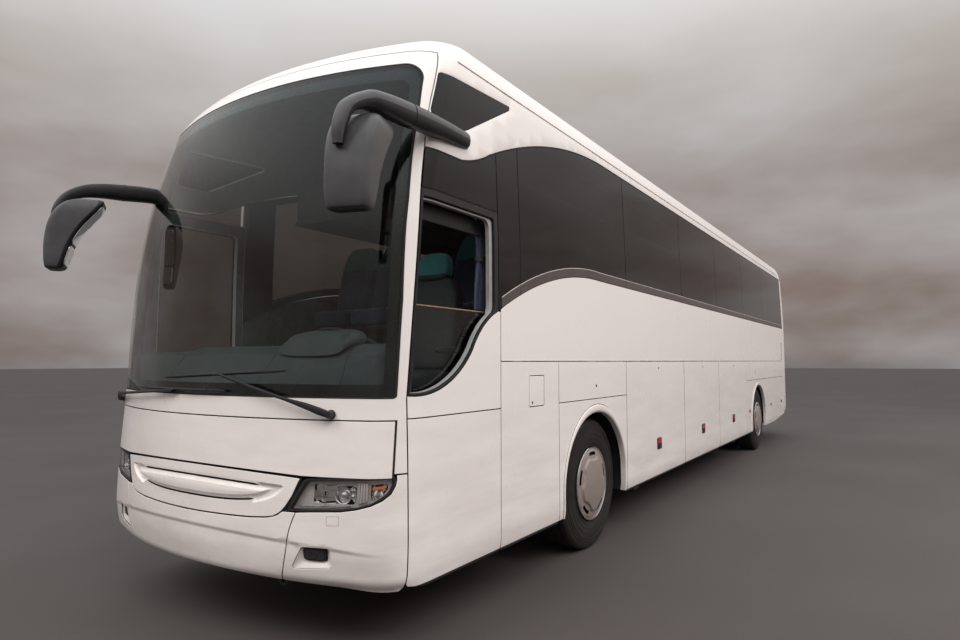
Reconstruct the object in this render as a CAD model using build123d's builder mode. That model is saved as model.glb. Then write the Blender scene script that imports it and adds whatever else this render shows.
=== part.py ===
from build123d import *
import math
import os

# Two-axle touring coach, left-hand drive.
# Frame: millimetres, +Z up, front of the vehicle towards -Y, its left side towards +X.
# Lengths along the vehicle are given as the distance behind the front axle and turned into Y by ay().

os.makedirs("parts", exist_ok=True)

# ------------------------------------------------------------------ driving dimensions
FRONT_AXLE_Y = -3600.0      # front axle in the part's frame
WHEELBASE = 6910.0
HUB_Z = 513.0
TYRE_R = 513.0
TYRE_BORE_R = 287.0
TYRE_W = 290.0
FRONT_WHEEL_X = 1070.0      # centre plane of the steered wheels
TWIN_OUTER_X = 1090.0       # centre planes of the rear twins
TWIN_INNER_X = 760.0
KINGPIN_X = 900.0

HALF_W = 1275.0
WALL = 55.0                 # body wall, door and flap thickness
GLASS = 14.0                # bonded glass
SKIRT_Z = 335.0
RAIL_Z = 1488.0             # rub rail: top of the luggage doors
BELT_Z = 2145.0             # lower edge of the side glazing
GLASS_TOP_Z = 3158.0
GAP = 6.0                   # joint between panels

FRONT_R = 3000.0            # plan radius of the front
FRONT_CORNER = 175.0        # width of the front corner, measured from the side
REAR_R = 9000.0
REAR_CORNER = 330.0

FLOOR_Z = 1460.0            # top of the passenger deck
CAB_Z = 950.0               # top of the driver's platform
SIDE_END = 9556.0           # joint between side wall and rear wall
SEAM_FRONT = -2364.0        # joint between front mask and side, low down

ARCH_R = 560.0              # rise of a wheel arch over its centre
ARCH_RX = 605.0             # half its width; straight down below the centre
ARCH_FRONT = (-20.0, 535.0)         # centre of the front arch (behind axle, z)
ARCH_REAR = (WHEELBASE - 60.0, 535.0)


def ay(behind_axle):
    return FRONT_AXLE_Y + behind_axle


# Sections of the body. Columns: z, half width, front face, rear face (both behind the front axle)
SECTIONS = [
    (335.0, 1262.0, -2695.0, 10110.0),
    (430.0, 1275.0, -2740.0, 10150.0),
    (570.0, 1275.0, -2757.0, 10170.0),
    (840.0, 1275.0, -2747.0, 10170.0),
    (1300.0, 1275.0, -2715.0, 10168.0),
    (1750.0, 1275.0, -2694.0, 10160.0),
    (2145.0, 1275.0, -2659.0, 10146.0),
    (2500.0, 1266.0, -2598.0, 10126.0),
    (2850.0, 1253.0, -2503.0, 10096.0),
    (3158.0, 1240.0, -2385.0, 10050.0),
    (3300.0, 1212.0, -2270.0, 9980.0),
    (3415.0, 1130.0, -2080.0, 9860.0),
    (3485.0, 900.0, -1760.0, 9620.0),
    (3530.0, 420.0, -1250.0, 9200.0),
]


def plan_points(half_width, radius, corner, inset):
    """Half of a front or rear plan curve: main arc end, corner arc mid and end, apex offset.

    Returned distances are measured from the apex of the uninset curve.
    """
    x1 = half_width - corner
    a = math.asin(x1 / radius)
    r2 = corner / (1 - math.sin(a))
    cx = x1 - r2 * math.sin(a)
    cy = radius - radius * math.cos(a) + r2 * math.cos(a)
    main_end = ((radius - inset) * math.sin(a), radius - (radius - inset) * math.cos(a))
    m = (a + math.pi / 2) / 2
    mid = (cx + (r2 - inset) * math.sin(m), cy - (r2 - inset) * math.cos(m))
    end = (cx + r2 - inset, cy)
    return main_end, mid, end


def body_solid(inset, lowest=None):
    """The whole body as one solid, all faces moved in by inset."""
    with BuildPart() as body:
        for i, (z, hw, front, rear) in enumerate(SECTIONS):
            drop = inset * min(1.0, max(0.0, (z - 3158.0) / 250.0))
            level = z - drop
            if i == 0 and lowest is not None:
                level = lowest
            f_main, f_mid, f_end = plan_points(hw, FRONT_R, FRONT_CORNER, inset)
            r_main, r_mid, r_end = plan_points(hw, REAR_R, REAR_CORNER, inset)
            yf, yr = ay(front), ay(rear)
            with BuildSketch(Plane.XY.offset(level)):
                with BuildLine():
                    ThreePointArc((-f_main[0], yf + f_main[1]), (0, yf + inset), (f_main[0], yf + f_main[1]))
                    ThreePointArc((f_main[0], yf + f_main[1]), (f_mid[0], yf + f_mid[1]), (f_end[0], yf + f_end[1]))
                    Line((f_end[0], yf + f_end[1]), (r_end[0], yr - r_end[1]))
                    ThreePointArc((r_end[0], yr - r_end[1]), (r_mid[0], yr - r_mid[1]), (r_main[0], yr - r_main[1]))
                    ThreePointArc((r_main[0], yr - r_main[1]), (0, yr - inset), (-r_main[0], yr - r_main[1]))
                    ThreePointArc((-r_main[0], yr - r_main[1]), (-r_mid[0], yr - r_mid[1]), (-r_end[0], yr - r_end[1]))
                    Line((-r_end[0], yr - r_end[1]), (-f_end[0], yf + f_end[1]))
                    ThreePointArc((-f_end[0], yf + f_end[1]), (-f_mid[0], yf + f_mid[1]), (-f_main[0], yf + f_main[1]))
                make_face()
        loft(ruled=True)
    return body.part


OUTER = body_solid(0.0)
INNER = body_solid(WALL, lowest=200.0)
BEHIND_GLASS = body_solid(GLASS, lowest=250.0)
LINING = body_solid(75.0, lowest=250.0)

with BuildPart() as wall_shell:
    add(OUTER)
    add(INNER, mode=Mode.SUBTRACT)
WALL_SHELL = wall_shell.part

with BuildPart() as glass_shell:
    add(OUTER)
    add(BEHIND_GLASS, mode=Mode.SUBTRACT)
GLASS_SHELL = glass_shell.part

with BuildPart() as pillar_shell:
    add(BEHIND_GLASS)
    add(INNER, mode=Mode.SUBTRACT)
PILLAR_SHELL = pillar_shell.part


def rod(p, q, r):
    """Round bar from p to q."""
    d = Vector(*q) - Vector(*p)
    return Plane(origin=p, z_dir=d) * Cylinder(r, d.length, align=(Align.CENTER, Align.CENTER, Align.MIN), mode=Mode.PRIVATE)


def slab(x0, x1, y0, y1, z0, z1):
    """Plain box between two corners; y is behind the front axle."""
    middle = Pos((x0 + x1) / 2, ay((y0 + y1) / 2), (z0 + z1) / 2)
    return middle * Box(abs(x1 - x0), abs(y1 - y0), abs(z1 - z0), mode=Mode.PRIVATE)


def upright(x, r, height):
    """Upright cylinder on a kingpin, centred at hub height."""
    return Pos(x, ay(0), HUB_Z) * Cylinder(r, height, mode=Mode.PRIVATE)


def save(part, name):
    part.label = name
    export_step(part, f"parts/{name}.step")


# ------------------------------------------------------------------ side view lines (behind axle, z)
# Joint between the front mask and the side, from below: columns behind axle, z
A_LINE = [(SEAM_FRONT, 1300.0), (-2312.0, 1900.0), (-2258.0, 2400.0), (-2215.0, 2640.0), (-2166.0, 2850.0),
          (-2084.0, 3100.0), (-2030.0, 3246.0)]


def a_line(z):
    if z <= A_LINE[0][1]:
        return A_LINE[0][0]
    for (y0, z0), (y1, z1) in zip(A_LINE, A_LINE[1:]):
        if z <= z1:
            return y0 + (y1 - y0) * (z - z0) / (z1 - z0)
    return A_LINE[-1][0]


def front_y(x, z):
    """Outer face of the front, behind the axle, at x and z."""
    z = max(z, SECTIONS[0][0])
    for (z0, w0, f0, _), (z1, w1, f1, _) in zip(SECTIONS, SECTIONS[1:]):
        if z <= z1:
            break
    t = (z - z0) / (z1 - z0)
    hw, apex = w0 + (w1 - w0) * t, f0 + (f1 - f0) * t
    x1, x = hw - FRONT_CORNER, abs(x)
    if x <= x1:
        return apex + FRONT_R - math.sqrt(FRONT_R**2 - x**2)
    a = math.asin(x1 / FRONT_R)
    r2 = FRONT_CORNER / (1 - math.sin(a))
    cx, cy = x1 - r2 * math.sin(a), FRONT_R - FRONT_R * math.cos(a) + r2 * math.cos(a)
    return apex + cy - math.sqrt(max(0.0, r2**2 - (x - cx) ** 2))


# Curves that wall and glass share; d is how far the line is shifted in z
def belt_wave(d):
    """From the level belt forward and down to the driver's window."""
    ThreePointArc((ay(72), 2145 + d), (ay(-800), 2058 + d), (ay(-1521), 1797 + d))


def driver_sill(d):
    """Lower edge of the driver's window, from its rear end forward."""
    ThreePointArc((ay(-1521), 1797 + d), (ay(-1680), 1703 + d), (ay(-1800), 1560 + d))
    ThreePointArc((ay(-1800), 1560 + d), (ay(-2050), 1366 + d), (ay(SEAM_FRONT + 3), 1315 + d))


def swoosh(d):
    """Lower edge of the white band over the driver's window, from the front to the level top line."""
    Line((ay(a_line(2640) + 3), 2637 + d), (ay(-1900), 2642 + d))
    ThreePointArc((ay(-1900), 2642 + d), (ay(-1750), 2682 + d), (ay(-1600), 2752 + d))
    ThreePointArc((ay(-1600), 2752 + d), (ay(-850), 3018 + d), (ay(250), 3158 + d))


def upper_window(d):
    """Outline of the small window above the white band, shrunk by d."""
    with BuildLine(Plane.XY) as outline:
        l1 = Polyline((ay(-2076 + d), 3092 - d), (ay(-1412 - d), 3128 - d), (ay(-1430 - d), 3072 + d * 0.4))
        l2 = ThreePointArc(l1 @ 1, (ay(-1640), 2930 + d), (ay(-1890), 2816 + d))
        Polyline(l2 @ 1, (ay(-2168 + d), 2820 + d), (ay(-2076 + d), 3092 - d))
    make_face(outline.edges())


PANE_JOINTS = [-1252.0, 675.0, 2420.0, 4050.0, 5750.0, 7420.0]      # behind axle

# Luggage doors. Columns: name, side (+1 left, -1 right), from, to
LUGGAGE_DOORS = [
    ("left_luggage_door_front", 1, 645.0, 2454.0),
    ("left_luggage_door_middle", 1, 2454.0, 4079.0),
    ("left_luggage_door_rear", 1, 4079.0, 5860.0),
    ("right_luggage_door_front", -1, 645.0, 2454.0),
    ("right_luggage_door_rear", -1, 2454.0, 4079.0),
]
MIDDLE_DOOR = (4125.0, 4960.0)
FRONT_DOOR = (-2362.0, -1500.0)
FUEL_FLAP = (-1136.0, -930.0, 1190.0, 1390.0)       # from, to, bottom, top


def glazing_outline(d, mode=Mode.ADD):
    """Outer outline of the side glazing above belt and driver's window, shrunk by about d."""
    with BuildLine(Plane.XY) as outline:
        swoosh(-d)
        Polyline((ay(250), 3158 - d), (ay(SIDE_END - d), 3158 - d), (ay(SIDE_END - d), 2145 + d), (ay(72), 2145 + d))
        belt_wave(d)
        Polyline((ay(-1521), 1797 + d), (ay(-1521), 2412), (ay(a_line(2412) + 4), 2412), (ay(a_line(2640) + 3), 2637 - d))
    make_face(outline.edges(), mode=mode)


def rect(y0, y1, z0, z1, mode=Mode.ADD):
    """Rectangle in a side-view sketch, y behind the front axle."""
    with Locations((ay((y0 + y1) / 2), (z0 + z1) / 2)):
        Rectangle(abs(y1 - y0), abs(z1 - z0), mode=mode)


def side_plane(side):
    """Sketch plane for side panels; an extrude of 420 covers the wall."""
    return Plane.YZ.offset(940.0 if side > 0 else -1360.0)


def arch_shape(centre, wider, higher, mode):
    """Wheel arch outline: half an ellipse on straight sides."""
    with Locations((ay(centre[0]), centre[1])):
        Ellipse(ARCH_RX + wider, ARCH_R + higher, mode=mode)
    with Locations((ay(centre[0]), centre[1] - 150)):
        Rectangle(2 * (ARCH_RX + wider), 300, mode=mode)


def rear_rise(mode=Mode.SUBTRACT):
    """The skirt rises behind the rear wheels."""
    with BuildLine(Plane.XY) as outline:
        Polyline((ay(8350), 300), (ay(8350), 336), (ay(10300), 500), (ay(10300), 300), close=True)
    make_face(outline.edges(), mode=mode)


h = GAP / 2

# ------------------------------------------------------------------ side walls
for side, wall_name in ((1, "left_side_wall"), (-1, "right_side_wall")):
    with BuildPart() as side_wall:
        with BuildSketch(side_plane(side)) as upper:
            with BuildLine():
                belt_wave(-2)
                Line((ay(-1521), 1795), (ay(-1496 - 24), RAIL_Z + h))
                Line((ay(-1520), RAIL_Z + h), (ay(SIDE_END - h), RAIL_Z + h))
                Line((ay(SIDE_END - h), RAIL_Z + h), (ay(SIDE_END - h), 2143))
                Line((ay(SIDE_END - h), 2143), (ay(72), 2143))
            make_face()
            if side > 0:
                rect(-1499, -1493, 1300, 1900, mode=Mode.SUBTRACT)
            else:
                rect(-1540, -1494, 1300, 1900, mode=Mode.SUBTRACT)
        extrude(amount=420)
        with BuildSketch(side_plane(side)) as lower:
            if side > 0:
                # driver's panel under the window
                with BuildLine():
                    driver_sill(-4)
                    Line((ay(SEAM_FRONT + 3), 1311), (ay(SEAM_FRONT + 3), 1203))
                    Line((ay(SEAM_FRONT + 3), 1203), (ay(-1499), 1203))
                    Line((ay(-1499), 1203), (ay(-1499), 1793))
                    Line((ay(-1499), 1793), (ay(-1521), 1793))
                make_face()
                rect(SEAM_FRONT + 3, -1499, SKIRT_Z, 1197)
            # panel with the filler flap
            rect(-1493, -703, SKIRT_Z, RAIL_Z - h)
            if side > 0:
                rect(FUEL_FLAP[0] - GAP, FUEL_FLAP[1] + GAP, FUEL_FLAP[2] - GAP, FUEL_FLAP[3] + GAP, mode=Mode.SUBTRACT)
            # front arch panel and the panel above it
            rect(-697, 642, SKIRT_Z, 1187)
            rect(-697, 642, 1193, RAIL_Z - h)
            if side < 0:
                rect(4082, MIDDLE_DOOR[0] - GAP, SKIRT_Z, RAIL_Z - h)
                rect(MIDDLE_DOOR[1] + GAP, 5857, SKIRT_Z, RAIL_Z - h)
            # rear arch panel and the panels over it
            rect(5863, SIDE_END - h, SKIRT_Z, 1177)
            rect(5863, 7497, 1183, RAIL_Z - h)
            rect(7503, SIDE_END - h, 1183, RAIL_Z - h)
            rear_rise()
            arch_shape(ARCH_FRONT, 0, 0, Mode.SUBTRACT)
            arch_shape(ARCH_REAR, 0, 0, Mode.SUBTRACT)
        extrude(amount=420)
        add(WALL_SHELL, mode=Mode.INTERSECT)
        if side < 0:
            # the middle door runs up to the belt
            add(slab(-1400, -900, MIDDLE_DOOR[0] - GAP, MIDDLE_DOOR[1] + GAP, 300, 2150), mode=Mode.SUBTRACT)
        # flares round the arches: a raised lip on the skin
        with BuildSketch(Plane.YZ.offset(HALF_W - 2 if side > 0 else -HALF_W - 11)):
            for centre in (ARCH_FRONT, ARCH_REAR):
                arch_shape(centre, 14, 48, Mode.ADD)
                arch_shape(centre, 0, 0, Mode.SUBTRACT)
            with Locations((0, 0)):
                Rectangle(20000, 760, mode=Mode.SUBTRACT)
        extrude(amount=13)
    save(side_wall.part, wall_name)

# ------------------------------------------------------------------ luggage doors
for name, side, y0, y1 in LUGGAGE_DOORS:
    with BuildPart() as luggage_door:
        with BuildSketch(side_plane(side)):
            rect(y0 + h, y1 - h, SKIRT_Z, RAIL_Z - h)
        extrude(amount=420)
        add(WALL_SHELL, mode=Mode.INTERSECT)
    save(luggage_door.part, name)

with BuildPart() as fuel_flap:
    with BuildSketch(Plane.YZ.offset(HALF_W - 20)):
        rect(*FUEL_FLAP)
    extrude(amount=20)
save(fuel_flap.part, "fuel_flap")

# ------------------------------------------------------------------ side glazing
for side, glass_name in ((1, "left_side_glass"), (-1, "right_side_glass")):
    with BuildPart() as side_glass:
        with BuildSketch(side_plane(side)):
            glazing_outline(3)
            for joint in PANE_JOINTS + [-1522.0]:
                rect(joint - h, joint + h, 1500, 3300, mode=Mode.SUBTRACT)
            if side < 0:
                rect(-2400, -1494, 1000, 2612, mode=Mode.SUBTRACT)
            upper_window(5)
        extrude(amount=420)
        add(GLASS_SHELL, mode=Mode.INTERSECT)
        if side > 0:
            # the driver's pane, lowered to half height on the inner face of the body side
            add(slab(1205, 1211, -2275, -1545, 1240, 1790))
        else:
            # panes of the front door and the middle door, set in the door leaves
            with BuildSketch(side_plane(-1)):
                rect(-2255, -1575, 640, 1312)
                rect(-2225, -1575, 1388, 2510)
                rect(MIDDLE_DOOR[0] + 95, MIDDLE_DOOR[1] - 95, 1240, 2030)
            extrude(amount=420)
            add(GLASS_SHELL, mode=Mode.INTERSECT)
    save(side_glass.part, glass_name)

# ------------------------------------------------------------------ driver's window frame
with BuildPart() as driver_window_frame:
    with BuildSketch(side_plane(1)):
        with BuildLine():
            driver_sill(1)
            Polyline((ay(SEAM_FRONT + 3), 1316), (ay(a_line(1900) + 3), 1900), (ay(a_line(2406) + 4), 2406), (ay(-1526), 2406))
            Line((ay(-1526), 2406), (ay(-1521), 1798))
        make_face()
        offset(amount=-42, mode=Mode.SUBTRACT)
    extrude(amount=420)
    add(WALL_SHELL, mode=Mode.INTERSECT)
save(driver_window_frame.part, "driver_window_frame")

# ------------------------------------------------------------------ pillars and rails behind the glass
with BuildPart() as window_pillars:
    with BuildSketch(Plane.YZ.offset(-1400)):
        glazing_outline(5)
        with BuildSketch(Plane.XY, mode=Mode.SUBTRACT):
            glazing_outline(5)
            offset(amount=-56, kind=Kind.INTERSECTION, mode=Mode.REPLACE)
            for joint in PANE_JOINTS:
                rect(joint - 45, joint + 45, 1500, 3300, mode=Mode.SUBTRACT)
            rect(-1480, -1280, 1500, 3300, mode=Mode.SUBTRACT)
        rect(-2400, -1490, 1500, 3300, mode=Mode.SUBTRACT)
    extrude(amount=2800)
    add(PILLAR_SHELL, mode=Mode.INTERSECT)
save(window_pillars.part, "window_pillars")

# ------------------------------------------------------------------ roof
HATCHES = [("front_roof_hatch", 850.0), ("rear_roof_hatch", 7350.0)]     # name, centre behind axle
HATCH = 620.0
with BuildPart() as roof:
    with BuildSketch(Plane.YZ.offset(-1400)):
        with BuildLine():
            swoosh(3)
            Polyline((ay(250), 3161), (ay(11000), 3161), (ay(11000), 3800), (ay(-3200), 3800), (ay(-3200), 3249),
                     (ay(a_line(3246) + h), 3249), (ay(a_line(3100) + h), 3100), (ay(a_line(2850) + h), 2850),
                     (ay(a_line(2640) + 3), 2640))
        make_face()
    extrude(amount=2800)
    # the small upper windows are cut through both sides
    with BuildSketch(Plane.YZ.offset(-1400)):
        upper_window(0)
    extrude(amount=2800, mode=Mode.SUBTRACT)
    add(WALL_SHELL, mode=Mode.INTERSECT)
    for _, centre in HATCHES:
        add(slab(-HATCH / 2 + 25, HATCH / 2 - 25, centre - HATCH / 2 + 25, centre + HATCH / 2 - 25, 3300, 3700), mode=Mode.SUBTRACT)
save(roof.part, "roof")

for name, centre in HATCHES:
    with BuildPart() as hatch:
        with BuildSketch(Plane.XY.offset(3536)):
            with Locations((0, ay(centre))):
                RectangleRounded(HATCH, HATCH, 60)
        extrude(amount=48, taper=12)
    save(hatch.part, name)

# ------------------------------------------------------------------ front mask and windscreen
def windscreen_outline(d):
    """Front view of the windscreen, shrunk by d."""
    with BuildLine(Plane.XY) as outline:
        Polyline((-1223 + d, 1303 + d), (1223 - d, 1303 + d), (1230 - d, 1800), (1222 - d, 2330), (1178 - d, 2860),
                 (1163 - d, 3030), (1080 - d * 0.6, 3130 - d), (-1080 + d * 0.6, 3130 - d), (-1163 + d, 3030),
                 (-1178 + d, 2860), (-1222 + d, 2330), (-1230 + d, 1800), close=True)
    make_face(outline.edges())


FRONT_PLANE = Plane.XZ.offset(-ay(-1900))       # sketch x = X, sketch y = Z, extrudes to the front

with BuildPart() as front_mask:
    with BuildSketch(Plane.YZ.offset(-1400)):
        with BuildLine():
            Polyline([(ay(-3200), 1196), (ay(SEAM_FRONT - h), 1196)] + [(ay(y - h), min(z, 3243)) for y, z in A_LINE]
                     + [(ay(-3200), 3243)], close=True)
        make_face()
        rect(-3200, SEAM_FRONT - h, 934, 1197)
    extrude(amount=2800)
    add(WALL_SHELL, mode=Mode.INTERSECT)
    with BuildSketch(FRONT_PLANE):
        windscreen_outline(0)
    extrude(amount=1300, mode=Mode.SUBTRACT)
    add(slab(-1228, 1228, -3200, -2000, 900, 1196), mode=Mode.SUBTRACT)
save(front_mask.part, "front_mask")

with BuildPart() as windscreen:
    with BuildSketch(FRONT_PLANE):
        windscreen_outline(4)
    extrude(amount=1300)
    add(GLASS_SHELL, mode=Mode.INTERSECT)
save(windscreen.part, "windscreen")

with BuildPart() as front_service_flap:
    add(slab(-1222, 1222, -3200, -2380, 914, 1190))
    add(WALL_SHELL, mode=Mode.INTERSECT)
    # arched lower edge over the grille panel
    with BuildSketch(FRONT_PLANE):
        with BuildLine():
            ThreePointArc((-800, 910), (0, 936), (800, 910))
            Line((800, 910), (-800, 910))
        make_face()
    extrude(amount=1300, mode=Mode.SUBTRACT)
save(front_service_flap.part, "front_service_flap")


# ------------------------------------------------------------------ bumper, grille panel, headlights
def lamp_outline(side, d):
    """Front view of a headlight, grown by d."""
    pts = [(799, 904 + d), (1232 + d, 926 + d), (1229 + d, 857), (1150, 785 - d), (1008, 753 - d), (712 - d, 736 - d)]
    with BuildLine(Plane.XY) as outline:
        Polyline(*[(side * x, z) for x, z in pts], close=True)
    make_face(outline.edges())


def grille_outline(d):
    pts = [(788 - d, 904 - d), (716 - d, 764), (690 - d, 735), (650 - d, 708 + d), (500, 691 + d), (250, 684 + d)]
    with BuildLine(Plane.XY) as outline:
        Polyline(*([(x, z) for x, z in pts] + [(-x, z) for x, z in reversed(pts)]))
        ThreePointArc((-788 + d, 904 - d), (0, 930 - d), (788 - d, 904 - d))
    make_face(outline.edges())


with BuildPart() as grille_panel:
    with BuildSketch(FRONT_PLANE):
        grille_outline(3)
    extrude(amount=1300)
    add(WALL_SHELL, mode=Mode.INTERSECT)
    # crescent recess with its slots
    with BuildSketch(Plane.XZ.offset(-ay(-2722))):
        with BuildLine():
            ThreePointArc((-690, 862), (0, 884), (690, 862))
            Line((690, 862), (570, 772))
            ThreePointArc((570, 772), (0, 742), (-570, 772))
            Line((-570, 772), (-690, 862))
        make_face()
    extrude(amount=200, mode=Mode.SUBTRACT)
    for z0, half in ((846, 520), (806, 500), (770, 470)):
        with BuildSketch(Plane.XZ.offset(-ay(-2722))):
            with Locations((0, z0)):
                Rectangle(2 * half, 16)
        extrude(amount=12)
save(grille_panel.part, "grille_panel")

# recesses round the fog lamps, as deep as the bumper but for a thin back wall
with BuildPart() as fog_pockets:
    with BuildSketch(FRONT_PLANE):
        for side in (1, -1):
            with BuildLine():
                Polyline((side * 740, 452), (side * 985, 490), (side * 995, 572), (side * 770, 566), close=True)
            make_face()
    extrude(amount=1300)
    add(WALL_SHELL, mode=Mode.INTERSECT)

with BuildPart() as fog_lamps:
    with BuildSketch(FRONT_PLANE):
        with Locations((865, 528), (-865, 528)):
            RectangleRounded(110, 62, 22)
    extrude(amount=1300)
    add(Pos(0, 18, 0) * OUTER, mode=Mode.INTERSECT)
    add(Pos(0, 38, 0) * OUTER, mode=Mode.SUBTRACT)

with BuildPart() as front_bumper:
    with BuildSketch(Plane.YZ.offset(-1400)):
        with BuildLine():
            Polyline((ay(-3200), 370), (ay(-2700), 370), (ay(-2450), 340), (ay(SEAM_FRONT - h), 336),
                     (ay(SEAM_FRONT - h), 928), (ay(-3200), 928), close=True)
        make_face()
    extrude(amount=2800)
    add(WALL_SHELL, mode=Mode.INTERSECT)
    with BuildSketch(FRONT_PLANE):
        grille_outline(-3)
        lamp_outline(1, 4)
        lamp_outline(-1, 4)
        with Locations((0, 960)):
            Rectangle(1700, 116)
        # joints between the bumper's middle and its corners
        for side in (1, -1):
            with BuildLine():
                Polyline((side * 768, 731), (side * 773, 731), (side * 729, 589), (side * 665, 300), (side * 660, 300),
                         (side * 724, 589), close=True)
            make_face()
    extrude(amount=1300, mode=Mode.SUBTRACT)
    add(slab(-1222, 1222, -3200, -2380, 908, 1000), mode=Mode.SUBTRACT)
    add(Pos(0, -14, 0) * fog_pockets.part, mode=Mode.SUBTRACT)
save(front_bumper.part, "front_bumper")

with BuildPart() as headlights:
    with BuildSketch(FRONT_PLANE):
        lamp_outline(1, 0)
        lamp_outline(-1, 0)
    extrude(amount=1300)
    add(OUTER, mode=Mode.INTERSECT)
    add(slab(-1300, 1300, -2400, 0, 600, 1000), mode=Mode.SUBTRACT)
    add(slab(-1222, 1222, -3200, -2380, 908, 1000), mode=Mode.SUBTRACT)
    add(fog_lamps.part)
save(headlights.part, "headlights")

# ------------------------------------------------------------------ rear end
def rear_rect(x0, x1, z0, z1, mode=Mode.ADD, both=False):
    for s in ((1, -1) if both else (1,)):
        with Locations((s * (x0 + x1) / 2, (z0 + z1) / 2)):
            Rectangle(abs(x1 - x0), abs(z1 - z0), mode=mode)


REAR_PLANE = Plane.XZ.offset(-ay(10400))        # extrudes forward (towards -Y)
ENGINE_DOOR = (-905.0, 905.0, 800.0, 1640.0)
REAR_WINDOW = (-1010.0, 1010.0, 1790.0, 2930.0)
TAIL_LAMP = (985.0, 1135.0, 830.0, 1400.0)

with BuildPart() as rear_wall:
    with BuildSketch(REAR_PLANE):
        rear_rect(-1300, 1300, 763, 3155)
        rear_rect(*ENGINE_DOOR, mode=Mode.SUBTRACT)
        rear_rect(*REAR_WINDOW, mode=Mode.SUBTRACT)
        rear_rect(*TAIL_LAMP, mode=Mode.SUBTRACT, both=True)
    extrude(amount=10400 - SIDE_END - h)
    add(WALL_SHELL, mode=Mode.INTERSECT)
save(rear_wall.part, "rear_wall")

with BuildPart() as rear_window:
    with BuildSketch(REAR_PLANE):
        rear_rect(REAR_WINDOW[0] + 4, REAR_WINDOW[1] - 4, REAR_WINDOW[2] + 4, REAR_WINDOW[3] - 4)
    extrude(amount=800)
    add(GLASS_SHELL, mode=Mode.INTERSECT)
save(rear_window.part, "rear_window")

with BuildPart() as engine_door:
    with BuildSketch(REAR_PLANE):
        rear_rect(ENGINE_DOOR[0] + GAP, ENGINE_DOOR[1] - GAP, ENGINE_DOOR[2] + 10, ENGINE_DOOR[3] - GAP)
    extrude(amount=800)
    add(WALL_SHELL, mode=Mode.INTERSECT)
save(engine_door.part, "engine_door")

with BuildPart() as tail_lights:
    with BuildSketch(REAR_PLANE):
        rear_rect(TAIL_LAMP[0] + 3, TAIL_LAMP[1] - 3, TAIL_LAMP[2] + 3, TAIL_LAMP[3] - 3, both=True)
    extrude(amount=800)
    add(WALL_SHELL, mode=Mode.INTERSECT)
save(tail_lights.part, "tail_lights")

with BuildPart() as rear_bumper:
    with BuildSketch(REAR_PLANE):
        rear_rect(-1300, 1300, 470, 757)
    extrude(amount=10400 - SIDE_END - h)
    add(WALL_SHELL, mode=Mode.INTERSECT)
save(rear_bumper.part, "rear_bumper")

# ------------------------------------------------------------------ passenger doors (right side)
with BuildPart() as front_door:
    with BuildSketch(side_plane(-1)):
        rect(FRONT_DOOR[0] - 15, FRONT_DOOR[1], 378, 2606)
        rect(-2259, -1571, 636, 1316, mode=Mode.SUBTRACT)
        rect(-2229, -1571, 1384, 2514, mode=Mode.SUBTRACT)
    extrude(amount=420)
    with BuildSketch(side_plane(-1)):
        with BuildLine():
            Polyline([(ay(-2900), 200), (ay(SEAM_FRONT + 3), 200)] + [(ay(y + 3), z) for y, z in A_LINE[:5]]
                     + [(ay(-2900), A_LINE[4][1])], close=True)
        make_face()
    extrude(amount=420, mode=Mode.SUBTRACT)
    add(WALL_SHELL, mode=Mode.INTERSECT)
save(front_door.part, "front_door")

with BuildPart() as middle_door:
    with BuildSketch(side_plane(-1)):
        rect(MIDDLE_DOOR[0], MIDDLE_DOOR[1], 345, 2140)
        rect(MIDDLE_DOOR[0] + 91, MIDDLE_DOOR[1] - 91, 1236, 2034, mode=Mode.SUBTRACT)
    extrude(amount=420)
    add(WALL_SHELL, mode=Mode.INTERSECT)
save(middle_door.part, "middle_door")

# ------------------------------------------------------------------ frame, floors, bays
# Frame members, a hair apart where they meet. Columns: x from, to, y from, to, z from, to; mirrored to the other side
FRAME_SIDE = [
    (400.0, 480.0, -2420.0, 660.0, 660.0, 820.0),           # front rail
    (400.0, 480.0, 600.0, 660.0, 262.0, 659.5),             # post down to the bay beam
    (400.0, 480.0, 660.5, 6069.5, 262.0, 352.0),            # beam under the bays
    (400.0, 480.0, 6070.0, 6130.0, 262.0, 659.5),           # post up to the rear rail
    (400.0, 480.0, 6070.0, 9760.0, 660.0, 820.0),           # rear rail
    (480.5, 1150.0, 1150.0, 1250.0, 282.0, 352.0),          # outriggers and their jacking pads
    (480.5, 1150.0, 5450.0, 5550.0, 282.0, 352.0),
    (1010.0, 1150.0, 1130.0, 1270.0, 262.0, 281.5),
    (1010.0, 1150.0, 5430.0, 5570.0, 262.0, 281.5),
]
# Cross members between the rails. Columns: y from, to, z from, to
FRAME_CROSS = [
    (-2420.0, -2340.0, 660.0, 820.0), (-1500.0, -1420.0, 660.0, 820.0), (-760.0, -700.0, 660.0, 820.0),
    (600.0, 659.5, 262.0, 352.0), (2420.0, 2490.0, 262.0, 352.0), (4040.0, 4110.0, 262.0, 352.0),
    (6070.0, 6130.0, 262.0, 352.0), (7560.0, 7640.0, 660.0, 820.0), (9680.0, 9760.0, 660.0, 820.0),
]
TOW_BORE_R = 20.0
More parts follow.
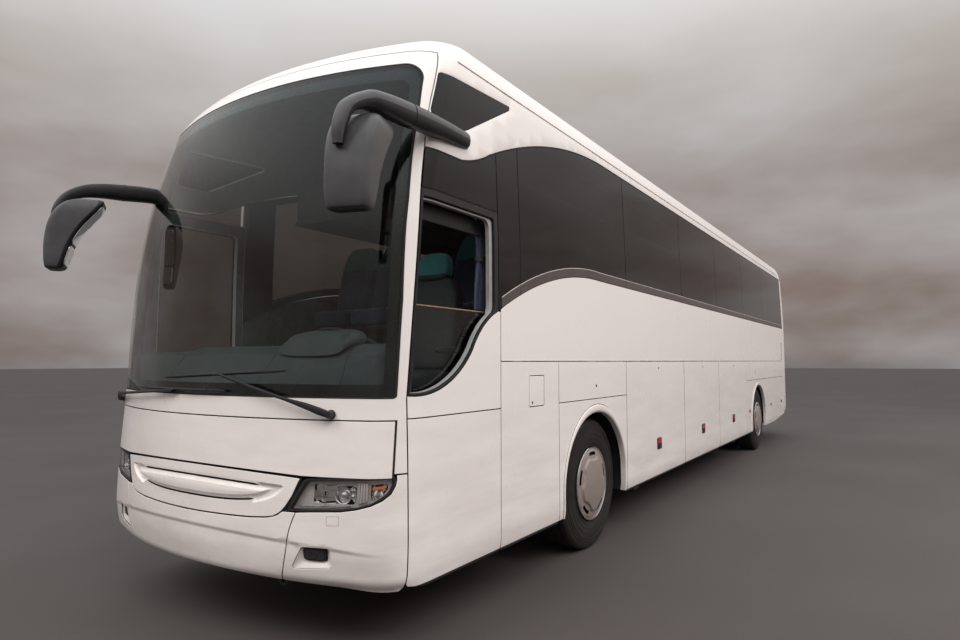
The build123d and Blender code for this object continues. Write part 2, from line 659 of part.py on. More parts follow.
# Towing sockets. Columns: x, axis height, bracket y from, to, bracket bottom, top, mouth of the bore
TOWING = [
    (440.0, 295.0, -2300.0, -2240.0, 257.0, 659.5, -2440.0),
    (0.0, 400.0, 9690.0, 9750.0, 362.0, 659.5, 9920.0),
]
with BuildPart() as chassis_frame:
    for x0, x1, y0, y1, z0, z1 in FRAME_SIDE:
        for s in (1, -1):
            add(slab(s * x0, s * x1, y0, y1, z0, z1))
    for y0, y1, z0, z1 in FRAME_CROSS:
        add(slab(-399.5, 399.5, y0, y1, z0, z1))
    for x, z, y0, y1, bottom, top, mouth in TOWING:
        add(slab(x - 38, x + 38, y0, y1, bottom, top))
        middle = (y0 + y1) / 2
        add(rod((x, ay(middle), z), (x, ay(mouth), z), 38))
        add(rod((x, ay(middle), z), (x, ay(mouth + (1 if mouth > middle else -1)), z), TOW_BORE_R), mode=Mode.SUBTRACT)
save(chassis_frame.part, "chassis_frame")

with BuildPart() as passenger_floor:
    add(slab(-1212, 1212, -1110, 9620, FLOOR_Z - 60, FLOOR_Z))
    # driver's platform and the riser up to the deck
    add(slab(-330, 1212, -2300, -1110, CAB_Z - 50, CAB_Z))
    add(slab(-330, 1212, -1160, -1110, CAB_Z - 50, FLOOR_Z))
    # steps of the front door
    for x0, x1, top in ((-1205, -900, 430), (-900, -610, 690), (-610, -330, 950)):
        add(slab(x0, x1, -2300, -1110, top - 40, top))
        add(slab(x1 - 40, x1, -2300 if top < 900 else -2000, -1110, top - 40, top + 260))
    add(slab(-1205, -490, -1160, -1110, 390, FLOOR_Z))
    add(slab(-500, -330, -1160, -1110, 830, FLOOR_Z))
    # well of the middle door
    add(slab(-1218, -420, MIDDLE_DOOR[0] - 40, MIDDLE_DOOR[1] + 40, 1300, 1500), mode=Mode.SUBTRACT)
    for x0, x1, top in ((-1205, -900, 420), (-900, -660, 680), (-660, -420, 940)):
        add(slab(x0, x1, MIDDLE_DOOR[0] - 40, MIDDLE_DOOR[1] + 40, top - 40, top))
        add(slab(x1 - 40, x1, MIDDLE_DOOR[0] - 40, MIDDLE_DOOR[1] + 40, top - 40, top + 260))
    add(slab(-460, -420, MIDDLE_DOOR[0] - 40, MIDDLE_DOOR[1] + 40, 900, FLOOR_Z))
    for y in (MIDDLE_DOOR[0] - 40, MIDDLE_DOOR[1] + 20):
        add(slab(-1205, -420, y, y + 20, 400, FLOOR_Z))
save(passenger_floor.part, "passenger_floor")

with BuildPart() as luggage_bay:
    add(slab(-1205, 1205, 670, 6060, 353, 385))
    for y in (670, 2444, 4069, 6040):
        add(slab(-1205, 1205, y, y + 20, 380, 1398))
    # keep clear of the middle door's steps
    add(slab(-1300, -412, 4062, MIDDLE_DOOR[1] + 50, 300, 1500), mode=Mode.SUBTRACT)
save(luggage_bay.part, "luggage_bay")

# Wheel housings. Columns: centre behind axle, half length
with BuildPart() as wheel_housings:
    for centre, half in ((-28.0, 638.0), (WHEELBASE - 40.0, 640.0)):
        for s in (1, -1):
            add(slab(s * 490, s * 1212, centre - half, centre + half, 1120, 1132))
            add(slab(s * 490, s * 500, centre - half, centre + half, 830, 1130))
            add(slab(s * 490, s * 1212, centre - half, centre - half + 10, 400, 1130))
            add(slab(s * 490, s * 1212, centre + half - 10, centre + half, 400, 1130))
save(wheel_housings.part, "wheel_housings")

# ------------------------------------------------------------------ axles
with BuildPart() as front_axle:
    add(slab(-830, 830, -45, 45, 395, 495))
    for s in (1, -1):
        add(upright(s * KINGPIN_X, 48, 130))
        add(slab(s * 780, s * 832, -45, 45, 395, 560))
        add(slab(s * 820, s * 890, -36, 36, 454, 572))
        add(upright(s * KINGPIN_X, 21, 200), mode=Mode.SUBTRACT)
        # pads that carry the air springs, up to the rails
        add(slab(s * 400, s * 480, -60, 60, 490, 659))
save(front_axle.part, "front_axle")

with BuildPart() as rear_axle:
    with BuildSketch(Plane.YZ.offset(-1000)):
        with Locations((ay(WHEELBASE), HUB_Z)):
            Circle(68)
    extrude(amount=2000)
    with BuildSketch(Plane.YZ.offset(-170)):
        with Locations((ay(WHEELBASE), HUB_Z)):
            Circle(215)
    extrude(amount=340)
    for s in (1, -1):
        add(slab(s * 400, s * 480, WHEELBASE - 70, WHEELBASE + 70, HUB_Z, 659))
save(rear_axle.part, "rear_axle")

# ------------------------------------------------------------------ steering knuckles and wheels
for s, name in ((1, "left_knuckle"), (-1, "right_knuckle")):
    with BuildPart() as knuckle:
        # fork round the kingpin eye, pin, back plate and stub axle
        for z0, z1 in ((HUB_Z - 105, HUB_Z - 71), (HUB_Z + 71, HUB_Z + 105)):
            add(slab(s * 864, s * 965, -42, 42, z0, z1))
        add(upright(s * KINGPIN_X, 19, 190))
        add(slab(s * 955, s * 975, -60, 60, HUB_Z - 105, HUB_Z + 105))
        add(rod((s * 958, ay(0), HUB_Z), (s * 972, ay(0), HUB_Z), 165))
        add(rod((s * 970, ay(0), HUB_Z), (s * (FRONT_WHEEL_X + 63), ay(0), HUB_Z), 44))
    save(knuckle.part, name)


def tyre_profile(x, side):
    """Section of a tyre about the wheel axis: sketch x = X, sketch y = distance from the axis."""
    w = TYRE_W / 2
    with BuildLine(Plane.XY) as outline:
        Polyline((x - w + 22, TYRE_BORE_R), (x + w - 22, TYRE_BORE_R))
        ThreePointArc((x + w - 22, TYRE_BORE_R), (x + w, TYRE_BORE_R + 100), (x + w - 14, TYRE_R - 24))
        Polyline((x + w - 14, TYRE_R - 24), (x + w - 38, TYRE_R - 2), (x + w - 50, TYRE_R), (x - w + 50, TYRE_R),
                 (x - w + 38, TYRE_R - 2), (x - w + 14, TYRE_R - 24))
        ThreePointArc((x - w + 14, TYRE_R - 24), (x - w, TYRE_BORE_R + 100), (x - w + 22, TYRE_BORE_R))
    make_face(outline.edges())


def wheel_axis(y):
    return Axis((0, ay(y), HUB_Z), (1, 0, 0))


def wheel_plane(y):
    """Sketch x = X, sketch y = +Z from the wheel axis."""
    return Plane(origin=(0, ay(y), HUB_Z), x_dir=(1, 0, 0), z_dir=(0, -1, 0))


# Wheels. Columns: name stem, side, behind axle, centre planes of the tyres
WHEELS = [
    ("front_left", 1, 0.0, (FRONT_WHEEL_X,)),
    ("front_right", -1, 0.0, (FRONT_WHEEL_X,)),
    ("rear_left", 1, WHEELBASE, (TWIN_INNER_X, TWIN_OUTER_X)),
    ("rear_right", -1, WHEELBASE, (TWIN_INNER_X, TWIN_OUTER_X)),
]
RIM_R = 286.4
for stem, s, y, planes in WHEELS:
    twin = len(planes) == 2
    with BuildPart() as tyre:
        for x in planes:
            with BuildSketch(wheel_plane(y)):
                tyre_profile(s * x, s)
            revolve(axis=wheel_axis(y))
    save(tyre.part, stem + ("_tyres" if twin else "_tyre"))

    with BuildPart() as rim:
        with BuildSketch(wheel_plane(y)):
            for x in planes:
                with Locations((s * x, (RIM_R + 268) / 2)):
                    Rectangle(262, RIM_R - 268)
            if twin:
                # discs back to back between the twins, hub round the axle end
                with Locations((s * (TWIN_INNER_X + TWIN_OUTER_X) / 2, (276 + 80) / 2)):
                    Rectangle(90, 276 - 80)
                with Locations((s * (TWIN_OUTER_X - 90), 112)):
                    Rectangle(240, 64)
                cap = TWIN_OUTER_X
            else:
                with Locations((s * (FRONT_WHEEL_X + 40), (272 + 52) / 2)):
                    Rectangle(16, 272 - 52)
                with Locations((s * (FRONT_WHEEL_X + 18), 80)):
                    Rectangle(70, 56)
                cap = FRONT_WHEEL_X
            # domed cap over the whole wheel
            with BuildLine():
                Polyline((s * (cap + 118), 262), (s * (cap + 118), 286.4), (s * (cap + 142), 286.4))
                ThreePointArc((s * (cap + 142), 286.4), (s * (cap + 172), 170), (s * (cap + 184), 0))
                Polyline((s * (cap + 184), 0), (s * (cap + 178), 0))
                ThreePointArc((s * (cap + 178), 0), (s * (cap + 166), 170), (s * (cap + 136), 262))
                Line((s * (cap + 136), 262), (s * (cap + 118), 262))
            make_face()
        revolve(axis=wheel_axis(y))
        # four slots near the edge of the cap
        with BuildSketch(Plane.YZ.offset(s * (cap + 150) - 60)):
            with Locations((ay(y), HUB_Z)):
                with PolarLocations(236, 4, start_angle=35):
                    SlotOverall(90, 30, rotation=90)
        extrude(amount=120, mode=Mode.SUBTRACT)
    save(rim.part, stem + ("_rims" if twin else "_rim"))

# ------------------------------------------------------------------ engine
with BuildPart() as engine:
    add(slab(-370, 370, 7800, 9380, 420, 1330))
save(engine.part, "engine")

# ------------------------------------------------------------------ roof unit
with BuildPart() as air_conditioning_unit:
    with BuildSketch(Plane.XY.offset(3470)):
        with Locations((0, ay(4300))):
            RectangleRounded(1620, 2700, 180)
    extrude(amount=215, taper=14)
    add(OUTER, mode=Mode.SUBTRACT)
save(air_conditioning_unit.part, "air_conditioning_unit")

# ------------------------------------------------------------------ cab
with BuildPart() as dashboard:
    with BuildSketch(Plane.YZ.offset(-1190)):
        with BuildLine():
            Polyline((ay(-2640), 1290), (ay(-2600), 1330), (ay(-2420), 1530), (ay(-2310), 1590), (ay(-2240), 1570),
                     (ay(-2225), 1480), (ay(-2235), 1380), (ay(-2270), 1180), (ay(-2350), 955), (ay(-2640), 955), close=True)
        make_face()
    extrude(amount=2380)
    add(LINING, mode=Mode.INTERSECT)
    # knee room of the driver and the doorway
    add(slab(330, 900, -2420, -2000, 900, 1330), mode=Mode.SUBTRACT)
    add(slab(-1300, -560, -2330, -2000, 900, 1700), mode=Mode.SUBTRACT)
    # steering column
    add(rod((615, ay(-2250), 1300), (615, ay(-2121), 1524), 38))
save(dashboard.part, "dashboard")

WHEEL_C = (615.0, -2100.0, 1560.0)          # steering wheel hub: x, behind axle, z
COLUMN = (0.0, 0.5, 0.8660254)                # its axis
with BuildPart() as steering_wheel:
    with BuildSketch(Plane(origin=(WHEEL_C[0], ay(WHEEL_C[1]), WHEEL_C[2]), x_dir=(1, 0, 0), z_dir=COLUMN)):
        Circle(235)
        Circle(207, mode=Mode.SUBTRACT)
    extrude(amount=13, both=True)
    with BuildSketch(Plane(origin=(WHEEL_C[0], ay(WHEEL_C[1]), WHEEL_C[2]), x_dir=(1, 0, 0), z_dir=COLUMN)):
        Circle(75)
        for angle in (0, 180, 270):
            with Locations(Rotation(0, 0, angle) * Pos(140, 0, 0)):
                Rectangle(150, 42)
    extrude(amount=9, both=True)
save(steering_wheel.part, "steering_wheel")

with BuildPart() as driver_seat:
    add(slab(520, 710, -1760, -1450, CAB_Z + 0.5, 1310))            # pedestal
    with BuildSketch(Plane.YZ.offset(365)):
        with BuildLine():
            Polyline((ay(-1810), 1300), (ay(-1380), 1300), (ay(-1250), 2050), (ay(-1360), 2070), (ay(-1460), 1420),
                     (ay(-1810), 1420), close=True)
        make_face()
    extrude(amount=500)
    with BuildSketch(Plane.YZ.offset(475)):
        with BuildLine():
            Polyline((ay(-1362), 2040), (ay(-1262), 2020), (ay(-1225), 2230), (ay(-1335), 2250), close=True)
        make_face()
    extrude(amount=280)
save(driver_seat.part, "driver_seat")

# Passenger seats: pairs of seats each side of the aisle.
FIRST_ROW, PITCH, ROWS = -560.0, 800.0, 12
with BuildPart() as passenger_seats:
    for row in range(ROWS):
        y = FIRST_ROW + row * PITCH
        for s in (1, -1):
            if s < 0 and MIDDLE_DOOR[0] - 420 < y < MIDDLE_DOOR[1] + 480:
                continue
            with BuildSketch(Plane.YZ.offset(205 if s > 0 else -1110)):
                with BuildLine():
                    Polyline((ay(y - 330), 1790), (ay(y + 60), 1790), (ay(y + 190), 2520), (ay(y + 90), 2550),
                             (ay(y - 40), 1930), (ay(y - 330), 1930), close=True)
                make_face()
                rect(y - 190, y - 60, FLOOR_Z + 0.5, 1795)
            extrude(amount=905)
save(passenger_seats.part, "passenger_seats")

with BuildPart() as luggage_racks:
    for s in (1, -1):
        add(slab(s * 700, s * 1185, -1000, 9480, 2700, 2730))           # shelf
        add(slab(s * 700, s * 722, -1000, 9480, 2730.5, 2850))          # lip along the aisle
        add(slab(s * 690, s * 1160, -1000, 9480, 3005, 3030))           # duct over the shelf
        for y in (-1000, 1000, 3000, 5000, 7000, 9455):
            add(slab(s * 722.5, s * 1160, y, y + 25, 2730.5, 3004.5))
save(luggage_racks.part, "luggage_racks")

# Curtains gathered at the pillars, and the driver's curtain tied at the rear of the window.
with BuildPart() as curtains:
    for s in (1, -1):
        for joint in PANE_JOINTS[1:] + [SIDE_END - 130]:
            add(slab(s * 1125, s * 1165, joint - 75, joint + 75, 2180, 2690))
    add(slab(1150, 1195, -1640, -1500, 1800, 2560))
save(curtains.part, "curtains")


# ------------------------------------------------------------------ mirrors
def tube(points, radius, bend):
    """Round arm along straight runs joined by tangent arcs."""
    with BuildPart() as arm:
        with BuildLine() as path:
            FilletPolyline(*points, radius=bend)
        with BuildSketch(Plane(origin=path.line @ 0, z_dir=path.line % 0)):
            Circle(radius)
        sweep()
    return arm.part


# Sections of a mirror head. Columns: height over its bottom, half width, front and back face from its centre
HEAD = [(0.0, 90.0, -56.0, 30.0), (150.0, 113.0, -72.0, 84.0), (300.0, 116.0, -52.0, 160.0), (470.0, 92.0, 50.0, 264.0)]
# Mirrors. Columns: name, arm points (x, behind axle, z), head centre (x, behind axle), its bottom, turn towards the driver
MIRRORS = [
    ("left_mirror", [(1238, -1862, 2760), (1306, -2438, 2722), (1338, -2850, 2672), (1326, -2960, 2430)],
     (1344, -2868), 2145.0, 19.0),
    ("right_mirror", [(-1150, -2268, 2684), (-1207, -2517, 2671), (-1253, -2800, 2636), (-1286, -2940, 2400)],
     (-1290, -2888), 2090.0, -32.0),
]
for name, pts, centre, bottom, turn in MIRRORS:
    arm = tube([(x, ay(y), z) for x, y, z in pts], 48, 90)
    with BuildPart() as mirror:
        add(arm)
        add(OUTER, mode=Mode.SUBTRACT)
        c, sn = math.cos(math.radians(turn)), math.sin(math.radians(turn))
        for height, half, front, back in HEAD:
            with BuildSketch(Plane(origin=(centre[0], ay(centre[1]), bottom + height), x_dir=(c, sn, 0), z_dir=(0, 0, 1))):
                with Locations((0, (front + back) / 2)):
                    RectangleRounded(2 * half, back - front, 40)
        loft(ruled=True)
    save(mirror.part, name)

# ------------------------------------------------------------------ wipers
# Columns: pivot, elbow, arm end, blade start, blade end, each as (x, z)
WIPERS = [
    ((935, 1222), (820, 1262), (240, 1418), (663, 1440), (-301, 1396)),
    ((-1150, 1240), (-1040, 1275), (-180, 1322), (-640, 1330), (279, 1330)),
]


def ahead(x, z, clear):
    """Point that far in front of the front face."""
    return (x, ay(front_y(x, z) - clear), z)


with BuildPart() as wipers:
    for pivot, elbow, tip, start, end in WIPERS:
        add(rod(ahead(*pivot, 13), ahead(*pivot, 40), 17))
        knots = [ahead(*pivot, 32), ahead(*elbow, 42)]
        for t in (0.33, 0.67, 1.0):
            knots.append(ahead(elbow[0] + (tip[0] - elbow[0]) * t, elbow[1] + (tip[1] - elbow[1]) * t, 42 - 8 * t))
        for p, q in zip(knots, knots[1:]):
            add(rod(p, q, 10))
            add(Pos(*q) * Sphere(10, mode=Mode.PRIVATE))
        blade = [ahead(start[0] + (end[0] - start[0]) * k / 5, start[1] + (end[1] - start[1]) * k / 5, 16) for k in range(6)]
        for p, q in zip(blade, blade[1:]):
            add(rod(p, q, 9))
            add(Pos(*q) * Sphere(9, mode=Mode.PRIVATE))
        middle = ((start[0] + end[0]) / 2, (start[1] + end[1]) / 2)
        add(rod(ahead(*middle, 14), ahead(*tip, 36), 8))
save(wipers.part, "wipers")
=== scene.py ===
import math

import bmesh
import bpy
import numpy as np
from mathutils import Matrix, Vector
from mathutils.geometry import delaunay_2d_cdt


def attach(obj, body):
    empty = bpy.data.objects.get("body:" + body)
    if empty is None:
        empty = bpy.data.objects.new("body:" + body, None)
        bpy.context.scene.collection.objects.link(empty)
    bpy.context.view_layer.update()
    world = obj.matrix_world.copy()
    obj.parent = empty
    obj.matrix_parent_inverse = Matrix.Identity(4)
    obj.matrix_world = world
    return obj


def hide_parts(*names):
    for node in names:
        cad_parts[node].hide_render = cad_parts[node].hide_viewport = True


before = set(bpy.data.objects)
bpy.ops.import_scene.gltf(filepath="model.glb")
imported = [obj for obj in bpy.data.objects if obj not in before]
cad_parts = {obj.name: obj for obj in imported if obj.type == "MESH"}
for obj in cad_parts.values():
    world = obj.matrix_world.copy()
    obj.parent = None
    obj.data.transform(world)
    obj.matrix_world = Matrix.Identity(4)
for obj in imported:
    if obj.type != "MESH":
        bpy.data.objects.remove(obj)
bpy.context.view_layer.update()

# Lengths below are millimetres in the part's frame; y_ax is measured behind the front axle.
AXLE_Y = -3600.0
WHEELBASE = 6910.0
HUB_Z = 513.0
WALL, GLASS, GAP = 55.0, 14.0, 6.0
h = GAP / 2
SEAM_FRONT, SIDE_END = -2364.0, 9556.0
SKIRT_Z, RAIL_Z, BELT_Z, TOP_Z = 363.0, 1488.0, 2145.0, 3158.0
ARCH_R, ARCH_RX, ARCH_FRONT, ARCH_REAR = 560.0, 605.0, (-20.0, 535.0), (WHEELBASE - 60.0, 535.0)
RNG = np.random.default_rng(7)


def ay(v):
    return AXLE_Y + v


# =============================================================== body surface
# Sections: z, half width, front face, rear face (behind the front axle)
SECTIONS = np.array([
    (335.0, 1262.0, -2695.0, 10110.0), (430.0, 1275.0, -2740.0, 10150.0), (570.0, 1275.0, -2757.0, 10170.0),
    (840.0, 1275.0, -2747.0, 10170.0), (1300.0, 1275.0, -2715.0, 10168.0), (1750.0, 1275.0, -2694.0, 10160.0),
    (2145.0, 1275.0, -2659.0, 10146.0), (2500.0, 1266.0, -2598.0, 10126.0), (2850.0, 1253.0, -2503.0, 10096.0),
    (3158.0, 1240.0, -2385.0, 10050.0), (3300.0, 1212.0, -2270.0, 9980.0), (3415.0, 1130.0, -2080.0, 9860.0),
    (3485.0, 900.0, -1760.0, 9620.0), (3530.0, 420.0, -1250.0, 9200.0)])
FRONT_R, FRONT_CORNER, REAR_R, REAR_CORNER = 3000.0, 175.0, 9000.0, 330.0

SEC_T = [SECTIONS[0, 0]]
for a_, b_ in zip(SECTIONS, SECTIONS[1:]):
    SEC_T.append(SEC_T[-1] + (b_[0] - a_[0] if b_[0] <= 3158.0 else math.hypot(b_[0] - a_[0], b_[1] - a_[1])))
SEC_T = np.array(SEC_T)
T_TOP = SEC_T[-1]


def smooth_table(xs, ys):
    """Monotone cubic through a table, as a function of x."""
    xs, ys = np.asarray(xs, float), np.asarray(ys, float)
    step, d = np.diff(xs), np.diff(ys) / np.diff(xs)
    m = np.zeros_like(ys)
    for i in range(1, len(xs) - 1):
        if d[i - 1] * d[i] > 0:
            w1, w2 = 2 * step[i] + step[i - 1], step[i] + 2 * step[i - 1]
            m[i] = (w1 + w2) / (w1 / d[i - 1] + w2 / d[i])
    m[0], m[-1] = d[0], d[-1]

    def f(x):
        x = np.asarray(x, float)
        i = np.clip(np.searchsorted(xs, x) - 1, 0, len(xs) - 2)
        q = (x - xs[i]) / step[i]
        return ((2 * q**3 - 3 * q**2 + 1) * ys[i] + (q**3 - 2 * q**2 + q) * step[i] * m[i]
                + (-2 * q**3 + 3 * q**2) * ys[i + 1] + (q**3 - q**2) * step[i] * m[i + 1])
    return f


Z_OF, HW_OF, FRONT_OF, REAR_OF = (smooth_table(SEC_T, SECTIONS[:, k]) for k in range(4))
_tt = np.linspace(SEC_T[0], T_TOP, 4000)
_zz = Z_OF(_tt)


def t_of_z(z):
    return np.interp(z, _zz, _tt)


def plan(t):
    """Shape of the plan curve at height parameter t."""
    hw, front, rear = HW_OF(t), FRONT_OF(t) + AXLE_Y, REAR_OF(t) + AXLE_Y
    out = {"hw": hw, "front": front, "rear": rear}
    for key, radius, corner in (("f", FRONT_R, FRONT_CORNER), ("r", REAR_R, REAR_CORNER)):
        c = np.minimum(corner, 0.6 * hw)
        x1 = hw - c
        a = np.arcsin(x1 / radius)
        r2 = c / (1 - np.sin(a))
        out[key] = (x1, a, r2, x1 - r2 * np.sin(a), radius - radius * np.cos(a) + r2 * np.cos(a))
    return out


_ref = plan(np.array(1300.0))
_L = [FRONT_R * _ref["f"][1], _ref["f"][2] * (math.pi / 2 - _ref["f"][1]),
      (_ref["rear"] - _ref["r"][4]) - (_ref["front"] + _ref["f"][4]),
      _ref["r"][2] * (math.pi / 2 - _ref["r"][1]), REAR_R * _ref["r"][1]]
S_AT = np.concatenate([[0], np.cumsum(_L)]).astype(float)       # s at u = 0..5
S_END = S_AT[-1]


def shell_raw(s, t):
    """Point of the outer skin for s along the plan (from the front apex, + on the left) and t up the side."""
    s, t = np.broadcast_arrays(np.asarray(s, float), np.asarray(t, float))
    sign = np.where(s < 0, -1.0, 1.0)
    u = np.interp(np.abs(s), S_AT, np.arange(6.0))
    p = plan(t)
    x1, a, r2, cx, cy = p["f"]
    xr, ar, r2r, cxr, cyr = p["r"]
    th = np.clip(u, 0, 1) * a
    x = FRONT_R * np.sin(th)
    y = p["front"] + FRONT_R - FRONT_R * np.cos(th)
    k = (u > 1) & (u <= 2)
    ph = a + (u - 1) * (math.pi / 2 - a)
    x = np.where(k, cx + r2 * np.sin(ph), x)
    y = np.where(k, p["front"] + cy - r2 * np.cos(ph), y)
    k = (u > 2) & (u <= 3)
    ya, yb = p["front"] + cy, p["rear"] - cyr
    x = np.where(k, p["hw"], x)
    y = np.where(k, ya + (yb - ya) * (u - 2), y)
    k = (u > 3) & (u <= 4)
    ph = math.pi / 2 - (u - 3) * (math.pi / 2 - ar)
    x = np.where(k, cxr + r2r * np.sin(ph), x)
    y = np.where(k, p["rear"] - cyr + r2r * np.cos(ph), y)
    k = u > 4
    th = (5 - u) * ar
    x = np.where(k, REAR_R * np.sin(th), x)
    y = np.where(k, p["rear"] - REAR_R + REAR_R * np.cos(th), y)
    return np.stack([x * sign, y, Z_OF(t)], -1)


def shell_normal(s, t):
    e = 1.5
    s, t = np.asarray(s, float), np.asarray(t, float)
    lo, hi = np.maximum(t - e, SEC_T[0]), np.minimum(t + e, T_TOP)
    ds = shell_raw(s + e, t) - shell_raw(s - e, t)
    dt = shell_raw(s, hi) - shell_raw(s, lo)
    n = np.cross(ds, dt)
    n /= np.maximum(np.linalg.norm(n, axis=-1, keepdims=True), 1e-9)
    return n


class Shell:
    """The body's skin as a surface: 2-D coordinates (s, t)."""

    def __init__(self, rear=False):
        self.rear = rear

    def _s(self, s):
        return np.where(s < 0, -1.0, 1.0) * (S_END - np.abs(s)) if self.rear else s

    def normal(self, p):
        if not self.rear:
            return shell_normal(p[:, 0], p[:, 1])
        # away from the rear apex the side length runs the other way, so work on the mirrored half
        s = S_END - np.abs(p[:, 0])
        n = shell_normal(np.minimum(s, S_END - 2.0), p[:, 1])
        n[:, 0] *= np.where(p[:, 0] < 0, -1.0, 1.0)
        n[np.abs(p[:, 0]) < 1.0, 0] = 0
        return n

    def at(self, p, depth):
        q = shell_raw(self._s(p[:, 0]), p[:, 1])
        return q - np.asarray(depth).reshape(-1, 1) * self.normal(p)

    def lines(self, lo, hi):
        """Grid lines: close together on the corners, wider on the long flat sides."""
        s = []
        for side in (-1, 1):
            for a, b, step in ((0, S_AT[1], 75), (S_AT[1], S_AT[2], 32), (S_AT[2], S_AT[2] + 200, 60),
                               (S_AT[2] + 200, S_AT[3] - 100, 150), (S_AT[3] - 100, S_AT[3], 60),
                               (S_AT[3], S_AT[4], 45), (S_AT[4], S_AT[5], 110)):
                v = np.linspace(a, b, max(2, int((b - a) / step) + 1))
                s.append(side * ((S_END - v) if self.rear else v))
        s = np.unique(np.round(np.concatenate(s), 3))
        t = np.unique(np.round(np.concatenate([np.arange(335, 3158, 68.0), np.linspace(3158, T_TOP, 22)]), 3))
        return s[(s > lo[0]) & (s < hi[0])], t[(t > lo[1]) & (t < hi[1])]


class Flat:
    """A plane or a plane curved by a function. origin, a, b and n are the frame; bend(p) lifts along n."""

    def __init__(self, origin, a, b, step=80.0, bend=None):
        self.o, self.a, self.b = (np.array(v, float) for v in (origin, a, b))
        self.n = np.cross(self.a, self.b)
        self.step, self.bend = step, bend

    def _lift(self, p):
        return 0.0 if self.bend is None else self.bend(p)

    def normal(self, p):
        if self.bend is None:
            return np.tile(self.n, (len(p), 1))
        e = 1.0
        da = (self.bend(p + [e, 0]) - self.bend(p - [e, 0])) / (2 * e)
        db = (self.bend(p + [0, e]) - self.bend(p - [0, e])) / (2 * e)
        n = self.n - da[:, None] * self.a - db[:, None] * self.b
        return n / np.linalg.norm(n, axis=1, keepdims=True)

    def at(self, p, depth):
        q = self.o + p[:, :1] * self.a + p[:, 1:2] * self.b + np.reshape(self._lift(p), (-1, 1)) * self.n
        return q - np.asarray(depth).reshape(-1, 1) * self.normal(p)

    def lines(self, lo, hi):
        out = []
        for k in (0, 1):
            c = np.arange(math.floor(lo[k] / self.step), math.ceil(hi[k] / self.step) + 1) * self.step
            out.append(c[(c > lo[k]) & (c < hi[k])])
        return out


FRONT, REAR = Shell(), Shell(rear=True)


# =============================================================== outlines
def dense(points, step=45.0, closed=True):
    points = [np.array(p, float) for p in points]
    out = []
    n = len(points)
    for i in range(n if closed else n - 1):
        a, b = points[i], points[(i + 1) % n]
        k = max(1, int(math.ceil(np.linalg.norm(b - a) / step)))
        out += [a + (b - a) * j / k for j in range(k)]
    if not closed:
        out.append(points[-1])
    return np.array(out)


def arc3(p0, p1, p2, n=24):
    """Points of the circle through three points, p0 and p2 included."""
    (ax, az), (bx, bz), (cx, cz) = p0, p1, p2
    d = 2 * (ax * (bz - cz) + bx * (cz - az) + cx * (az - bz))
    ux = ((ax * ax + az * az) * (bz - cz) + (bx * bx + bz * bz) * (cz - az) + (cx * cx + cz * cz) * (az - bz)) / d
    uz = ((ax * ax + az * az) * (cx - bx) + (bx * bx + bz * bz) * (ax - cx) + (cx * cx + cz * cz) * (bx - ax)) / d
    r = math.hypot(ax - ux, az - uz)
    t0, t1, t2 = (math.atan2(z - uz, x - ux) for x, z in (p0, p1, p2))
    while t1 < t0:
        t1 += 2 * math.pi
    while t2 < t0:
        t2 += 2 * math.pi
    if t1 > t2:
        t2 -= 2 * math.pi
    return [(ux + r * math.cos(t0 + (t2 - t0) * k / n), uz + r * math.sin(t0 + (t2 - t0) * k / n)) for k in range(n + 1)]


def rounded(points, r, n=5):
    """Polygon with each corner rounded; r is one radius or one for each corner."""
    points = [np.array(p, float) for p in points]
    rs = [r] * len(points) if np.isscalar(r) else list(r)
    out = []
    for i, p in enumerate(points):
        a, b = points[i - 1] - p, points[(i + 1) % len(points)] - p
        la, lb = np.linalg.norm(a), np.linalg.norm(b)
        a, b = a / la, b / lb
        half = math.acos(max(-1, min(1, float(a @ b)))) / 2
        if rs[i] <= 0 or half > math.radians(86):
            out.append(p)
            continue
        cut = min(rs[i] / math.tan(half), 0.48 * la, 0.48 * lb)
        rr = cut * math.tan(half)
        centre = p + (a + b) / np.linalg.norm(a + b) * rr / math.sin(half)
        p0, p1 = p + a * cut, p + b * cut
        t0 = math.atan2(*(p0 - centre)[::-1])
        t1 = math.atan2(*(p1 - centre)[::-1])
        dt = (t1 - t0 + math.pi) % (2 * math.pi) - math.pi
        out += [centre + rr * np.array([math.cos(t0 + dt * k / n), math.sin(t0 + dt * k / n)]) for k in range(n + 1)]
    return np.array(out)


def clip(points, axis, value, keep_above):
    """Polygon cut by an axis line."""
    out, n = [], len(points)
    side = 1 if keep_above else -1
    for i in range(n):
        a, b = np.array(points[i], float), np.array(points[(i + 1) % n], float)
        da, db = side * (a[axis] - value), side * (b[axis] - value)
        if da >= 0:
            out.append(a)
        if da * db < 0:
            out.append(a + (b - a) * da / (da - db))
    return np.array(out)


def box2(y0, y1, z0, z1):
    return [(y0, z0), (y1, z0), (y1, z1), (y0, z1)]


def from_side(points, side=1, step=45.0, rear=False):
    """Side-view outline (y behind the front axle, z) to (s, t) on the skin."""
    p = dense(points, step)
    t = t_of_z(p[:, 1])
    y = ay(p[:, 0])
    q = plan(t)
    x1, a, r2, cx, cy = q["f"]
    ya, yb = q["front"] + cy, q["rear"] - q["r"][4]
    u = 2 + (y - ya) / (yb - ya)
    ph = np.arccos(np.clip((q["front"] + cy - y) / r2, -1, 1))
    u = np.where(u < 2, 1 + (ph - a) / (math.pi / 2 - a), u)
    xr, ar, r2r, cxr, cyr = q["r"]
    phr = np.arccos(np.clip((y - yb) / r2r, -1, 1))
    u = np.where(y > yb, 3 + (math.pi / 2 - phr) / (math.pi / 2 - ar), u)
    s = np.interp(u, np.arange(6.0), S_AT)
    return np.stack([side * (S_END - s if rear else s), t], 1)


